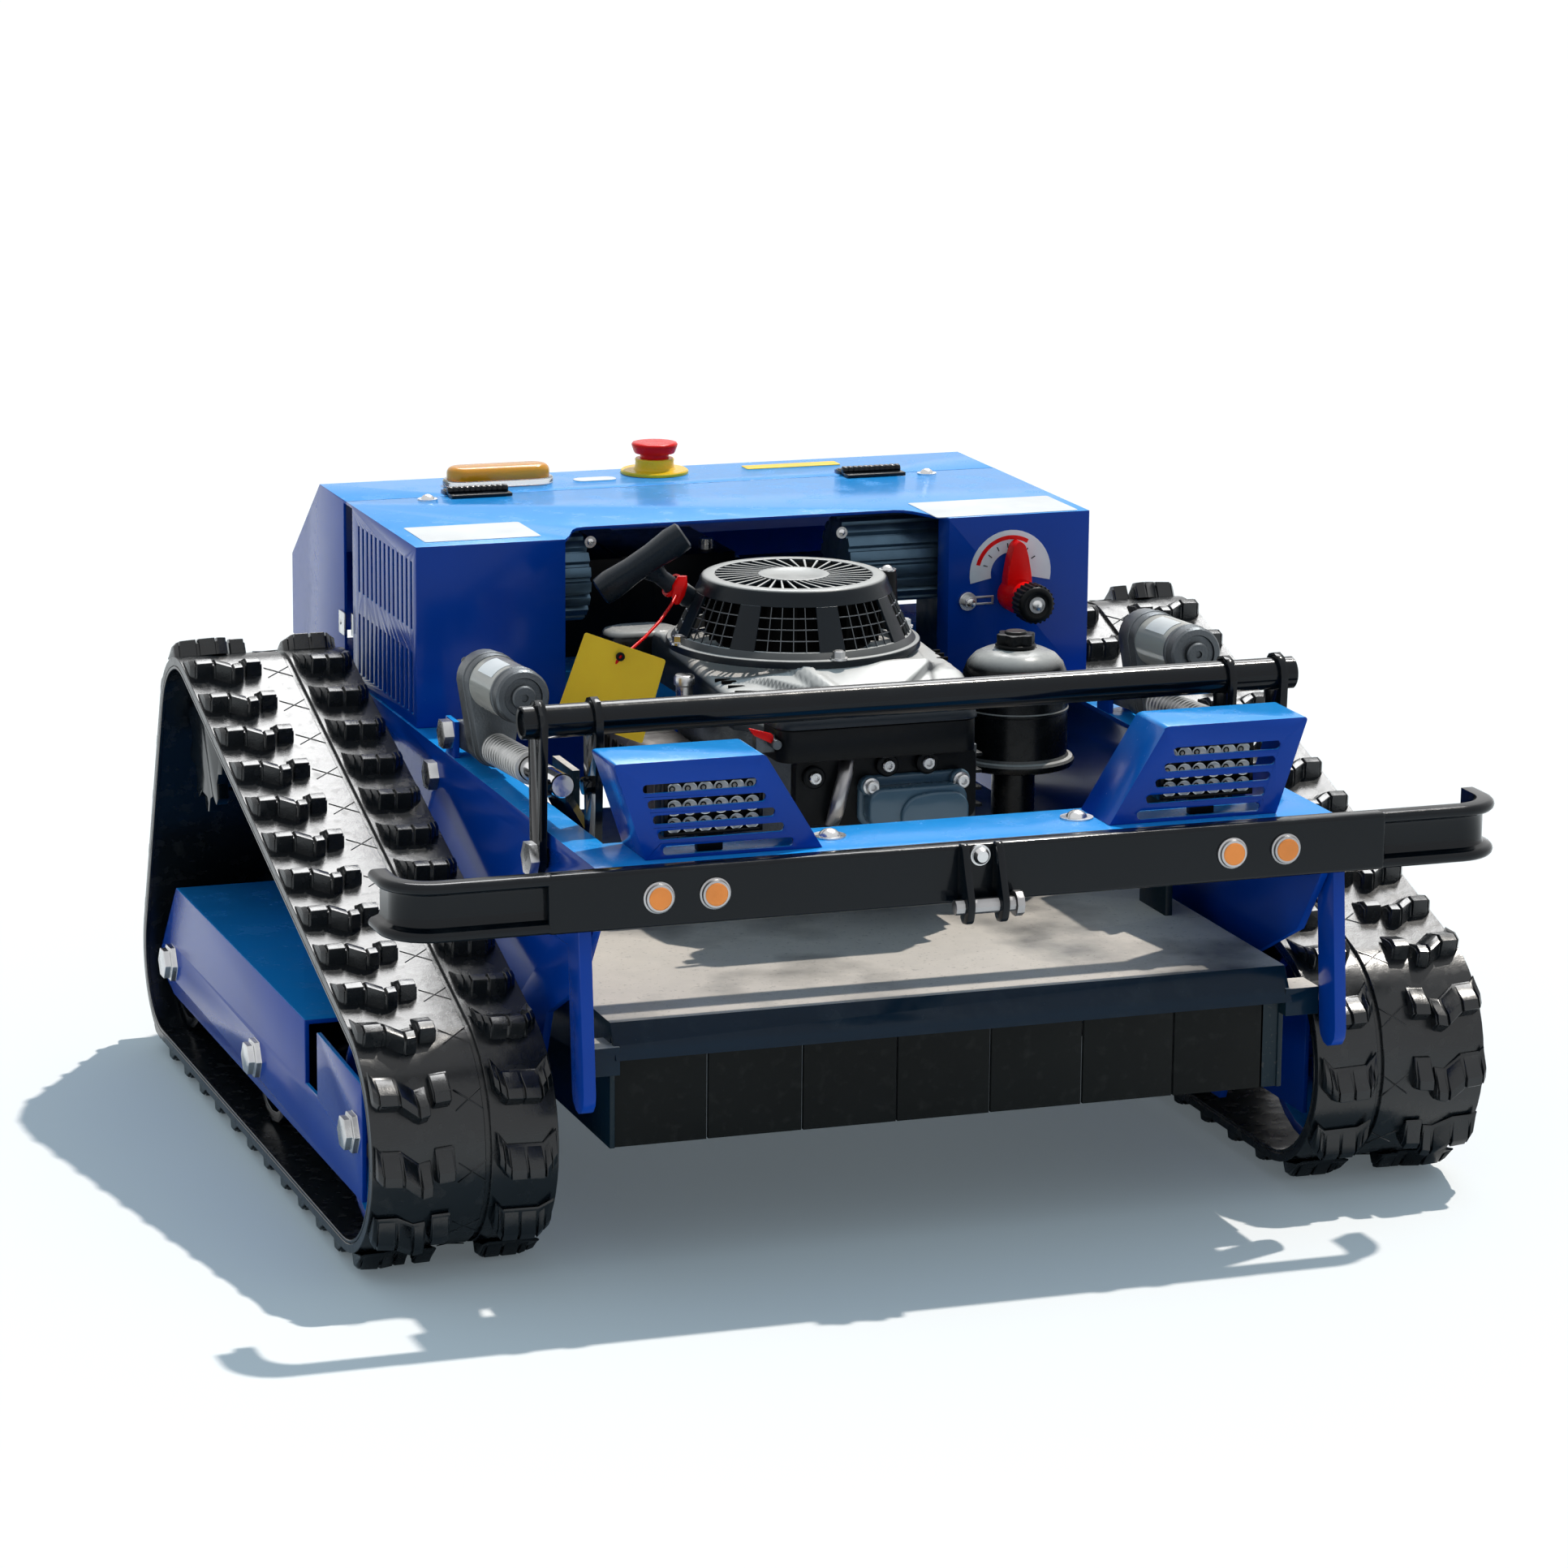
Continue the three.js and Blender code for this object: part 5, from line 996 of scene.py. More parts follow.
# %% [markdown]
# ## Mower deck
# The deck is a welded box of sheet. Its front edge is folded down into a glossy navy lip, and dust lies
# on its top. The CAD solid has that shape already, so a copy gets rounded edges, and its lip faces get
# the second paint.

# %% Deck with its lip
LIP_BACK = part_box("mower_deck")[0].y + 30 * MM
LIP_ABOVE = 0.17


def on_lip(face):
    return face.normal.y < -0.3 and face.center.y < LIP_BACK and face.center.z > LIP_ABOVE


repainted(dressed("mower_deck", DECK, width=1.2), NAVY, on_lip)

# %% [markdown]
# ## Engine cowl
# The cowl is one plastic moulding with creases and a sloping nose. Modelling every crease as an edge
# would take long. Instead a grid of small squares is cut to the cowl's outline, and every point gets its
# height from a few named steps: the round rim, the nose, an arrow-shaped field, and a step and a rib on
# each side. Then the rim is drawn down to make the sides.

# %% Height of the cowl
COWL_LOW, COWL_HIGH = box_mm("engine_shroud")
COWL_OUTLINE = ((-95, 95), (-95, -151), (-77, -174.8), (94, -174.8), (113, -151), (125, 12), (125, 59),
                (95, 95))
COWL_SIDES = list(zip(COWL_OUTLINE, COWL_OUTLINE[1:] + COWL_OUTLINE[:1]))
COWL_ROUND = 10
COWL_INSET = 2.6
NOSE_START = -121
NOSE_DROP = 17


def inside_distance(x, y):
    """Distance in millimetres from the cowl's outline, measured inwards."""
    return min(((xb - xa) * (y - ya) - (yb - ya) * (x - xa)) / math.hypot(xb - xa, yb - ya)
               for (xa, ya), (xb, yb) in COWL_SIDES)


def eased(value, width):
    """Goes smoothly from 0 to 1 as the value goes from 0 to the width."""
    share = min(max(value / width, 0), 1)
    return share * share * (3 - 2 * share)


def cowl_height(x, y):
    """Height of the cowl's skin over the place x, y, all in millimetres."""
    rim = min(inside_distance(x, y), COWL_ROUND)
    edge = COWL_ROUND - math.sqrt(max(COWL_ROUND ** 2 - (COWL_ROUND - rim) ** 2, 0))
    nose = max(NOSE_START - y, 0) / (NOSE_START - COWL_LOW.y) * NOSE_DROP
    arrow = 4.4 * eased(16 + (y + 178) * 1.05 - abs(x - 14), 3)
    left_line = -52 + (-70 - y) * 0.36
    left_step = 3.6 * eased(left_line - x, 4) + 0.16 * max(left_line - x, 0)
    left_rib = 2.4 * eased(6 - abs(x - left_line - 8), 2.5)
    right_line = 86 - (-100 - y) * 0.22
    right_step = 3.2 * eased(x - right_line, 4) + 0.12 * max(x - right_line, 0)
    raised = left_rib + arrow * eased(NOSE_START + 30 - y, 30)
    return COWL_HIGH.z - COWL_INSET - edge - nose - left_step - right_step + raised


print("cowl height at the middle and the nose", round(cowl_height(15, -40)), round(cowl_height(15, -170)))

# %% Cowl
COWL_SQUARES = (90, 108)
COWL_SPAN = (0.222, 0.272, 1)
cowl_bm = bmesh.new()
bmesh.ops.create_grid(cowl_bm, x_segments=COWL_SQUARES[0], y_segments=COWL_SQUARES[1], size=0.5)
bmesh.ops.scale(cowl_bm, vec=COWL_SPAN, verts=cowl_bm.verts)
bmesh.ops.translate(cowl_bm, vec=mm(15, -40, 0), verts=cowl_bm.verts)
for (xa, ya), (xb, yb) in COWL_SIDES:
    outward = Vector((yb - ya, xa - xb, 0))
    bmesh.ops.bisect_plane(cowl_bm, geom=[*cowl_bm.verts, *cowl_bm.edges, *cowl_bm.faces], dist=MERGE,
                           plane_co=mm(xa, ya, 0), plane_no=outward, clear_outer=True)
for vert in cowl_bm.verts:
    vert.co.z = cowl_height(vert.co.x / MM, vert.co.y / MM) * MM
rim_edges = [e for e in cowl_bm.edges if e.is_boundary]
drawn = bmesh.ops.extrude_edge_only(cowl_bm, edges=rim_edges)["geom"]
for vert in (item for item in drawn if isinstance(item, bmesh.types.BMVert)):
    vert.co.z = COWL_LOW.z * MM
bmesh.ops.contextual_create(cowl_bm, geom=[e for e in cowl_bm.edges if e.is_boundary])
stands_for(cowl_bm, "engine_shroud", "engine_cowl", SHROUD_PLASTIC, angle=math.radians(50))

# %% [markdown]
# Short slots along both sides of the cowl let out warm air. They are shallow and nothing shows in them,
# so a dark pad with round ends, sunk into the skin, paints the shade of a hole and keeps the skin closed.

# %% Slots in the cowl
SLOT_HALF_WIDTH = 1.6
SLOT_DEPTH = 2.6
SLOT_SINK = 2


def slot_pad(bm, x, y, length, turn_by):
    """A thin dark pad with round ends, turned in its own plane."""
    half, wide = length / 2, SLOT_HALF_WIDTH
    corners = [mm(-half, -wide, 0), mm(half, -wide, 0), mm(half, wide, 0), mm(-half, wide, 0)]
    made = plate(bm, corners, Z * SLOT_DEPTH * MM, corner=wide * 0.99, steps=4)
    spin = Matrix.Rotation(math.radians(turn_by), 4, "Z")
    place = Matrix.Translation(mm(x, y, cowl_height(x, y) - SLOT_SINK)) @ spin
    bmesh.ops.transform(bm, matrix=place, verts=[v for v in made if v.is_valid])


slot_bm = bmesh.new()
for k in range(4):
    slot_pad(slot_bm, -81 + 1.6 * k, -90 - 12 * k, 18, -14)
for k in range(3):
    slot_pad(slot_bm, 116 - 3 * k, -44 - 17 * k, 13, 5)
part_of(slot_bm, "engine_shroud", "cowl_slots_painted_shade", PAINTED_SHADE)

# %% [markdown]
# ## Fan cover
# The cover over the engine's fan is a moulded cone with windows. Cutting them out of a closed cone would
# leave long thin faces. So two turned rings are made with a gap between them, and eight broad posts join
# them.

# %% Rings and posts
FAN_PLACE = mm(0, -24, 0)
FAN_FOOT = box_mm("fan_cover")[0].z
FLANGE_TOP = FAN_FOOT + 6
SHOULDER_RADIUS, SHOULDER_Z = 78, 458
SKIRT_RADIUS = 100
FAN_TOP = 464
FAN_WINDOWS = 8
WINDOW_LOW, WINDOW_HIGH = 417, 451
POST_HALF = math.radians(6.5)
WINDOW_STEP = 2 * math.pi / FAN_WINDOWS
WALL = 3


def skirt_at(z, inside=0.0):
    """A point of the cone's wall at a height, some way inside it."""
    share = (z - FLANGE_TOP) / (SHOULDER_Z - FLANGE_TOP)
    return (SKIRT_RADIUS + (SHOULDER_RADIUS - SKIRT_RADIUS) * share - inside, z)


def skirt_section(low, high, outside, inside):
    """The outline of a bar in the cone's wall between two heights and two depths."""
    return [skirt_at(low, outside), skirt_at(high, outside), skirt_at(high, inside), skirt_at(low, inside)]


def ring_of(bm, profile, centre, axis=Z, steps=48):
    """A hollow turned part: its profile is a closed line that stays clear of the axis."""
    turned(bm, [*profile, profile[0]], centre, axis, steps)


def around(profile, angle, centre):
    """An outline of radius and height pairs, stood up at one angle round the Z axis."""
    return [centre + Vector((math.cos(angle) * radius, math.sin(angle) * radius, height)) * MM
            for radius, height in profile]


def arc_block(bm, profile, start, end, steps, centre):
    """A closed piece of ring between two angles."""
    lofted(bm, [around(profile, start + (end - start) * k / steps, centre) for k in range(steps + 1)])


FOOT_PROFILE = [(97, FAN_FOOT), (105, FAN_FOOT), (105, FLANGE_TOP - 1), (104, FLANGE_TOP),
                (101, FLANGE_TOP + 0.3), skirt_at(WINDOW_LOW), skirt_at(WINDOW_LOW, WALL),
                (96.5, FLANGE_TOP)]
TOP_PROFILE = [skirt_at(WINDOW_HIGH), (SHOULDER_RADIUS, SHOULDER_Z), (77.3, 461), (75.6, 463), (73, FAN_TOP),
               (65.5, FAN_TOP), (64.5, FAN_TOP - 0.8), (64.5, 461), (72, 461), (75, 457),
               skirt_at(WINDOW_HIGH, WALL)]
HUB_PROFILE = [(0, 459.5), (29, 459.5), (30, 461), (30, 463.2), (29, FAN_TOP), (24, FAN_TOP), (23, 463.4),
               (0, 463.8)]
fan_bm = bmesh.new()
ring_of(fan_bm, FOOT_PROFILE, FAN_PLACE, steps=96)
ring_of(fan_bm, TOP_PROFILE, FAN_PLACE, steps=96)
for i in range(FAN_WINDOWS):
    middle = i * WINDOW_STEP
    post = skirt_section(WINDOW_LOW - 0.4, WINDOW_HIGH + 0.4, 0, WALL)
    arc_block(fan_bm, post, middle - POST_HALF, middle + POST_HALF, 4, FAN_PLACE)
turned(fan_bm, HUB_PROFILE, FAN_PLACE, steps=64)
stands_for(fan_bm, "fan_cover", "fan_cover_shell", FAN_PLASTIC, width=0.35, steps=1)

# %% [markdown]
# Slanted ribs run from the hub to the top ring and keep fingers out of the fan. One rib is a thin plate,
# and turned copies make the grille.

# %% Grille of the top
RIBS = 36
RIB_SLANT = math.radians(13)
RIB_FOOT, RIB_HEIGHT = 460.6, 2.8
RIB_INNER = (29, -0.026, 0.026)
RIB_OUTER = (65.5, RIB_SLANT - 0.018, RIB_SLANT + 0.018)


def fan_turns(count):
    """Matrices that turn a template round the fan's axis in equal steps."""
    place = Matrix.Translation(FAN_PLACE)
    return [place @ Matrix.Rotation(2 * math.pi * k / count, 4, "Z") for k in range(count)]


rib_bm, grille_bm = bmesh.new(), bmesh.new()
corners = [mm(r * math.cos(a), r * math.sin(a), RIB_FOOT) for r, low, high in (RIB_INNER, RIB_OUTER)
           for a in (low, high)]
plate(rib_bm, [corners[0], corners[2], corners[3], corners[1]], Z * RIB_HEIGHT * MM)
copies(grille_bm, template_from(rib_bm, "grille_rib"), fan_turns(RIBS))
part_of(grille_bm, "fan_cover", "fan_grille", SHROUD_PLASTIC, width=0.3, steps=1)

# %% [markdown]
# Thin bars fill the windows. They follow the cone's wall a little inside its skin, upright ones and level
# ones.

# %% Bars in the windows
BAR_COLUMNS, BAR_ROWS = 4, 3
BAR_HALF_ANGLE = 0.0034
window_width = WINDOW_STEP - 2 * POST_HALF
window_bm = bmesh.new()
for i in range(FAN_WINDOWS):
    first = i * WINDOW_STEP + POST_HALF
    for k in range(1, BAR_COLUMNS + 1):
        angle = first + window_width * k / (BAR_COLUMNS + 1)
        upright = skirt_section(WINDOW_LOW - 1, WINDOW_HIGH + 1, 0.6, 2)
        arc_block(window_bm, upright, angle - BAR_HALF_ANGLE, angle + BAR_HALF_ANGLE, 1, FAN_PLACE)
    for k in range(1, BAR_ROWS + 1):
        z = WINDOW_LOW + (WINDOW_HIGH - WINDOW_LOW) * k / (BAR_ROWS + 1)
        level_bar = skirt_section(z - 0.3, z + 0.3, 0.7, 1.7)
        arc_block(window_bm, level_bar, first - 0.01, first + window_width + 0.01, 6, FAN_PLACE)
part_of(window_bm, "fan_cover", "fan_window_bars", CAST)

# %% [markdown]
# The fan wheel turns in the dark behind the bars, so a plain drum with twenty vanes is enough; it is
# near black, as painted shade.

# %% Fan wheel
VANES = 20
WHEEL_PROFILE = [(0, 408), (64, 408), (66, 412), (60, 452), (0, 455)]
wheel_bm, vane_bm = bmesh.new(), bmesh.new()
turned(wheel_bm, WHEEL_PROFILE, FAN_PLACE, steps=48)
block(vane_bm, mm(58, -1.1, 412), mm(73, 1.1, 452))
copies(wheel_bm, template_from(vane_bm, "fan_vane"), fan_turns(VANES))
part_of(wheel_bm, "fan_cover", "fan_wheel", PAINTED_SHADE)

# %% [markdown]
# Bolts are the same two forms all over the machine: a hexagon head on a washer, and a domed head. Four
# hexagon bolts hold the cover's flange, and a domed one sits on a post at the cowl's corner. The starter
# rope leaves the cover through a bush, which points along the pull.

# %% Bush, bolts and corner post
HANDLE_SEAT, HANDLE_CENTRE = mm(-94, -4, 452), mm(-126, -8, 476)
PULL = (HANDLE_CENTRE - HANDLE_SEAT).normalized()
BUSH_PROFILE = [(3, -14), (8.2, -14), (9, -12), (9, -1.5), (7.5, 0), (3, 0)]
POST_PROFILE = [(0, -4), (11, -4), (9.5, 4), (8, 43), (6.8, 46), (0, 46)]
CORNER_POST = mm(104, 34, 404)
POST_HEIGHT = 46
FLANGE_BOLT_ANGLES = (-88, 4, 92, 182)
FLANGE_BOLT_RADIUS = 101


def hex_bolt(bm, foot, axis, radius, height, washer, washer_height=1.8):
    """A hexagon head on a washer, with a low round crown."""
    bar(bm, foot, foot + axis * washer_height * MM, washer, 28)
    seat = foot + axis * washer_height * MM
    top = seat + axis * height * MM
    bar(bm, seat, top, radius, 6)
    bar(bm, top, top + axis * 0.8 * MM, radius * 0.74, 24, radius * 0.66)


def dome_bolt(bm, foot, axis, radius, height, washer=0.0):
    """A domed head, on a thin washer where one is wanted."""
    if washer:
        turned(bm, [(0, 0), (washer, 0), (washer, 1.2), (0, 1.2)], foot, axis, 28)
    angles = [math.radians(a) for a in range(0, 90, 18)]
    dome = [(math.cos(a) * radius, math.sin(a) * height) for a in angles]
    turned(bm, [(0, 0), *dome, (0, height)], foot, axis, 24)


bush_bm, fan_bolt_bm, corner_bm = bmesh.new(), bmesh.new(), bmesh.new()
ring_of(bush_bm, BUSH_PROFILE, HANDLE_SEAT, PULL, 32)
part_of(bush_bm, "fan_cover", "rope_bush", SHROUD_PLASTIC)
for angle in (math.radians(degrees) for degrees in FLANGE_BOLT_ANGLES):
    foot = around([(FLANGE_BOLT_RADIUS, FLANGE_TOP)], angle, FAN_PLACE)[0]
    hex_bolt(fan_bolt_bm, foot, Z, 5.2, 5, 7.2)
dome_bolt(fan_bolt_bm, CORNER_POST + Z * POST_HEIGHT * MM, Z, 5.5, 4.5, 7.5)
part_of(fan_bolt_bm, "fan_cover", "fan_bolts", ZINC)
turned(corner_bm, POST_PROFILE, CORNER_POST, Z, 32)
part_of(corner_bm, "engine_shroud", "cowl_corner_post", BLACK_PLASTIC)

# %% [markdown]
# ## Starter handle
# The handle is a moulded T. Its bar swells towards both ends, and its stem flares where it meets the bar
# and the bush. Both are rows of soft rectangles that are bridged, which lets the thickness change freely
# along them. The rope is longer inside the cover than outside, so it still reaches the bush when the
# handle is pulled.

# %% Handle and rope
BAR_ALONG = Vector((0.81, -0.16, 0.56)).normalized()
ACROSS_BAR = BAR_ALONG.cross(PULL).normalized()
OUT_OF_BAR = ACROSS_BAR.cross(BAR_ALONG).normalized()
STEM_LENGTH = (HANDLE_CENTRE - HANDLE_SEAT).length / MM
HALF_BAR = ((10, 10, 9.2), (30, 11.8, 10), (40.5, 11, 9.6), (42, 8.5, 7.5))
BAR_SECTIONS = (*((-place, a, b) for place, a, b in reversed(HALF_BAR)), *HALF_BAR)
STEM_SECTIONS = ((0.4, 8.2, 8.2), (3, 9.4, 9.0), (9, 7.4, 7.2), (20, 7.0, 6.8), (STEM_LENGTH - 11, 10, 7.4),
                 (STEM_LENGTH - 4, 16, 8.2))
ROPE_INSIDE, ROPE_OUTSIDE = 64, 4
ROPE_RADIUS = 2.4


def soft_section(centre, u, v, half_u, half_v, power=3.0, count=20):
    """Points of a rectangle with very round corners, in the plane of the directions u and v."""
    points = []
    for k in range(count):
        c, s = math.cos(2 * math.pi * k / count), math.sin(2 * math.pi * k / count)
        along_u = math.copysign(abs(c) ** (2 / power), c) * half_u
        along_v = math.copysign(abs(s) ** (2 / power), s) * half_v
        points.append(centre + (u * along_u + v * along_v) * MM)
    return points


handle_bm, rope_bm = bmesh.new(), bmesh.new()
lofted(handle_bm, [soft_section(HANDLE_CENTRE + BAR_ALONG * place * MM, OUT_OF_BAR, ACROSS_BAR, a, b, 3.6)
                   for place, a, b in BAR_SECTIONS])
lofted(handle_bm, [soft_section(HANDLE_SEAT + PULL * place * MM, BAR_ALONG, ACROSS_BAR, a, b, 2.3)
                   for place, a, b in STEM_SECTIONS])
stands_for(handle_bm, "pull_handle", "starter_grip", HANDLE_PLASTIC, angle=math.radians(40))
bar(rope_bm, HANDLE_SEAT - PULL * ROPE_INSIDE * MM, HANDLE_SEAT + PULL * ROPE_OUTSIDE * MM, ROPE_RADIUS, 16)
part_of(rope_bm, "pull_handle", "starter_rope", BLACK_PLASTIC)

# %% [markdown]
# ## Card on a strap
# A plain yellow card hangs from the rope on a limp red strap. The card is a thin plate in one plane, with
# a small eyelet, and the strap's tie is a ring with a knot below it.

# %% Tie, card and eyelet
TIE_RING = [(8.4, -1.8), (10.2, -1.8), (10.6, 0), (10.2, 1.8), (8.4, 1.8)]
TIE_KNOT = ((-92, -10, 464, 4, 3), (-95, -13, 457, 6.5, 4.6), (-97, -15, 449, 5.6, 4),
            (-98, -15, 442, 2, 1.8))
CARD_CORNERS = [mm(-197, -80, 437), mm(-133, -93, 413), mm(-154, -97, 346), mm(-222, -82, 372)]
CARD_THICKNESS = 0.9
EYELET = mm(-170, -88.4, 417)
EYELET_PROFILE = [(1.6, -1), (3.6, -1), (3.6, 1.2), (1.6, 1.2)]
tie_bm, card_bm, eyelet_bm = bmesh.new(), bmesh.new(), bmesh.new()
ring_of(tie_bm, TIE_RING, HANDLE_SEAT + PULL * 6 * MM, PULL, 28)
lofted(tie_bm, [soft_section(mm(x, y, z), X, Y, a, b, 2) for x, y, z, a, b in TIE_KNOT])
tie = part_of(tie_bm, "pull_handle", "strap_tie", RED_PLASTIC)
first = CARD_CORNERS[0]
card_normal = (CARD_CORNERS[1] - first).cross(CARD_CORNERS[3] - first).normalized()
flat_corners = [corner - card_normal * (corner - first).dot(card_normal) for corner in CARD_CORNERS]
plate(card_bm, flat_corners, card_normal * CARD_THICKNESS * MM, corner=2)
card = part_of(card_bm, "pull_handle", "plain_card", CARD)
ring_of(eyelet_bm, EYELET_PROFILE, EYELET, card_normal, 20)
eyelet = part_of(eyelet_bm, "pull_handle", "card_eyelet", BLACK_PLASTIC)

# %% [markdown]
# The strap itself is a cord, so it is a curve along its route with a round bevel. Its last two points are
# the short tail behind the card. Its measures go with it.

# %% Strap
STRAP_WIDTH = 2.6
STRAP_ROUTE = [mm(-97, -14, 452), mm(-107, -27, 444), mm(-123, -44, 434), mm(-141, -62, 426),
               mm(-158, -78, 420), mm(-170, -88, 417), mm(-174, -84.5, 409), mm(-177, -84, 399)]
strap_curve = bpy.data.curves.new("card_strap", "CURVE")
strap_curve.dimensions = "3D"
strap_curve.bevel_depth = STRAP_WIDTH / 2 * MM
strap_curve.bevel_resolution = 3
strap_curve.use_fill_caps = True
strap_line = strap_curve.splines.new("POLY")
strap_line.points.add(len(STRAP_ROUTE) - 1)
for point, place in zip(strap_line.points, STRAP_ROUTE):
    point.co = (*place, 1)
strap_curve.materials.append(RED_PLASTIC)
strap = linked("card_strap", strap_curve)
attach(strap, BODY_OF["pull_handle"])
strap_length = sum(math.dist(a, b) for a, b in zip(STRAP_ROUTE, STRAP_ROUTE[1:]))
tuple(STRAP_ROUTE[0])
print("strap length in mm", round(strap_length / MM))

# %% [markdown]
# ## Air cleaner
# The air cleaner is a black moulded box whose lid has a broad bevel. The lid is of the cowl's plastic,
# so its upward faces take that plastic's painted sheen and look grey. Box, seam and lid are plates
# with round corners, and the lid's top edges alone get the wide bevel.

# %% Air cleaner
CLEANER_LOW, CLEANER_HIGH = box_mm("air_cleaner")
LID_HEIGHT = 13
LID_FOOT = CLEANER_HIGH.z - LID_HEIGHT
LID_BEVEL = 11.5


def level(low, high, z, inset=0.0, back_inset=0.0):
    """The four corners of a rectangle at one height, drawn in from a box on all sides."""
    x0, x1, y0, y1 = low.x + inset, high.x - inset, low.y + inset, high.y - back_inset
    return [mm(x0, y0, z), mm(x1, y0, z), mm(x1, y1, z), mm(x0, y1, z)]


def top_edges(bm, above):
    """The edges that lie wholly above a height in millimetres."""
    return [e for e in bm.edges if min(v.co.z for v in e.verts) > above * MM]


cleaner_bm, lid_bm = bmesh.new(), bmesh.new()
plate(cleaner_bm, level(CLEANER_LOW, CLEANER_HIGH, CLEANER_LOW.z, 1.4),
      Z * (LID_FOOT - 0.8 - CLEANER_LOW.z) * MM, corner=13, steps=6)
plate(cleaner_bm, level(CLEANER_LOW, CLEANER_HIGH, LID_FOOT - 2, 3, 1), Z * 3 * MM, corner=12, steps=6)
stands_for(cleaner_bm, "air_cleaner", "air_cleaner_box", BLACK_PLASTIC, width=1.2)
plate(lid_bm, level(CLEANER_LOW, CLEANER_HIGH, LID_FOOT), Z * LID_HEIGHT * MM, corner=14, steps=6)
bevelled(lid_bm, top_edges(lid_bm, CLEANER_HIGH.z - 0.1), LID_BEVEL, 3)
part_of(lid_bm, "air_cleaner", "air_cleaner_lid", SHROUD_PLASTIC, width=0.5)

# %% [markdown]
# ## Valve cover
# The valve cover is a blue-grey pressing with a foot, two bolted ears and a raised panel with a crooked
# outline. Each is a plate that is extruded towards the front, and a wide bevel makes the soft shoulders
# of the real one.

# %% Valve cover
VALVE_LOW, VALVE_HIGH = box_mm("valve_cover")
VALVE_BACK = VALVE_HIGH.y
VALVE_EARS_X = (VALVE_LOW.x + 8, VALVE_HIGH.x - 6)
VALVE_EAR_Z = VALVE_HIGH.z - 7
PANEL_OUTLINE = ((22, 293), (79, 293), (79, 312), (70, 320), (48, 321), (30, 318), (22, 308))
VALVE_BOLT = [(0, 0), (6.8, 0), (6.8, 1.6), (5.2, 2), (5.2, 6.5), (4.4, 7.2), (2.6, 7.2), (2.2, 4.4),
              (0, 4.4)]


def facing(x_range, z_range, y):
    """The four corners of an upright rectangle that looks along Y."""
    (x0, x1), (z0, z1) = x_range, z_range
    return [mm(x0, y, z0), mm(x1, y, z0), mm(x1, y, z1), mm(x0, y, z1)]


valve_bm, panel_bm, valve_bolt_bm = bmesh.new(), bmesh.new(), bmesh.new()
plate(valve_bm, facing((VALVE_LOW.x, VALVE_HIGH.x), (VALVE_LOW.z, VALVE_HIGH.z), VALVE_BACK),
      -Y * 6 * MM, corner=9, steps=6)
plate(valve_bm, facing((VALVE_LOW.x + 4, VALVE_HIGH.x - 4), (VALVE_LOW.z, VALVE_HIGH.z - 8), VALVE_BACK - 5),
      -Y * 17 * MM, corner=11, steps=6)
plate(panel_bm, [mm(x, VALVE_BACK - 21.8, z) for x, z in PANEL_OUTLINE], -Y * 4.4 * MM, corner=5)
for x in VALVE_EARS_X:
    bar(valve_bm, mm(x, VALVE_BACK - 5, VALVE_EAR_Z), mm(x, VALVE_BACK - 12, VALVE_EAR_Z), 8.5, 28)
    turned(valve_bolt_bm, VALVE_BOLT, mm(x, VALVE_BACK - 12, VALVE_EAR_Z), -Y, 28)
stands_for(valve_bm, "valve_cover", "valve_cover_casting", BLUE_GREY, width=2.2, steps=3)
part_of(panel_bm, "valve_cover", "valve_cover_panel", BLUE_GREY, width=2.0, steps=3)
part_of(valve_bolt_bm, "valve_cover", "valve_cover_bolts", ZINC)

# %% [markdown]
# ## Cylinder front
# Under the cowl's nose the cylinder shows a dark face with cooling fins at its side. Three bolts with
# dark rings stand on it.

# %% Cylinder head with its bolts
HEAD_OUTLINE = ((-60, 296), (-10, 292), (94, 292), (94, 350), (-60, 350))
HEAD_BOLTS = ((-46, 335), (16, 341), (50, 341))
HEAD_BACK = -190
BOSS_FRONT = -206
HEAD_RING = [(5.4, 0), (9.2, 0), (9.2, 2.2), (8, 3), (5.4, 3)]
HEAD_BOLT = [(0, 0), (5.2, 0), (5.2, 5.2), (4.4, 6), (2.7, 6), (2.3, 3.6), (0, 3.6)]
head_bm, head_ring_bm, head_bolt_bm = bmesh.new(), bmesh.new(), bmesh.new()
plate(head_bm, [mm(x, HEAD_BACK, z) for x, z in HEAD_OUTLINE], -Y * 12 * MM, corner=8)
for x, z in HEAD_BOLTS:
    bar(head_bm, mm(x, BOSS_FRONT + 6, z), mm(x, BOSS_FRONT, z), 9, 28)
    ring_of(head_ring_bm, HEAD_RING, mm(x, BOSS_FRONT + 0.2, z), -Y, 28)
    turned(head_bolt_bm, HEAD_BOLT, mm(x, BOSS_FRONT + 0.2, z), -Y, 24)
for k in range(5):
    block(head_bm, mm(96, -186, 282 + 14 * k), mm(106, -60, 285 + 14 * k))
part_of(head_bm, "engine_block", "cylinder_head", BLACK_PLASTIC, width=1.0)
part_of(head_ring_bm, "engine_block", "head_bolt_rings", BLACK_PLASTIC)
part_of(head_bolt_bm, "engine_block", "head_bolts", ZINC)

# %% [markdown]
# A bright bent tube leads down beside the valve cover, and a small red choke lever sticks out under the
# air cleaner. The tube's bend is gentle, so round sections at five places are enough for it.

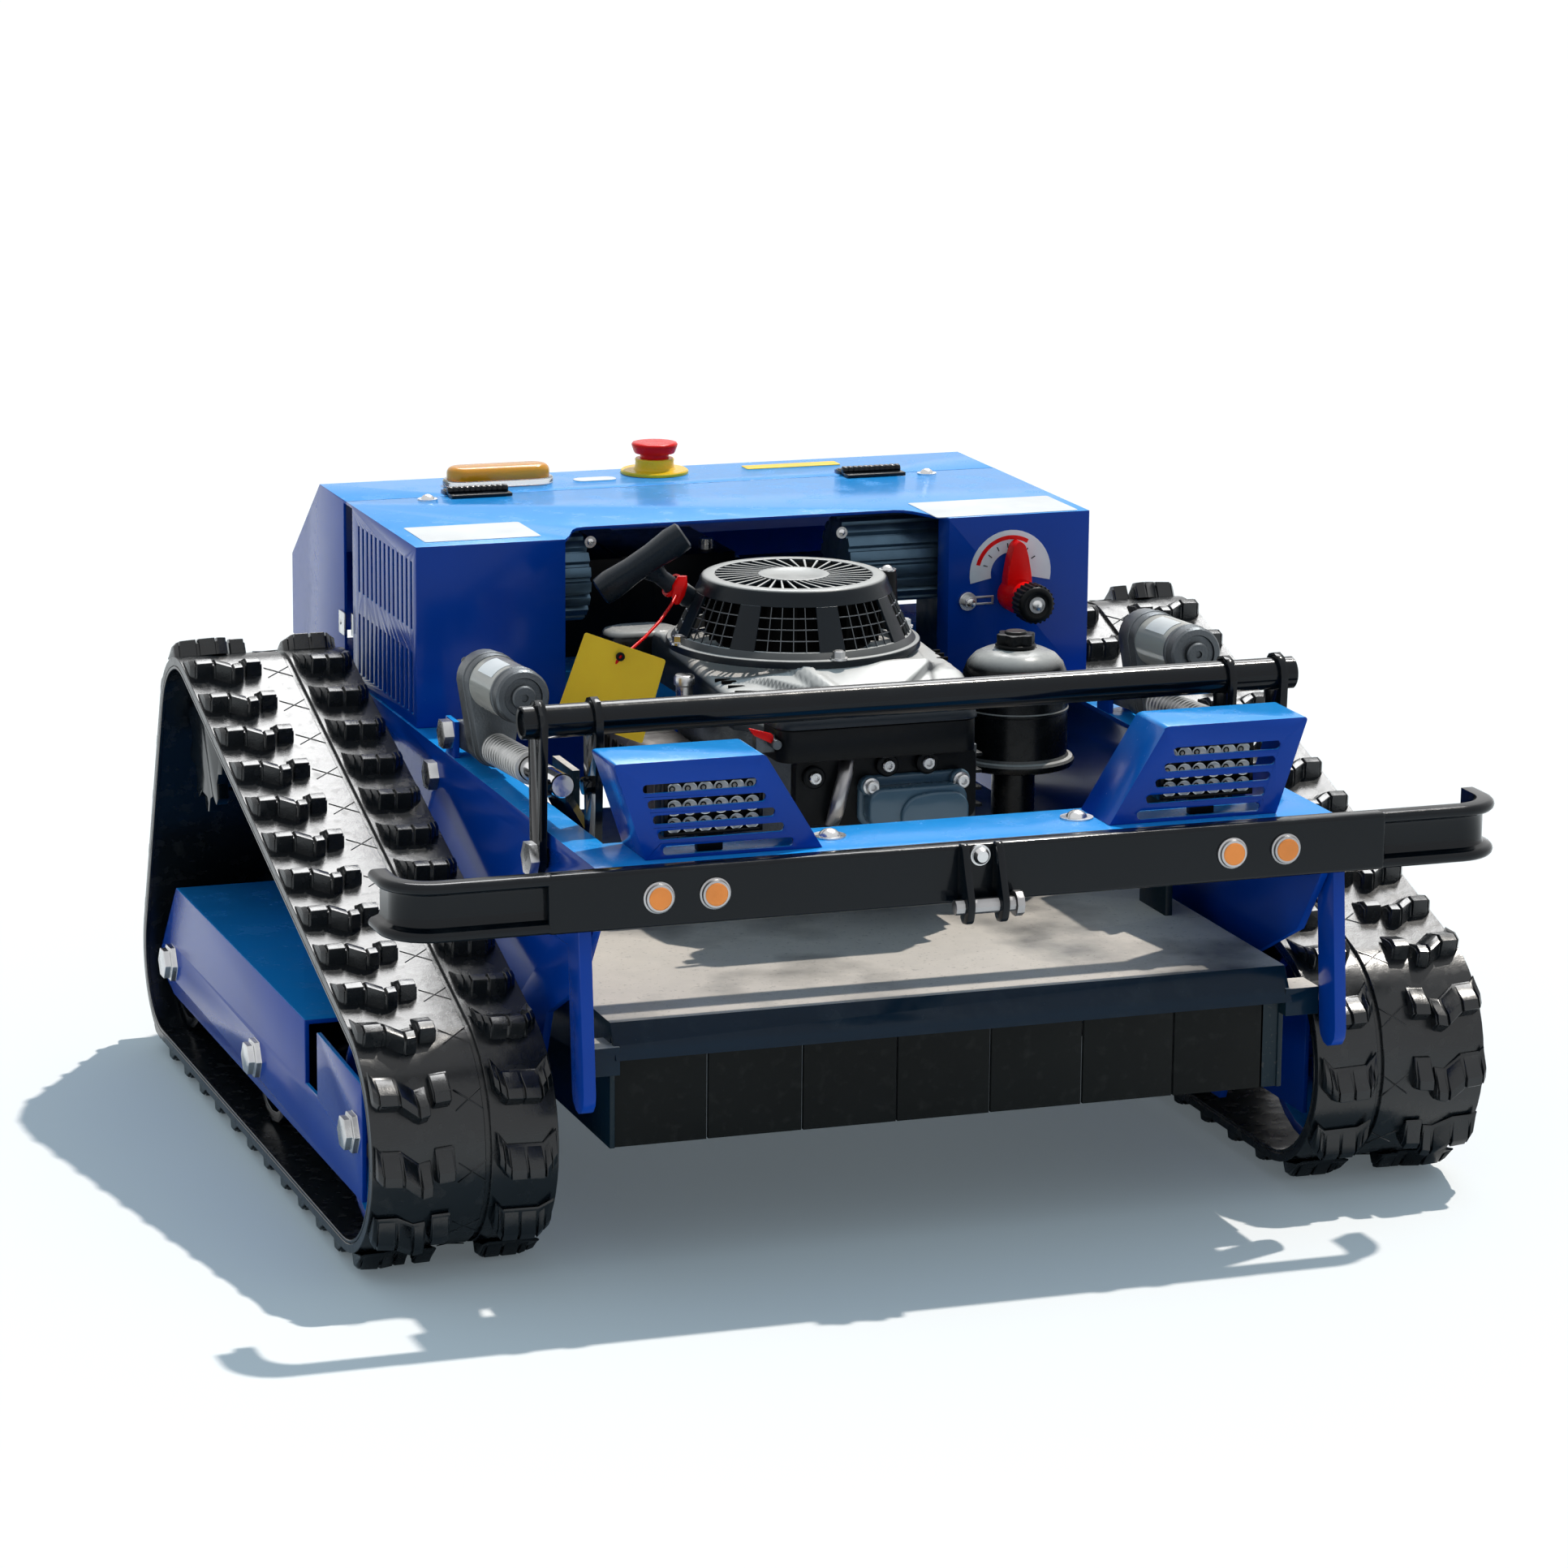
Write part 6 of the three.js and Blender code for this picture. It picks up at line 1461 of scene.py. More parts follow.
# %% Breather tube and choke lever
TUBE_ROUTE = ((-18, -206, 350, 6.2), (-22, -213, 338, 6.2), (-27, -215, 322, 6.4), (-30, -214, 306, 6.4),
              (-31, -208, 296, 5.6))
CHOKE_OUTLINE = ((-106, 382), (-86, 376), (-86, 368), (-102, 376))
tube_bm, choke_bm, bracket_bm = bmesh.new(), bmesh.new(), bmesh.new()
lofted(tube_bm, [soft_section(mm(x, y, z), X, Y, r, r, 2) for x, y, z, r in TUBE_ROUTE])
part_of(tube_bm, "engine_block", "breather_tube", STEEL, angle=math.radians(60))
plate(choke_bm, [mm(x, -222, z) for x, z in CHOKE_OUTLINE], Y * 4 * MM, corner=1.5)
part_of(choke_bm, "engine_block", "choke_lever", RED_PLASTIC, width=0.8)
block(bracket_bm, mm(-98, -215, 360), mm(-82, -205, 374))
bar(bracket_bm, mm(-84, -205, 368), mm(-84, -226, 368), 4, 20)
part_of(bracket_bm, "engine_block", "choke_bracket", CAST, width=0.6)

# %% [markdown]
# ## Fuel tank
# The tank is a blow moulded can with a round shoulder, a welded lip where it sits on its post, and a
# faint seam half way up. It is round, so its whole side is one profile that is turned. Its cap has six
# lobes for the fingers.

# %% Tank and cap
TANK_PLACE = mm(172, -88, 0)
TANK_PROFILE = [(0, 205.3), (18, 205.3), (18, 300), (24, 306), (46, 306), (49, 307.2), (50, 309.4),
                (50, 312), (48.6, 314), (45.4, 314.8), (44, 317), (44, 352), (44.8, 353), (44.8, 355),
                (44, 356), (44, 374), (43, 384), (39.6, 392.6), (33.6, 399), (25.6, 402.8), (17.5, 404),
                (17, 403.4), (0, 403.4)]
CAP_RIM = [(0, 0), (16, 0), (17, 1), (17, 2.6), (16, 3.4), (0, 3.4)]
CAP_CROWN = [(0, 11), (9.6, 11), (9.2, 13.2), (8, 14), (3, 13.4), (0, 13.2)]
CAP_LOBES = 6
CAP_RADIUS, LOBE_HEIGHT = 14.9, 1.7
CAP_PLACE = TANK_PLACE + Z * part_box("fuel_cap")[0].z


def round_outline(count, radius_at):
    """Flat points round the origin whose radius depends on the angle."""
    angles = [2 * math.pi * k / count for k in range(count)]
    return [Vector((math.cos(a), math.sin(a), 0)) * radius_at(a) * MM for a in angles]


tank_bm, cap_bm = bmesh.new(), bmesh.new()
turned(tank_bm, TANK_PROFILE, TANK_PLACE, steps=64)
stands_for(tank_bm, "fuel_tank", "fuel_tank_body", TANK_PLASTIC)
turned(cap_bm, CAP_RIM, CAP_PLACE, steps=40)
lobes = round_outline(72, lambda a: CAP_RADIUS + LOBE_HEIGHT * math.cos(CAP_LOBES * a))
plate(cap_bm, [CAP_PLACE + Z * 3 * MM + point for point in lobes], Z * 8.6 * MM)
turned(cap_bm, CAP_CROWN, CAP_PLACE, steps=40)
stands_for(cap_bm, "fuel_cap", "fuel_cap_body", BLACK_PLASTIC, width=0.9)

# %% [markdown]
# ## Muffler
# The muffler stands on the side away from the tank. It is two pressed steel shells that are crimped
# together, so its sections swell at both ends and stand proud in the middle seam. Its heat shield has
# slots, drawn as dark pads of painted shade, and a short pipe leads down from it.

# %% Muffler
MUFFLER_LOW, MUFFLER_HIGH = box_mm("muffler")
MUFFLER_MIDDLE = (MUFFLER_LOW + MUFFLER_HIGH) / 2
MUFFLER_HALF = (MUFFLER_HIGH - MUFFLER_LOW) / 2
MUFFLER_SECTIONS = ((0, 0.86), (2, 0.95), (7, 0.98), (70, 0.98), (73, 0.99), (73.2, 1), (77, 1), (77.2, 0.99),
                    (80, 0.98), (143, 0.98), (148, 0.95), (150, 0.86))
SHIELD_SLOT = ((-92, 288), (-82, 288), (-82, 330), (-92, 330))
SHIELD_SLOTS = 6
OUTLET_ALONG = Vector((0, 0.5, -1)).normalized()
muffler_bm, shield_bm, outlet_bm = bmesh.new(), bmesh.new(), bmesh.new()
lofted(muffler_bm, [soft_section(mm(MUFFLER_MIDDLE.x, MUFFLER_LOW.y + y, MUFFLER_MIDDLE.z), X, Z,
                                 MUFFLER_HALF.x * size, MUFFLER_HALF.z * size, 5, 32)
                    for y, size in MUFFLER_SECTIONS])
stands_for(muffler_bm, "muffler", "muffler_shells", SOOTY, angle=math.radians(40))
for k in range(SHIELD_SLOTS):
    plate(shield_bm, [mm(MUFFLER_LOW.x - 0.6, y + 20 * k, z) for y, z in SHIELD_SLOT], X * 2 * MM, corner=4)
part_of(shield_bm, "muffler", "muffler_slots_painted_shade", PAINTED_SHADE)
ring_of(outlet_bm, [(8, 0), (10, 0), (10, 18), (8, 18)],
        mm(MUFFLER_MIDDLE.x, MUFFLER_HIGH.y - 22, MUFFLER_LOW.z + 3), OUTLET_ALONG, 28)
part_of(outlet_bm, "muffler", "muffler_outlet", SOOTY)

# %% [markdown]
# A black coil housing sits behind the fan, and the bright neck of the oil filler stands at the engine's
# left.

# %% Small engine parts
COIL_SECTIONS = ((378, 30, 20), (381, 34, 23), (396, 34, 23), (402, 31, 21), (404, 24, 16))
FILLER_PROFILE = [(0, 350), (7, 350), (7, 384), (8.6, 385), (8.6, 391), (7.4, 393), (0, 393)]
coil_bm, filler_bm = bmesh.new(), bmesh.new()
lofted(coil_bm, [soft_section(mm(-97, 84, z), X, Y, a, b, 3) for z, a, b in COIL_SECTIONS])
bar(coil_bm, mm(-68, 74, 392), mm(-52, 60, 396), 8, 24)
part_of(coil_bm, "engine_shroud", "coil_housing", TANK_PLASTIC, angle=math.radians(50))
turned(filler_bm, FILLER_PROFILE, mm(-107, -62, 0), Z, 28)
part_of(filler_bm, "engine_block", "oil_filler", ZINC, width=0.4)

# %% [markdown]
# ## Lift tube
# One steel tube joins the four lift levers and lifts the deck evenly. Its ends are closed with sunk
# discs, so the tube is a ring profile turned about X, and each disc sits a little inside.

# %% Lift tube
TUBE_LOW, TUBE_HIGH = box_mm("lift_cross_tube")
TUBE_MIDDLE = (TUBE_LOW + TUBE_HIGH) / 2
TUBE_HALF = TUBE_HIGH.x - TUBE_MIDDLE.x
TUBE_RADIUS = (TUBE_HIGH.z - TUBE_LOW.z) / 2
TUBE_WALL = 3
TUBE_RIM = [(TUBE_RADIUS - TUBE_WALL, TUBE_HALF - 0.6), (TUBE_RADIUS - 0.8, TUBE_HALF),
            (TUBE_RADIUS, TUBE_HALF - 0.8)]
tube_profile = [(radius, -reach) for radius, reach in TUBE_RIM] + TUBE_RIM[::-1]
cross_bm = bmesh.new()
ring_of(cross_bm, tube_profile, TUBE_MIDDLE * MM, X, 64)
disc_radius = TUBE_RADIUS - TUBE_WALL + 0.2
for end in (-1, 1):
    turned(cross_bm, [(0, 0), (disc_radius, 0), (disc_radius, 4), (0, 4)],
           (TUBE_MIDDLE + X * end * (TUBE_HALF - 3)) * MM, X * -end, 40)
stands_for(cross_bm, "lift_cross_tube", "lift_tube", BLACK)

# %% [markdown]
# ## Electric cylinders
# Each cylinder has its motor in a grey can, a cast gear head, a ribbed body and a polished rod. It lies a
# few degrees out of level, and drawing every part tilted would be hard. So the parts are made level and
# then turned together about the rear pin.

# %% Gear head and ribbed body
PIVOT_Y, PIVOT_Z = -40, 352
LEVER_PIN_Y, LEVER_PIN_Z = -310, 367
CYLINDER_TILT = math.atan2(LEVER_PIN_Z - PIVOT_Z, PIVOT_Y - LEVER_PIN_Y)
GEAR_FRONT, GEAR_REAR = -128, -94
BODY_FRONT = -222
BODY_RIBS = 14
CAN_Z = 405


def tilted(bm, x):
    """Turns a level cylinder part about its rear pin."""
    pin = mm(x, PIVOT_Y, PIVOT_Z)
    turn_by = Matrix.Translation(pin) @ Matrix.Rotation(-CYLINDER_TILT, 4, "X") @ Matrix.Translation(-pin)
    bmesh.ops.transform(bm, matrix=turn_by, verts=bm.verts)
    return bm


def half_circle(x, y, z, radius, first, steps=14):
    """Points of half a circle that looks along Y, from an angle onwards."""
    angles = [first + math.pi * k / steps for k in range(steps + 1)]
    return [mm(x + radius * math.cos(a), y, z + radius * math.sin(a)) for a in angles]


def capsule_outline(x, y, low_radius, high_radius):
    """The side of a gear head: a large arc round the can's axis and a small one round the pin's height."""
    return half_circle(x, y, CAN_Z, high_radius, 0) + half_circle(x, y, PIVOT_Z, low_radius, math.pi)


def ribbed_profile():
    """Half the section of the body, with ribs from the gear head to the front."""
    ribs = []
    for k in range(BODY_RIBS):
        start = -GEAR_FRONT - 2 + (GEAR_FRONT - BODY_FRONT) * k / BODY_RIBS
        ribs += [(13, start), (13, start + 4), (11.6, start + 4.6), (11.6, start + 6.4)]
    ribs = [(radius, min(depth, -BODY_FRONT)) for radius, depth in ribs]
    return [(10.2, -GEAR_FRONT - 2), *ribs, (13, -BODY_FRONT - 1), (13, -BODY_FRONT), (10.2, -BODY_FRONT)]


CYLINDER_X = {hand: sum(corner.x for corner in box_mm(f"lift_actuator_{hand}")) / 2 for hand, side in SIDES}
for hand, x in CYLINDER_X.items():
    node = f"lift_actuator_{hand}"
    gear_bm, body_bm = bmesh.new(), bmesh.new()
    plate(gear_bm, capsule_outline(x, GEAR_FRONT, 15, 23), Y * (GEAR_REAR - GEAR_FRONT) * MM)
    plate(gear_bm, capsule_outline(x, GEAR_FRONT + 12, 16, 23.8), Y * 4 * MM)
    block(gear_bm, mm(x - 9, GEAR_REAR - 2, PIVOT_Z - 11), mm(x + 9, PIVOT_Y - 8, PIVOT_Z + 11))
    ring_of(gear_bm, [(6.5, -9), (11, -9), (11, 9), (6.5, 9)], mm(x, PIVOT_Y, PIVOT_Z), X, 32)
    stands_for(tilted(gear_bm, x), node, f"cylinder_gear_head_{hand}", CAST, width=1.0)
    ring_of(body_bm, ribbed_profile(), mm(x, 0, PIVOT_Z), -Y, 40)
    part_of(tilted(body_bm, x), node, f"cylinder_body_{hand}", ALUMINIUM)

# %% [markdown]
# The motor is a drawn can with a cast cap and a plain label that follows its round. The rod has a groove
# near its front end. All of them are turned about Y, and the label is a thin loft over a few degrees.

# %% Motor can, cap, label, screws and rod
CAN_PROFILE = [(0, -GEAR_FRONT - 1), (22, -GEAR_FRONT - 1), (22, 186), (21.2, 187), (0, 187)]
CAN_CAP = [(0, 186.6), (22.2, 186.6), (22.4, 188), (22.4, 190), (21.6, 191), (21.6, 202), (20, 204.4),
           (15.5, 205), (14.8, 203), (10, 203), (9.6, 207), (8.4, 208.4), (3, 208.4), (2.6, 206.5),
           (0, 206.5)]
LABEL_SECTION = ((22.05, -178), (22.35, -178), (22.35, -140), (22.05, -140))
LABEL_ANGLES = [math.radians(96 + 6 * k) for k in range(9)]
CAN_SCREWS = ((-15, 14), (15, 14), (-13, -22), (13, -22))
ROD_PROFILE = [(0, 173), (9.5, 173), (9.5, 268), (8.9, 268.6), (8.9, 271), (9.5, 271.6), (9.5, 305),
               (8.5, 306), (0, 306)]
for hand, x in CYLINDER_X.items():
    node = f"lift_actuator_{hand}"
    can_bm, cap_end_bm, label_bm, screw_bm, rod_bm = (bmesh.new() for piece in range(5))
    turned(can_bm, CAN_PROFILE, mm(x, 0, CAN_Z), -Y, 56)
    part_of(tilted(can_bm, x), node, f"cylinder_can_{hand}", GREY_CAN)
    turned(cap_end_bm, CAN_CAP, mm(x, 0, CAN_Z), -Y, 56)
    part_of(tilted(cap_end_bm, x), node, f"cylinder_cap_{hand}", CAST)
    lofted(label_bm, [[mm(x + r * math.cos(a), y, CAN_Z + r * math.sin(a)) for r, y in LABEL_SECTION]
                      for a in LABEL_ANGLES])
    part_of(tilted(label_bm, x), node, f"cylinder_label_{hand}", WHITE)
    for across, up in CAN_SCREWS:
        dome_bolt(screw_bm, mm(x + across, GEAR_REAR, CAN_Z + up), Y, 3.4, 2.6)
    part_of(tilted(screw_bm, x), node, f"cylinder_screws_{hand}", ZINC)
    turned(rod_bm, ROD_PROFILE, mm(x, 0, PIVOT_Z), -Y, 40)
    stands_for(tilted(rod_bm, x), f"actuator_rod_{hand}", f"cylinder_rod_{hand}", CHROME)

# %% [markdown]
# ## Hinges
# Black moulded hinges join the rear cover to the hood. Each has a ribbed barrel with a fixed leaf in
# front and a moving leaf behind. The moving leaf rides with the cover, so it is a piece of its own.

# %% Hinges
HINGE_Y, HINGE_Z = 284.75, 490.3
BARREL = 4
BARREL_RIBS = 11
for hand, side in SIDES:
    node = f"cover_hinge_{hand}"
    low, high = box_mm(node)
    step = (high.x - low.x) / BARREL_RIBS
    hinge_bm, leaf_bm = bmesh.new(), bmesh.new()
    block(hinge_bm, mm(low.x, low.y, low.z), mm(high.x, HINGE_Y - 2.4, low.z + 2.8))
    block(leaf_bm, mm(low.x - 0.2, HINGE_Y + 4, low.z - 0.1), mm(high.x + 0.2, HINGE_Y + 16.6, low.z + 3.1))
    ribs = []
    for k in range(BARREL_RIBS):
        start, middle = k * step, low.x + (k + 0.5) * step
        ribs += [(BARREL - 0.9, start), (BARREL, start + 0.5), (BARREL, start + step - 1.1),
                 (BARREL - 0.9, start + step - 0.6)]
        block(leaf_bm, mm(middle - step * 0.3, HINGE_Y + 4.4, low.z + 3),
              mm(middle + step * 0.3, HINGE_Y + 15.6, low.z + 4))
    barrel_profile = [(0, 0), *ribs, (BARREL - 0.9, high.x - low.x), (0, high.x - low.x)]
    turned(hinge_bm, barrel_profile, mm(low.x, HINGE_Y, HINGE_Z), X, 28)
    stands_for(hinge_bm, node, f"hinge_fixed_{hand}", BLACK, width=0.5)
    part_of(leaf_bm, "rear_cover", f"hinge_moving_{hand}", BLACK, width=0.4)

# %% [markdown]
# ## Stop button
# The stop button is a red mushroom over a yellow collar with a broad ring. Both are turned. The head has
# a dished top and a soft rim, so its corners are shaded smooth up to 50 degrees.

# %% Stop button
STOP_PLACE = mm(0, 347, 0)
STOP_FOOT = box_mm("stop_button_base")[0].z
HEAD_FOOT = 17.3
COLLAR_PROFILE = [(13, 0), (30, 0), (30, 2), (29, 3), (19, 3.4), (17.6, 5), (17, 9), (17.4, 12), (16.6, 13),
                  (13, 13)]
HEAD_PROFILE = [(0, -12), (12.6, -12), (12.6, 0.2), (17.8, 0.5), (18.6, 2), (20, 6), (20.5, 8), (19.6, 9.4),
                (16, 9.9), (7, 9.6), (0, 9.4)]
collar_bm, mushroom_bm = bmesh.new(), bmesh.new()
ring_of(collar_bm, COLLAR_PROFILE, STOP_PLACE + Z * STOP_FOOT * MM, Z, 64)
stands_for(collar_bm, "stop_button_base", "stop_collar", YELLOW_PLASTIC)
turned(mushroom_bm, HEAD_PROFILE, STOP_PLACE + Z * (STOP_FOOT + HEAD_FOOT) * MM, Z, 64)
stands_for(mushroom_bm, "stop_button", "stop_head", RED_PLASTIC, angle=math.radians(50))

# %% [markdown]
# ## Amber lamp
# The lamp on the roof is a flat amber capsule on a clear foot, with bright flutes inside that spread its
# light. Foot and capsule are plates with round ends, and the capsule's top edges get a wide bevel.

# %% Amber lamp
BEACON_LOW, BEACON_HIGH = box_mm("beacon_lamp")
CAPSULE_HEIGHT = 11.4
CAPSULE_BEVEL = 6
FLUTES = 12
FLUTE_STEP = 5.3
beacon_base_bm, beacon_bm, flute_bm = bmesh.new(), bmesh.new(), bmesh.new()
plate(beacon_base_bm, level(BEACON_LOW, BEACON_HIGH, BEACON_LOW.z), Z * 6 * MM, corner=16, steps=8)
stands_for(beacon_base_bm, "beacon_lamp", "beacon_base", GLASS, width=1.5, steps=3)
plate(beacon_bm, level(BEACON_LOW, BEACON_HIGH, BEACON_LOW.z + 5.6, 3, 3), Z * CAPSULE_HEIGHT * MM,
      corner=14.4, steps=8)
bevelled(beacon_bm, top_edges(beacon_bm, BEACON_LOW.z + 16.5), CAPSULE_BEVEL, 5)
part_of(beacon_bm, "beacon_lamp", "beacon_capsule", AMBER)
for k in range(FLUTES):
    x, z = BEACON_LOW.x + 20 + k * FLUTE_STEP, BEACON_LOW.z + 8
    bar(flute_bm, mm(x, BEACON_LOW.y + 5, z), mm(x, BEACON_HIGH.y - 5, z), 2, 10)
part_of(flute_bm, "beacon_lamp", "beacon_reflector", CHROME)

# %% [markdown]
# ## Plain plates and roof bolts
# Plain stickers lie on the roof and the cover. They are real plates of half a millimetre with round
# corners, because an image would need a texture and a bump alone has no edge.

# %% Plates and bolts on the roof
HOOD_TOP = box_mm("front_hood")[1].z
COVER_ROOF = STOP_FOOT - 0.3
PLATE_SINK = 0.1
PLATE_HEIGHT = 0.6
PLATES = (("plain_plate_left", "front_hood", (-285, -185), (80, 148), HOOD_TOP, WHITE, 3),
          ("plain_plate_right", "front_hood", (160, 289), (65, 137), HOOD_TOP, WHITE, 3),
          ("plain_spot", "rear_cover", (-80, -42), (320, 338), COVER_ROOF, WHITE, 8),
          ("plain_strip", "rear_cover", (84, 172), (338, 356), COVER_ROOF, CARD, 2))
for name, node, (x0, x1), (y0, y1), z, material, corner in PLATES:
    plate_bm = bmesh.new()
    corners = level(Vector((x0, y0, 0)), Vector((x1, y1, 0)), z - PLATE_SINK)
    plate(plate_bm, corners, Z * PLATE_HEIGHT * MM, corner)
    part_of(plate_bm, node, name, material)
hood_bolt_bm = bmesh.new()
for x in (-229, 229):
    dome_bolt(hood_bolt_bm, mm(x, 272, HOOD_TOP), Z, 6, 5, 8.5)
for x, z in ((-133, 473), (91, 469)):
    dome_bolt(hood_bolt_bm, mm(x, 112, z), -Y, 3.4, 2.6, 5)
part_of(hood_bolt_bm, "front_hood", "hood_bolts", ZINC)

# %% [markdown]
# ## Throttle
# A white dial with a red arc and a few ticks is fixed on the hood's face. Its pieces are bent strips, so
# each is a row of small outlines that step round the dial's centre.

# %% Dial
THROTTLE_X, THROTTLE_Z = 229, 418
DIAL_X, DIAL_Z = 226, 436
HOOD_FACE = 62
PRINT_FACE = HOOD_FACE - 0.7
TICKS = 7


def dial_arc(bm, inner, outer, start, end, front, depth, steps=24):
    """A flat piece of ring on the hood's face between two angles in degrees."""
    angles = [math.radians(start + (end - start) * k / steps) for k in range(steps + 1)]
    section = ((inner, front), (outer, front), (outer, front - depth), (inner, front - depth))
    lofted(bm, [[mm(DIAL_X + r * math.cos(a), y, DIAL_Z + r * math.sin(a)) for r, y in section]
                for a in angles])


dial_bm, arc_bm, tick_bm = bmesh.new(), bmesh.new(), bmesh.new()
dial_arc(dial_bm, 18, 37, -12, 192, HOOD_FACE, 0.8)
part_of(dial_bm, "front_hood", "dial_plate", WHITE)
dial_arc(arc_bm, 29, 32.5, 60, 165, PRINT_FACE, 0.4)
part_of(arc_bm, "front_hood", "dial_arc", RED_PLASTIC)
for k in range(TICKS):
    dial_arc(tick_bm, 22, 26, 30 + 22 * k, 32 + 22 * k, PRINT_FACE, 0.4, 1)
part_of(tick_bm, "front_hood", "dial_ticks", BLACK_PLASTIC)

# %% [markdown]
# The lever is a red hub with a leaf-shaped arm. A black knurled knob clamps it, whose flutes are one
# outline with a radius that goes up and down 24 times. A bright link leads from the lever into the hood.

# %% Lever, knob and link
LEVER_HUB = [(0, 0.3), (14, 0.3), (15, 1.3), (15, 15), (13.4, 19), (12, 26), (12, 34), (13, 36),
             (13, 38), (0, 38)]
LEVER_SHAPE = ((-12, -2), (12, -2), (11, 18), (8, 34), (5, 44), (0, 48), (-5, 44), (-8, 34), (-11, 18))
LEVER_BACK = HOOD_FACE - 2.2
KNOB_BACK = box_mm("throttle_knob")[1].y
KNOB_PLACE = mm(THROTTLE_X, KNOB_BACK, THROTTLE_Z)
KNOB_RADIUS, KNURL_HEIGHT, KNURLS = 16.3, 0.7, 24
KNOB_CROWN = [(0, 14.5), (15.6, 14.5), (14.8, 17), (13, 18), (10.5, 18), (9.6, 16.4), (0, 16.4)]
LINK_Z, LINK_LEFT, LINK_RIGHT = 413.5, 187, 211
lever_bm, knob_bm, knob_bolt_bm, link_bm = (bmesh.new() for piece in range(4))
turned(lever_bm, LEVER_HUB, mm(THROTTLE_X, HOOD_FACE, THROTTLE_Z), -Y, 40)
plate(lever_bm, [mm(THROTTLE_X + x, LEVER_BACK, THROTTLE_Z + z) for x, z in LEVER_SHAPE], -Y * 13 * MM,
      corner=2)
stands_for(lever_bm, "throttle_lever", "throttle_lever_arm", RED_PLASTIC, width=2.2, steps=3)
knurls = round_outline(192, lambda a: KNOB_RADIUS + KNURL_HEIGHT * math.cos(KNURLS * a))
plate(knob_bm, [KNOB_PLACE + Vector((point.x, 0, point.y)) for point in knurls], -Y * 15 * MM)
turned(knob_bm, KNOB_CROWN, KNOB_PLACE, -Y, 48)
stands_for(knob_bm, "throttle_knob", "throttle_knob_grip", BLACK_PLASTIC, width=0.3, steps=1)
dome_bolt(knob_bolt_bm, KNOB_PLACE - Y * 16.2 * MM, -Y, 5, 3, 7)
part_of(knob_bolt_bm, "throttle_knob", "knob_bolt", ZINC)
for z in (LINK_Z - 2.9, LINK_Z + 2.9):
    block(link_bm, mm(LINK_LEFT, HOOD_FACE - 1.4, z - 0.9), mm(LINK_RIGHT, HOOD_FACE - 0.3, z + 0.9))
block(link_bm, mm(LINK_RIGHT - 2, HOOD_FACE - 1.5, LINK_Z - 3.9),
      mm(LINK_RIGHT + 0.1, HOOD_FACE - 0.2, LINK_Z + 3.9))
hex_bolt(link_bm, mm(LINK_LEFT, HOOD_FACE, LINK_Z), -Y, 5.4, 6.5, 8, 3.2)
part_of(link_bm, "front_hood", "throttle_link", ZINC, width=0.3, steps=1)

# %% [markdown]
# ## Latches
# Spring latches hold the rear cover on both sides. The plate with its handle is screwed to the hood, and
# the hook that it grips rides with the cover. A small plate, a block and a dome make each.

# %% Latches
LATCH_X = 290.6
HOOK_X = 298.2
LATCH_OUTLINE = ((262, 362), (281, 362), (281, 394), (262, 394))
HOOK_OUTLINE = ((288, 368), (306, 368), (306, 388), (288, 388))
latch_bm, hook_bm = bmesh.new(), bmesh.new()
for side in (-1, 1):
    reach = side * LATCH_X
    grip = (reach, reach + side * 6)
    plate(latch_bm, [mm(reach, y, z) for y, z in LATCH_OUTLINE], X * side * 2 * MM, corner=2)
    block(latch_bm, mm(min(grip), 266, 370), mm(max(grip), 277, 390))
    dome_bolt(latch_bm, mm(reach + side * 2, 266, 365.5), X * side, 2.4, 1.6)
    plate(hook_bm, [mm(side * HOOK_X, y, z) for y, z in HOOK_OUTLINE], X * side * 1.6 * MM, corner=2)
    dome_bolt(hook_bm, mm(side * (HOOK_X + 1.4), 300, 378), X * side, 2.6, 1.6)
part_of(latch_bm, "front_hood", "latch_plates", ZINC, width=0.5)
part_of(hook_bm, "rear_cover", "latch_hooks", ZINC, width=0.4)

# %% [markdown]
# ## Battery and control box
# Under the rear cover stand the battery, with two posts and a band that holds it down, and the control
# box, with its screwed lid and five cable glands. They show when the cover is open.

# %% Battery and control box
BATTERY_TOP = box_mm("battery_pack")[1].z
BOX_TOP = box_mm("control_box")[1].z
GLAND_Z = BOX_TOP - 26
battery_bm, strap_bm, box_lid_bm, lid_screw_bm = (bmesh.new() for piece in range(4))
for x in (-100, 40):
    turned(battery_bm, [(0, 0), (7, 0), (6.4, 9), (0, 9)], mm(x, 322, BATTERY_TOP), Z, 24)
part_of(battery_bm, "battery_pack", "battery_posts", ZINC)
block(strap_bm, mm(-45, 299, BATTERY_TOP - 80), mm(-15, 431, BATTERY_TOP + 1.4))
part_of(strap_bm, "battery_pack", "battery_band", BLACK_PLASTIC, width=0.6)
plate(box_lid_bm, level(Vector((92, 307, 0)), Vector((208, 423, 0)), BOX_TOP - 9), Z * 11 * MM, corner=6)
for x in (110, 130, 150, 170, 190):
    bar(box_lid_bm, mm(x, 309, GLAND_Z), mm(x, 297, GLAND_Z), 6.5, 6)
part_of(box_lid_bm, "control_box", "control_box_lid", BLACK_PLASTIC, width=1.0)
for x in (100, 200):
    for y in (315, 415):
        dome_bolt(lid_screw_bm, mm(x, y, BOX_TOP + 2), Z, 3.2, 1.8)
part_of(lid_screw_bm, "control_box", "box_lid_screws", ZINC)

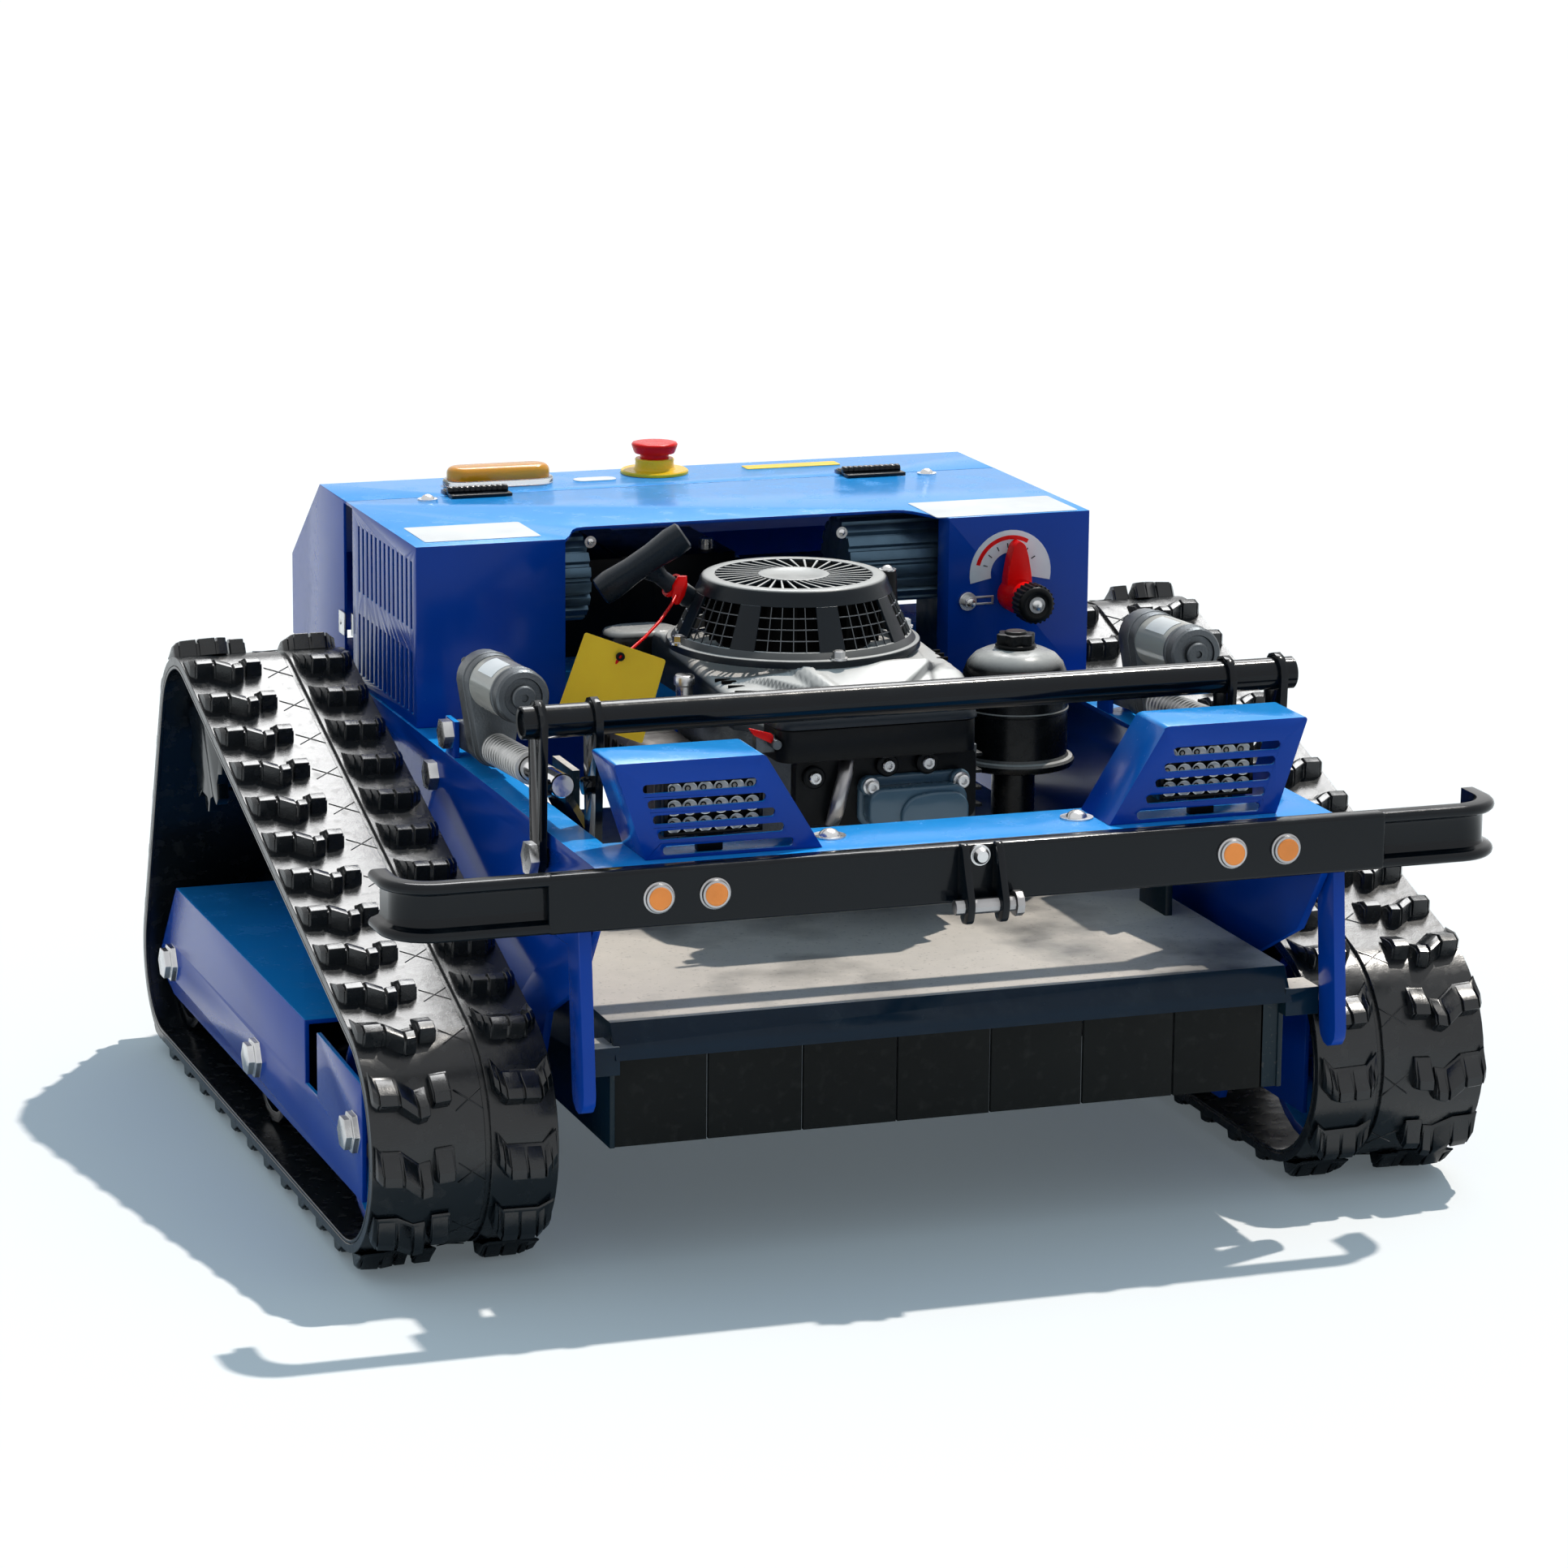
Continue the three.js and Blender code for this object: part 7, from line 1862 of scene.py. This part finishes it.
# %% [markdown]
# ## Last bolts and plugs
# Dome bolts hold the front plate and the rear plate, two plastic plugs close holes in the rear plate, a
# large bolt holds the blade, and a ring of hexagon bolts holds each wheel's hub.

# %% Bolts of the plates and the blade
REAR_FACE = 440
PLUG_PROFILE = [(0, 0), (15, 0), (15, 2), (12, 4.4), (10.5, 4.4), (10, 3.4), (0, 3.4)]
BLADE_FOOT = box_mm("cutter_blade")[0].z
front_bolt_bm, rear_bolt_bm, plug_bm, blade_bolt_bm = (bmesh.new() for piece in range(4))
for x in (-100, 103):
    dome_bolt(front_bolt_bm, mm(x, -392, 334), Z, 8.5, 6.5, 13)
part_of(front_bolt_bm, "chassis_frame", "front_plate_bolts", ZINC)
for x in (-220, -110, 0, 110, 220):
    dome_bolt(rear_bolt_bm, mm(x, REAR_FACE, 318), Y, 5, 3.6, 8.5)
part_of(rear_bolt_bm, "chassis_frame", "rear_plate_bolts", ZINC)
for x in (-150, 150):
    turned(plug_bm, PLUG_PROFILE, mm(x, REAR_FACE, 270), Y, 32)
part_of(plug_bm, "chassis_frame", "rear_plate_plugs", BLACK_PLASTIC)
hex_bolt(blade_bolt_bm, mm(0, -24, BLADE_FOOT), -Z, 11, 7, 17, 2.5)
part_of(blade_bolt_bm, "cutter_blade", "blade_bolt", ZINC)

# %% Wheel hub bolts
HUB_BOLTS = (("front_idler", 42, 6), ("rear_idler", 40, 5))
HUB_FACE = 15
for hand, side in SIDES:
    for wheel, radius, count in HUB_BOLTS:
        node = f"{wheel}_{hand}"
        low, high = box_mm(node)
        centre = (low + high) / 2
        hub_bolt_bm = bmesh.new()
        for a in (2 * math.pi * k / count for k in range(count)):
            away = Vector((side * HUB_FACE, radius * math.cos(a), radius * math.sin(a)))
            hex_bolt(hub_bolt_bm, (centre + away) * MM, X * side, 5, 4, 7)
        part_of(hub_bolt_bm, node, f"{wheel}_bolts_{hand}", ZINC)

# %% [markdown]
# ## Sizes
# The boxes of the CAD model and of the dressed machine are printed, as the lowest and the highest corner
# of each.

# %% Sizes and end
size_rows = [list(corner) for corner in (cad_low, cad_high, *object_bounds())]
print("boxes in m", size_rows)
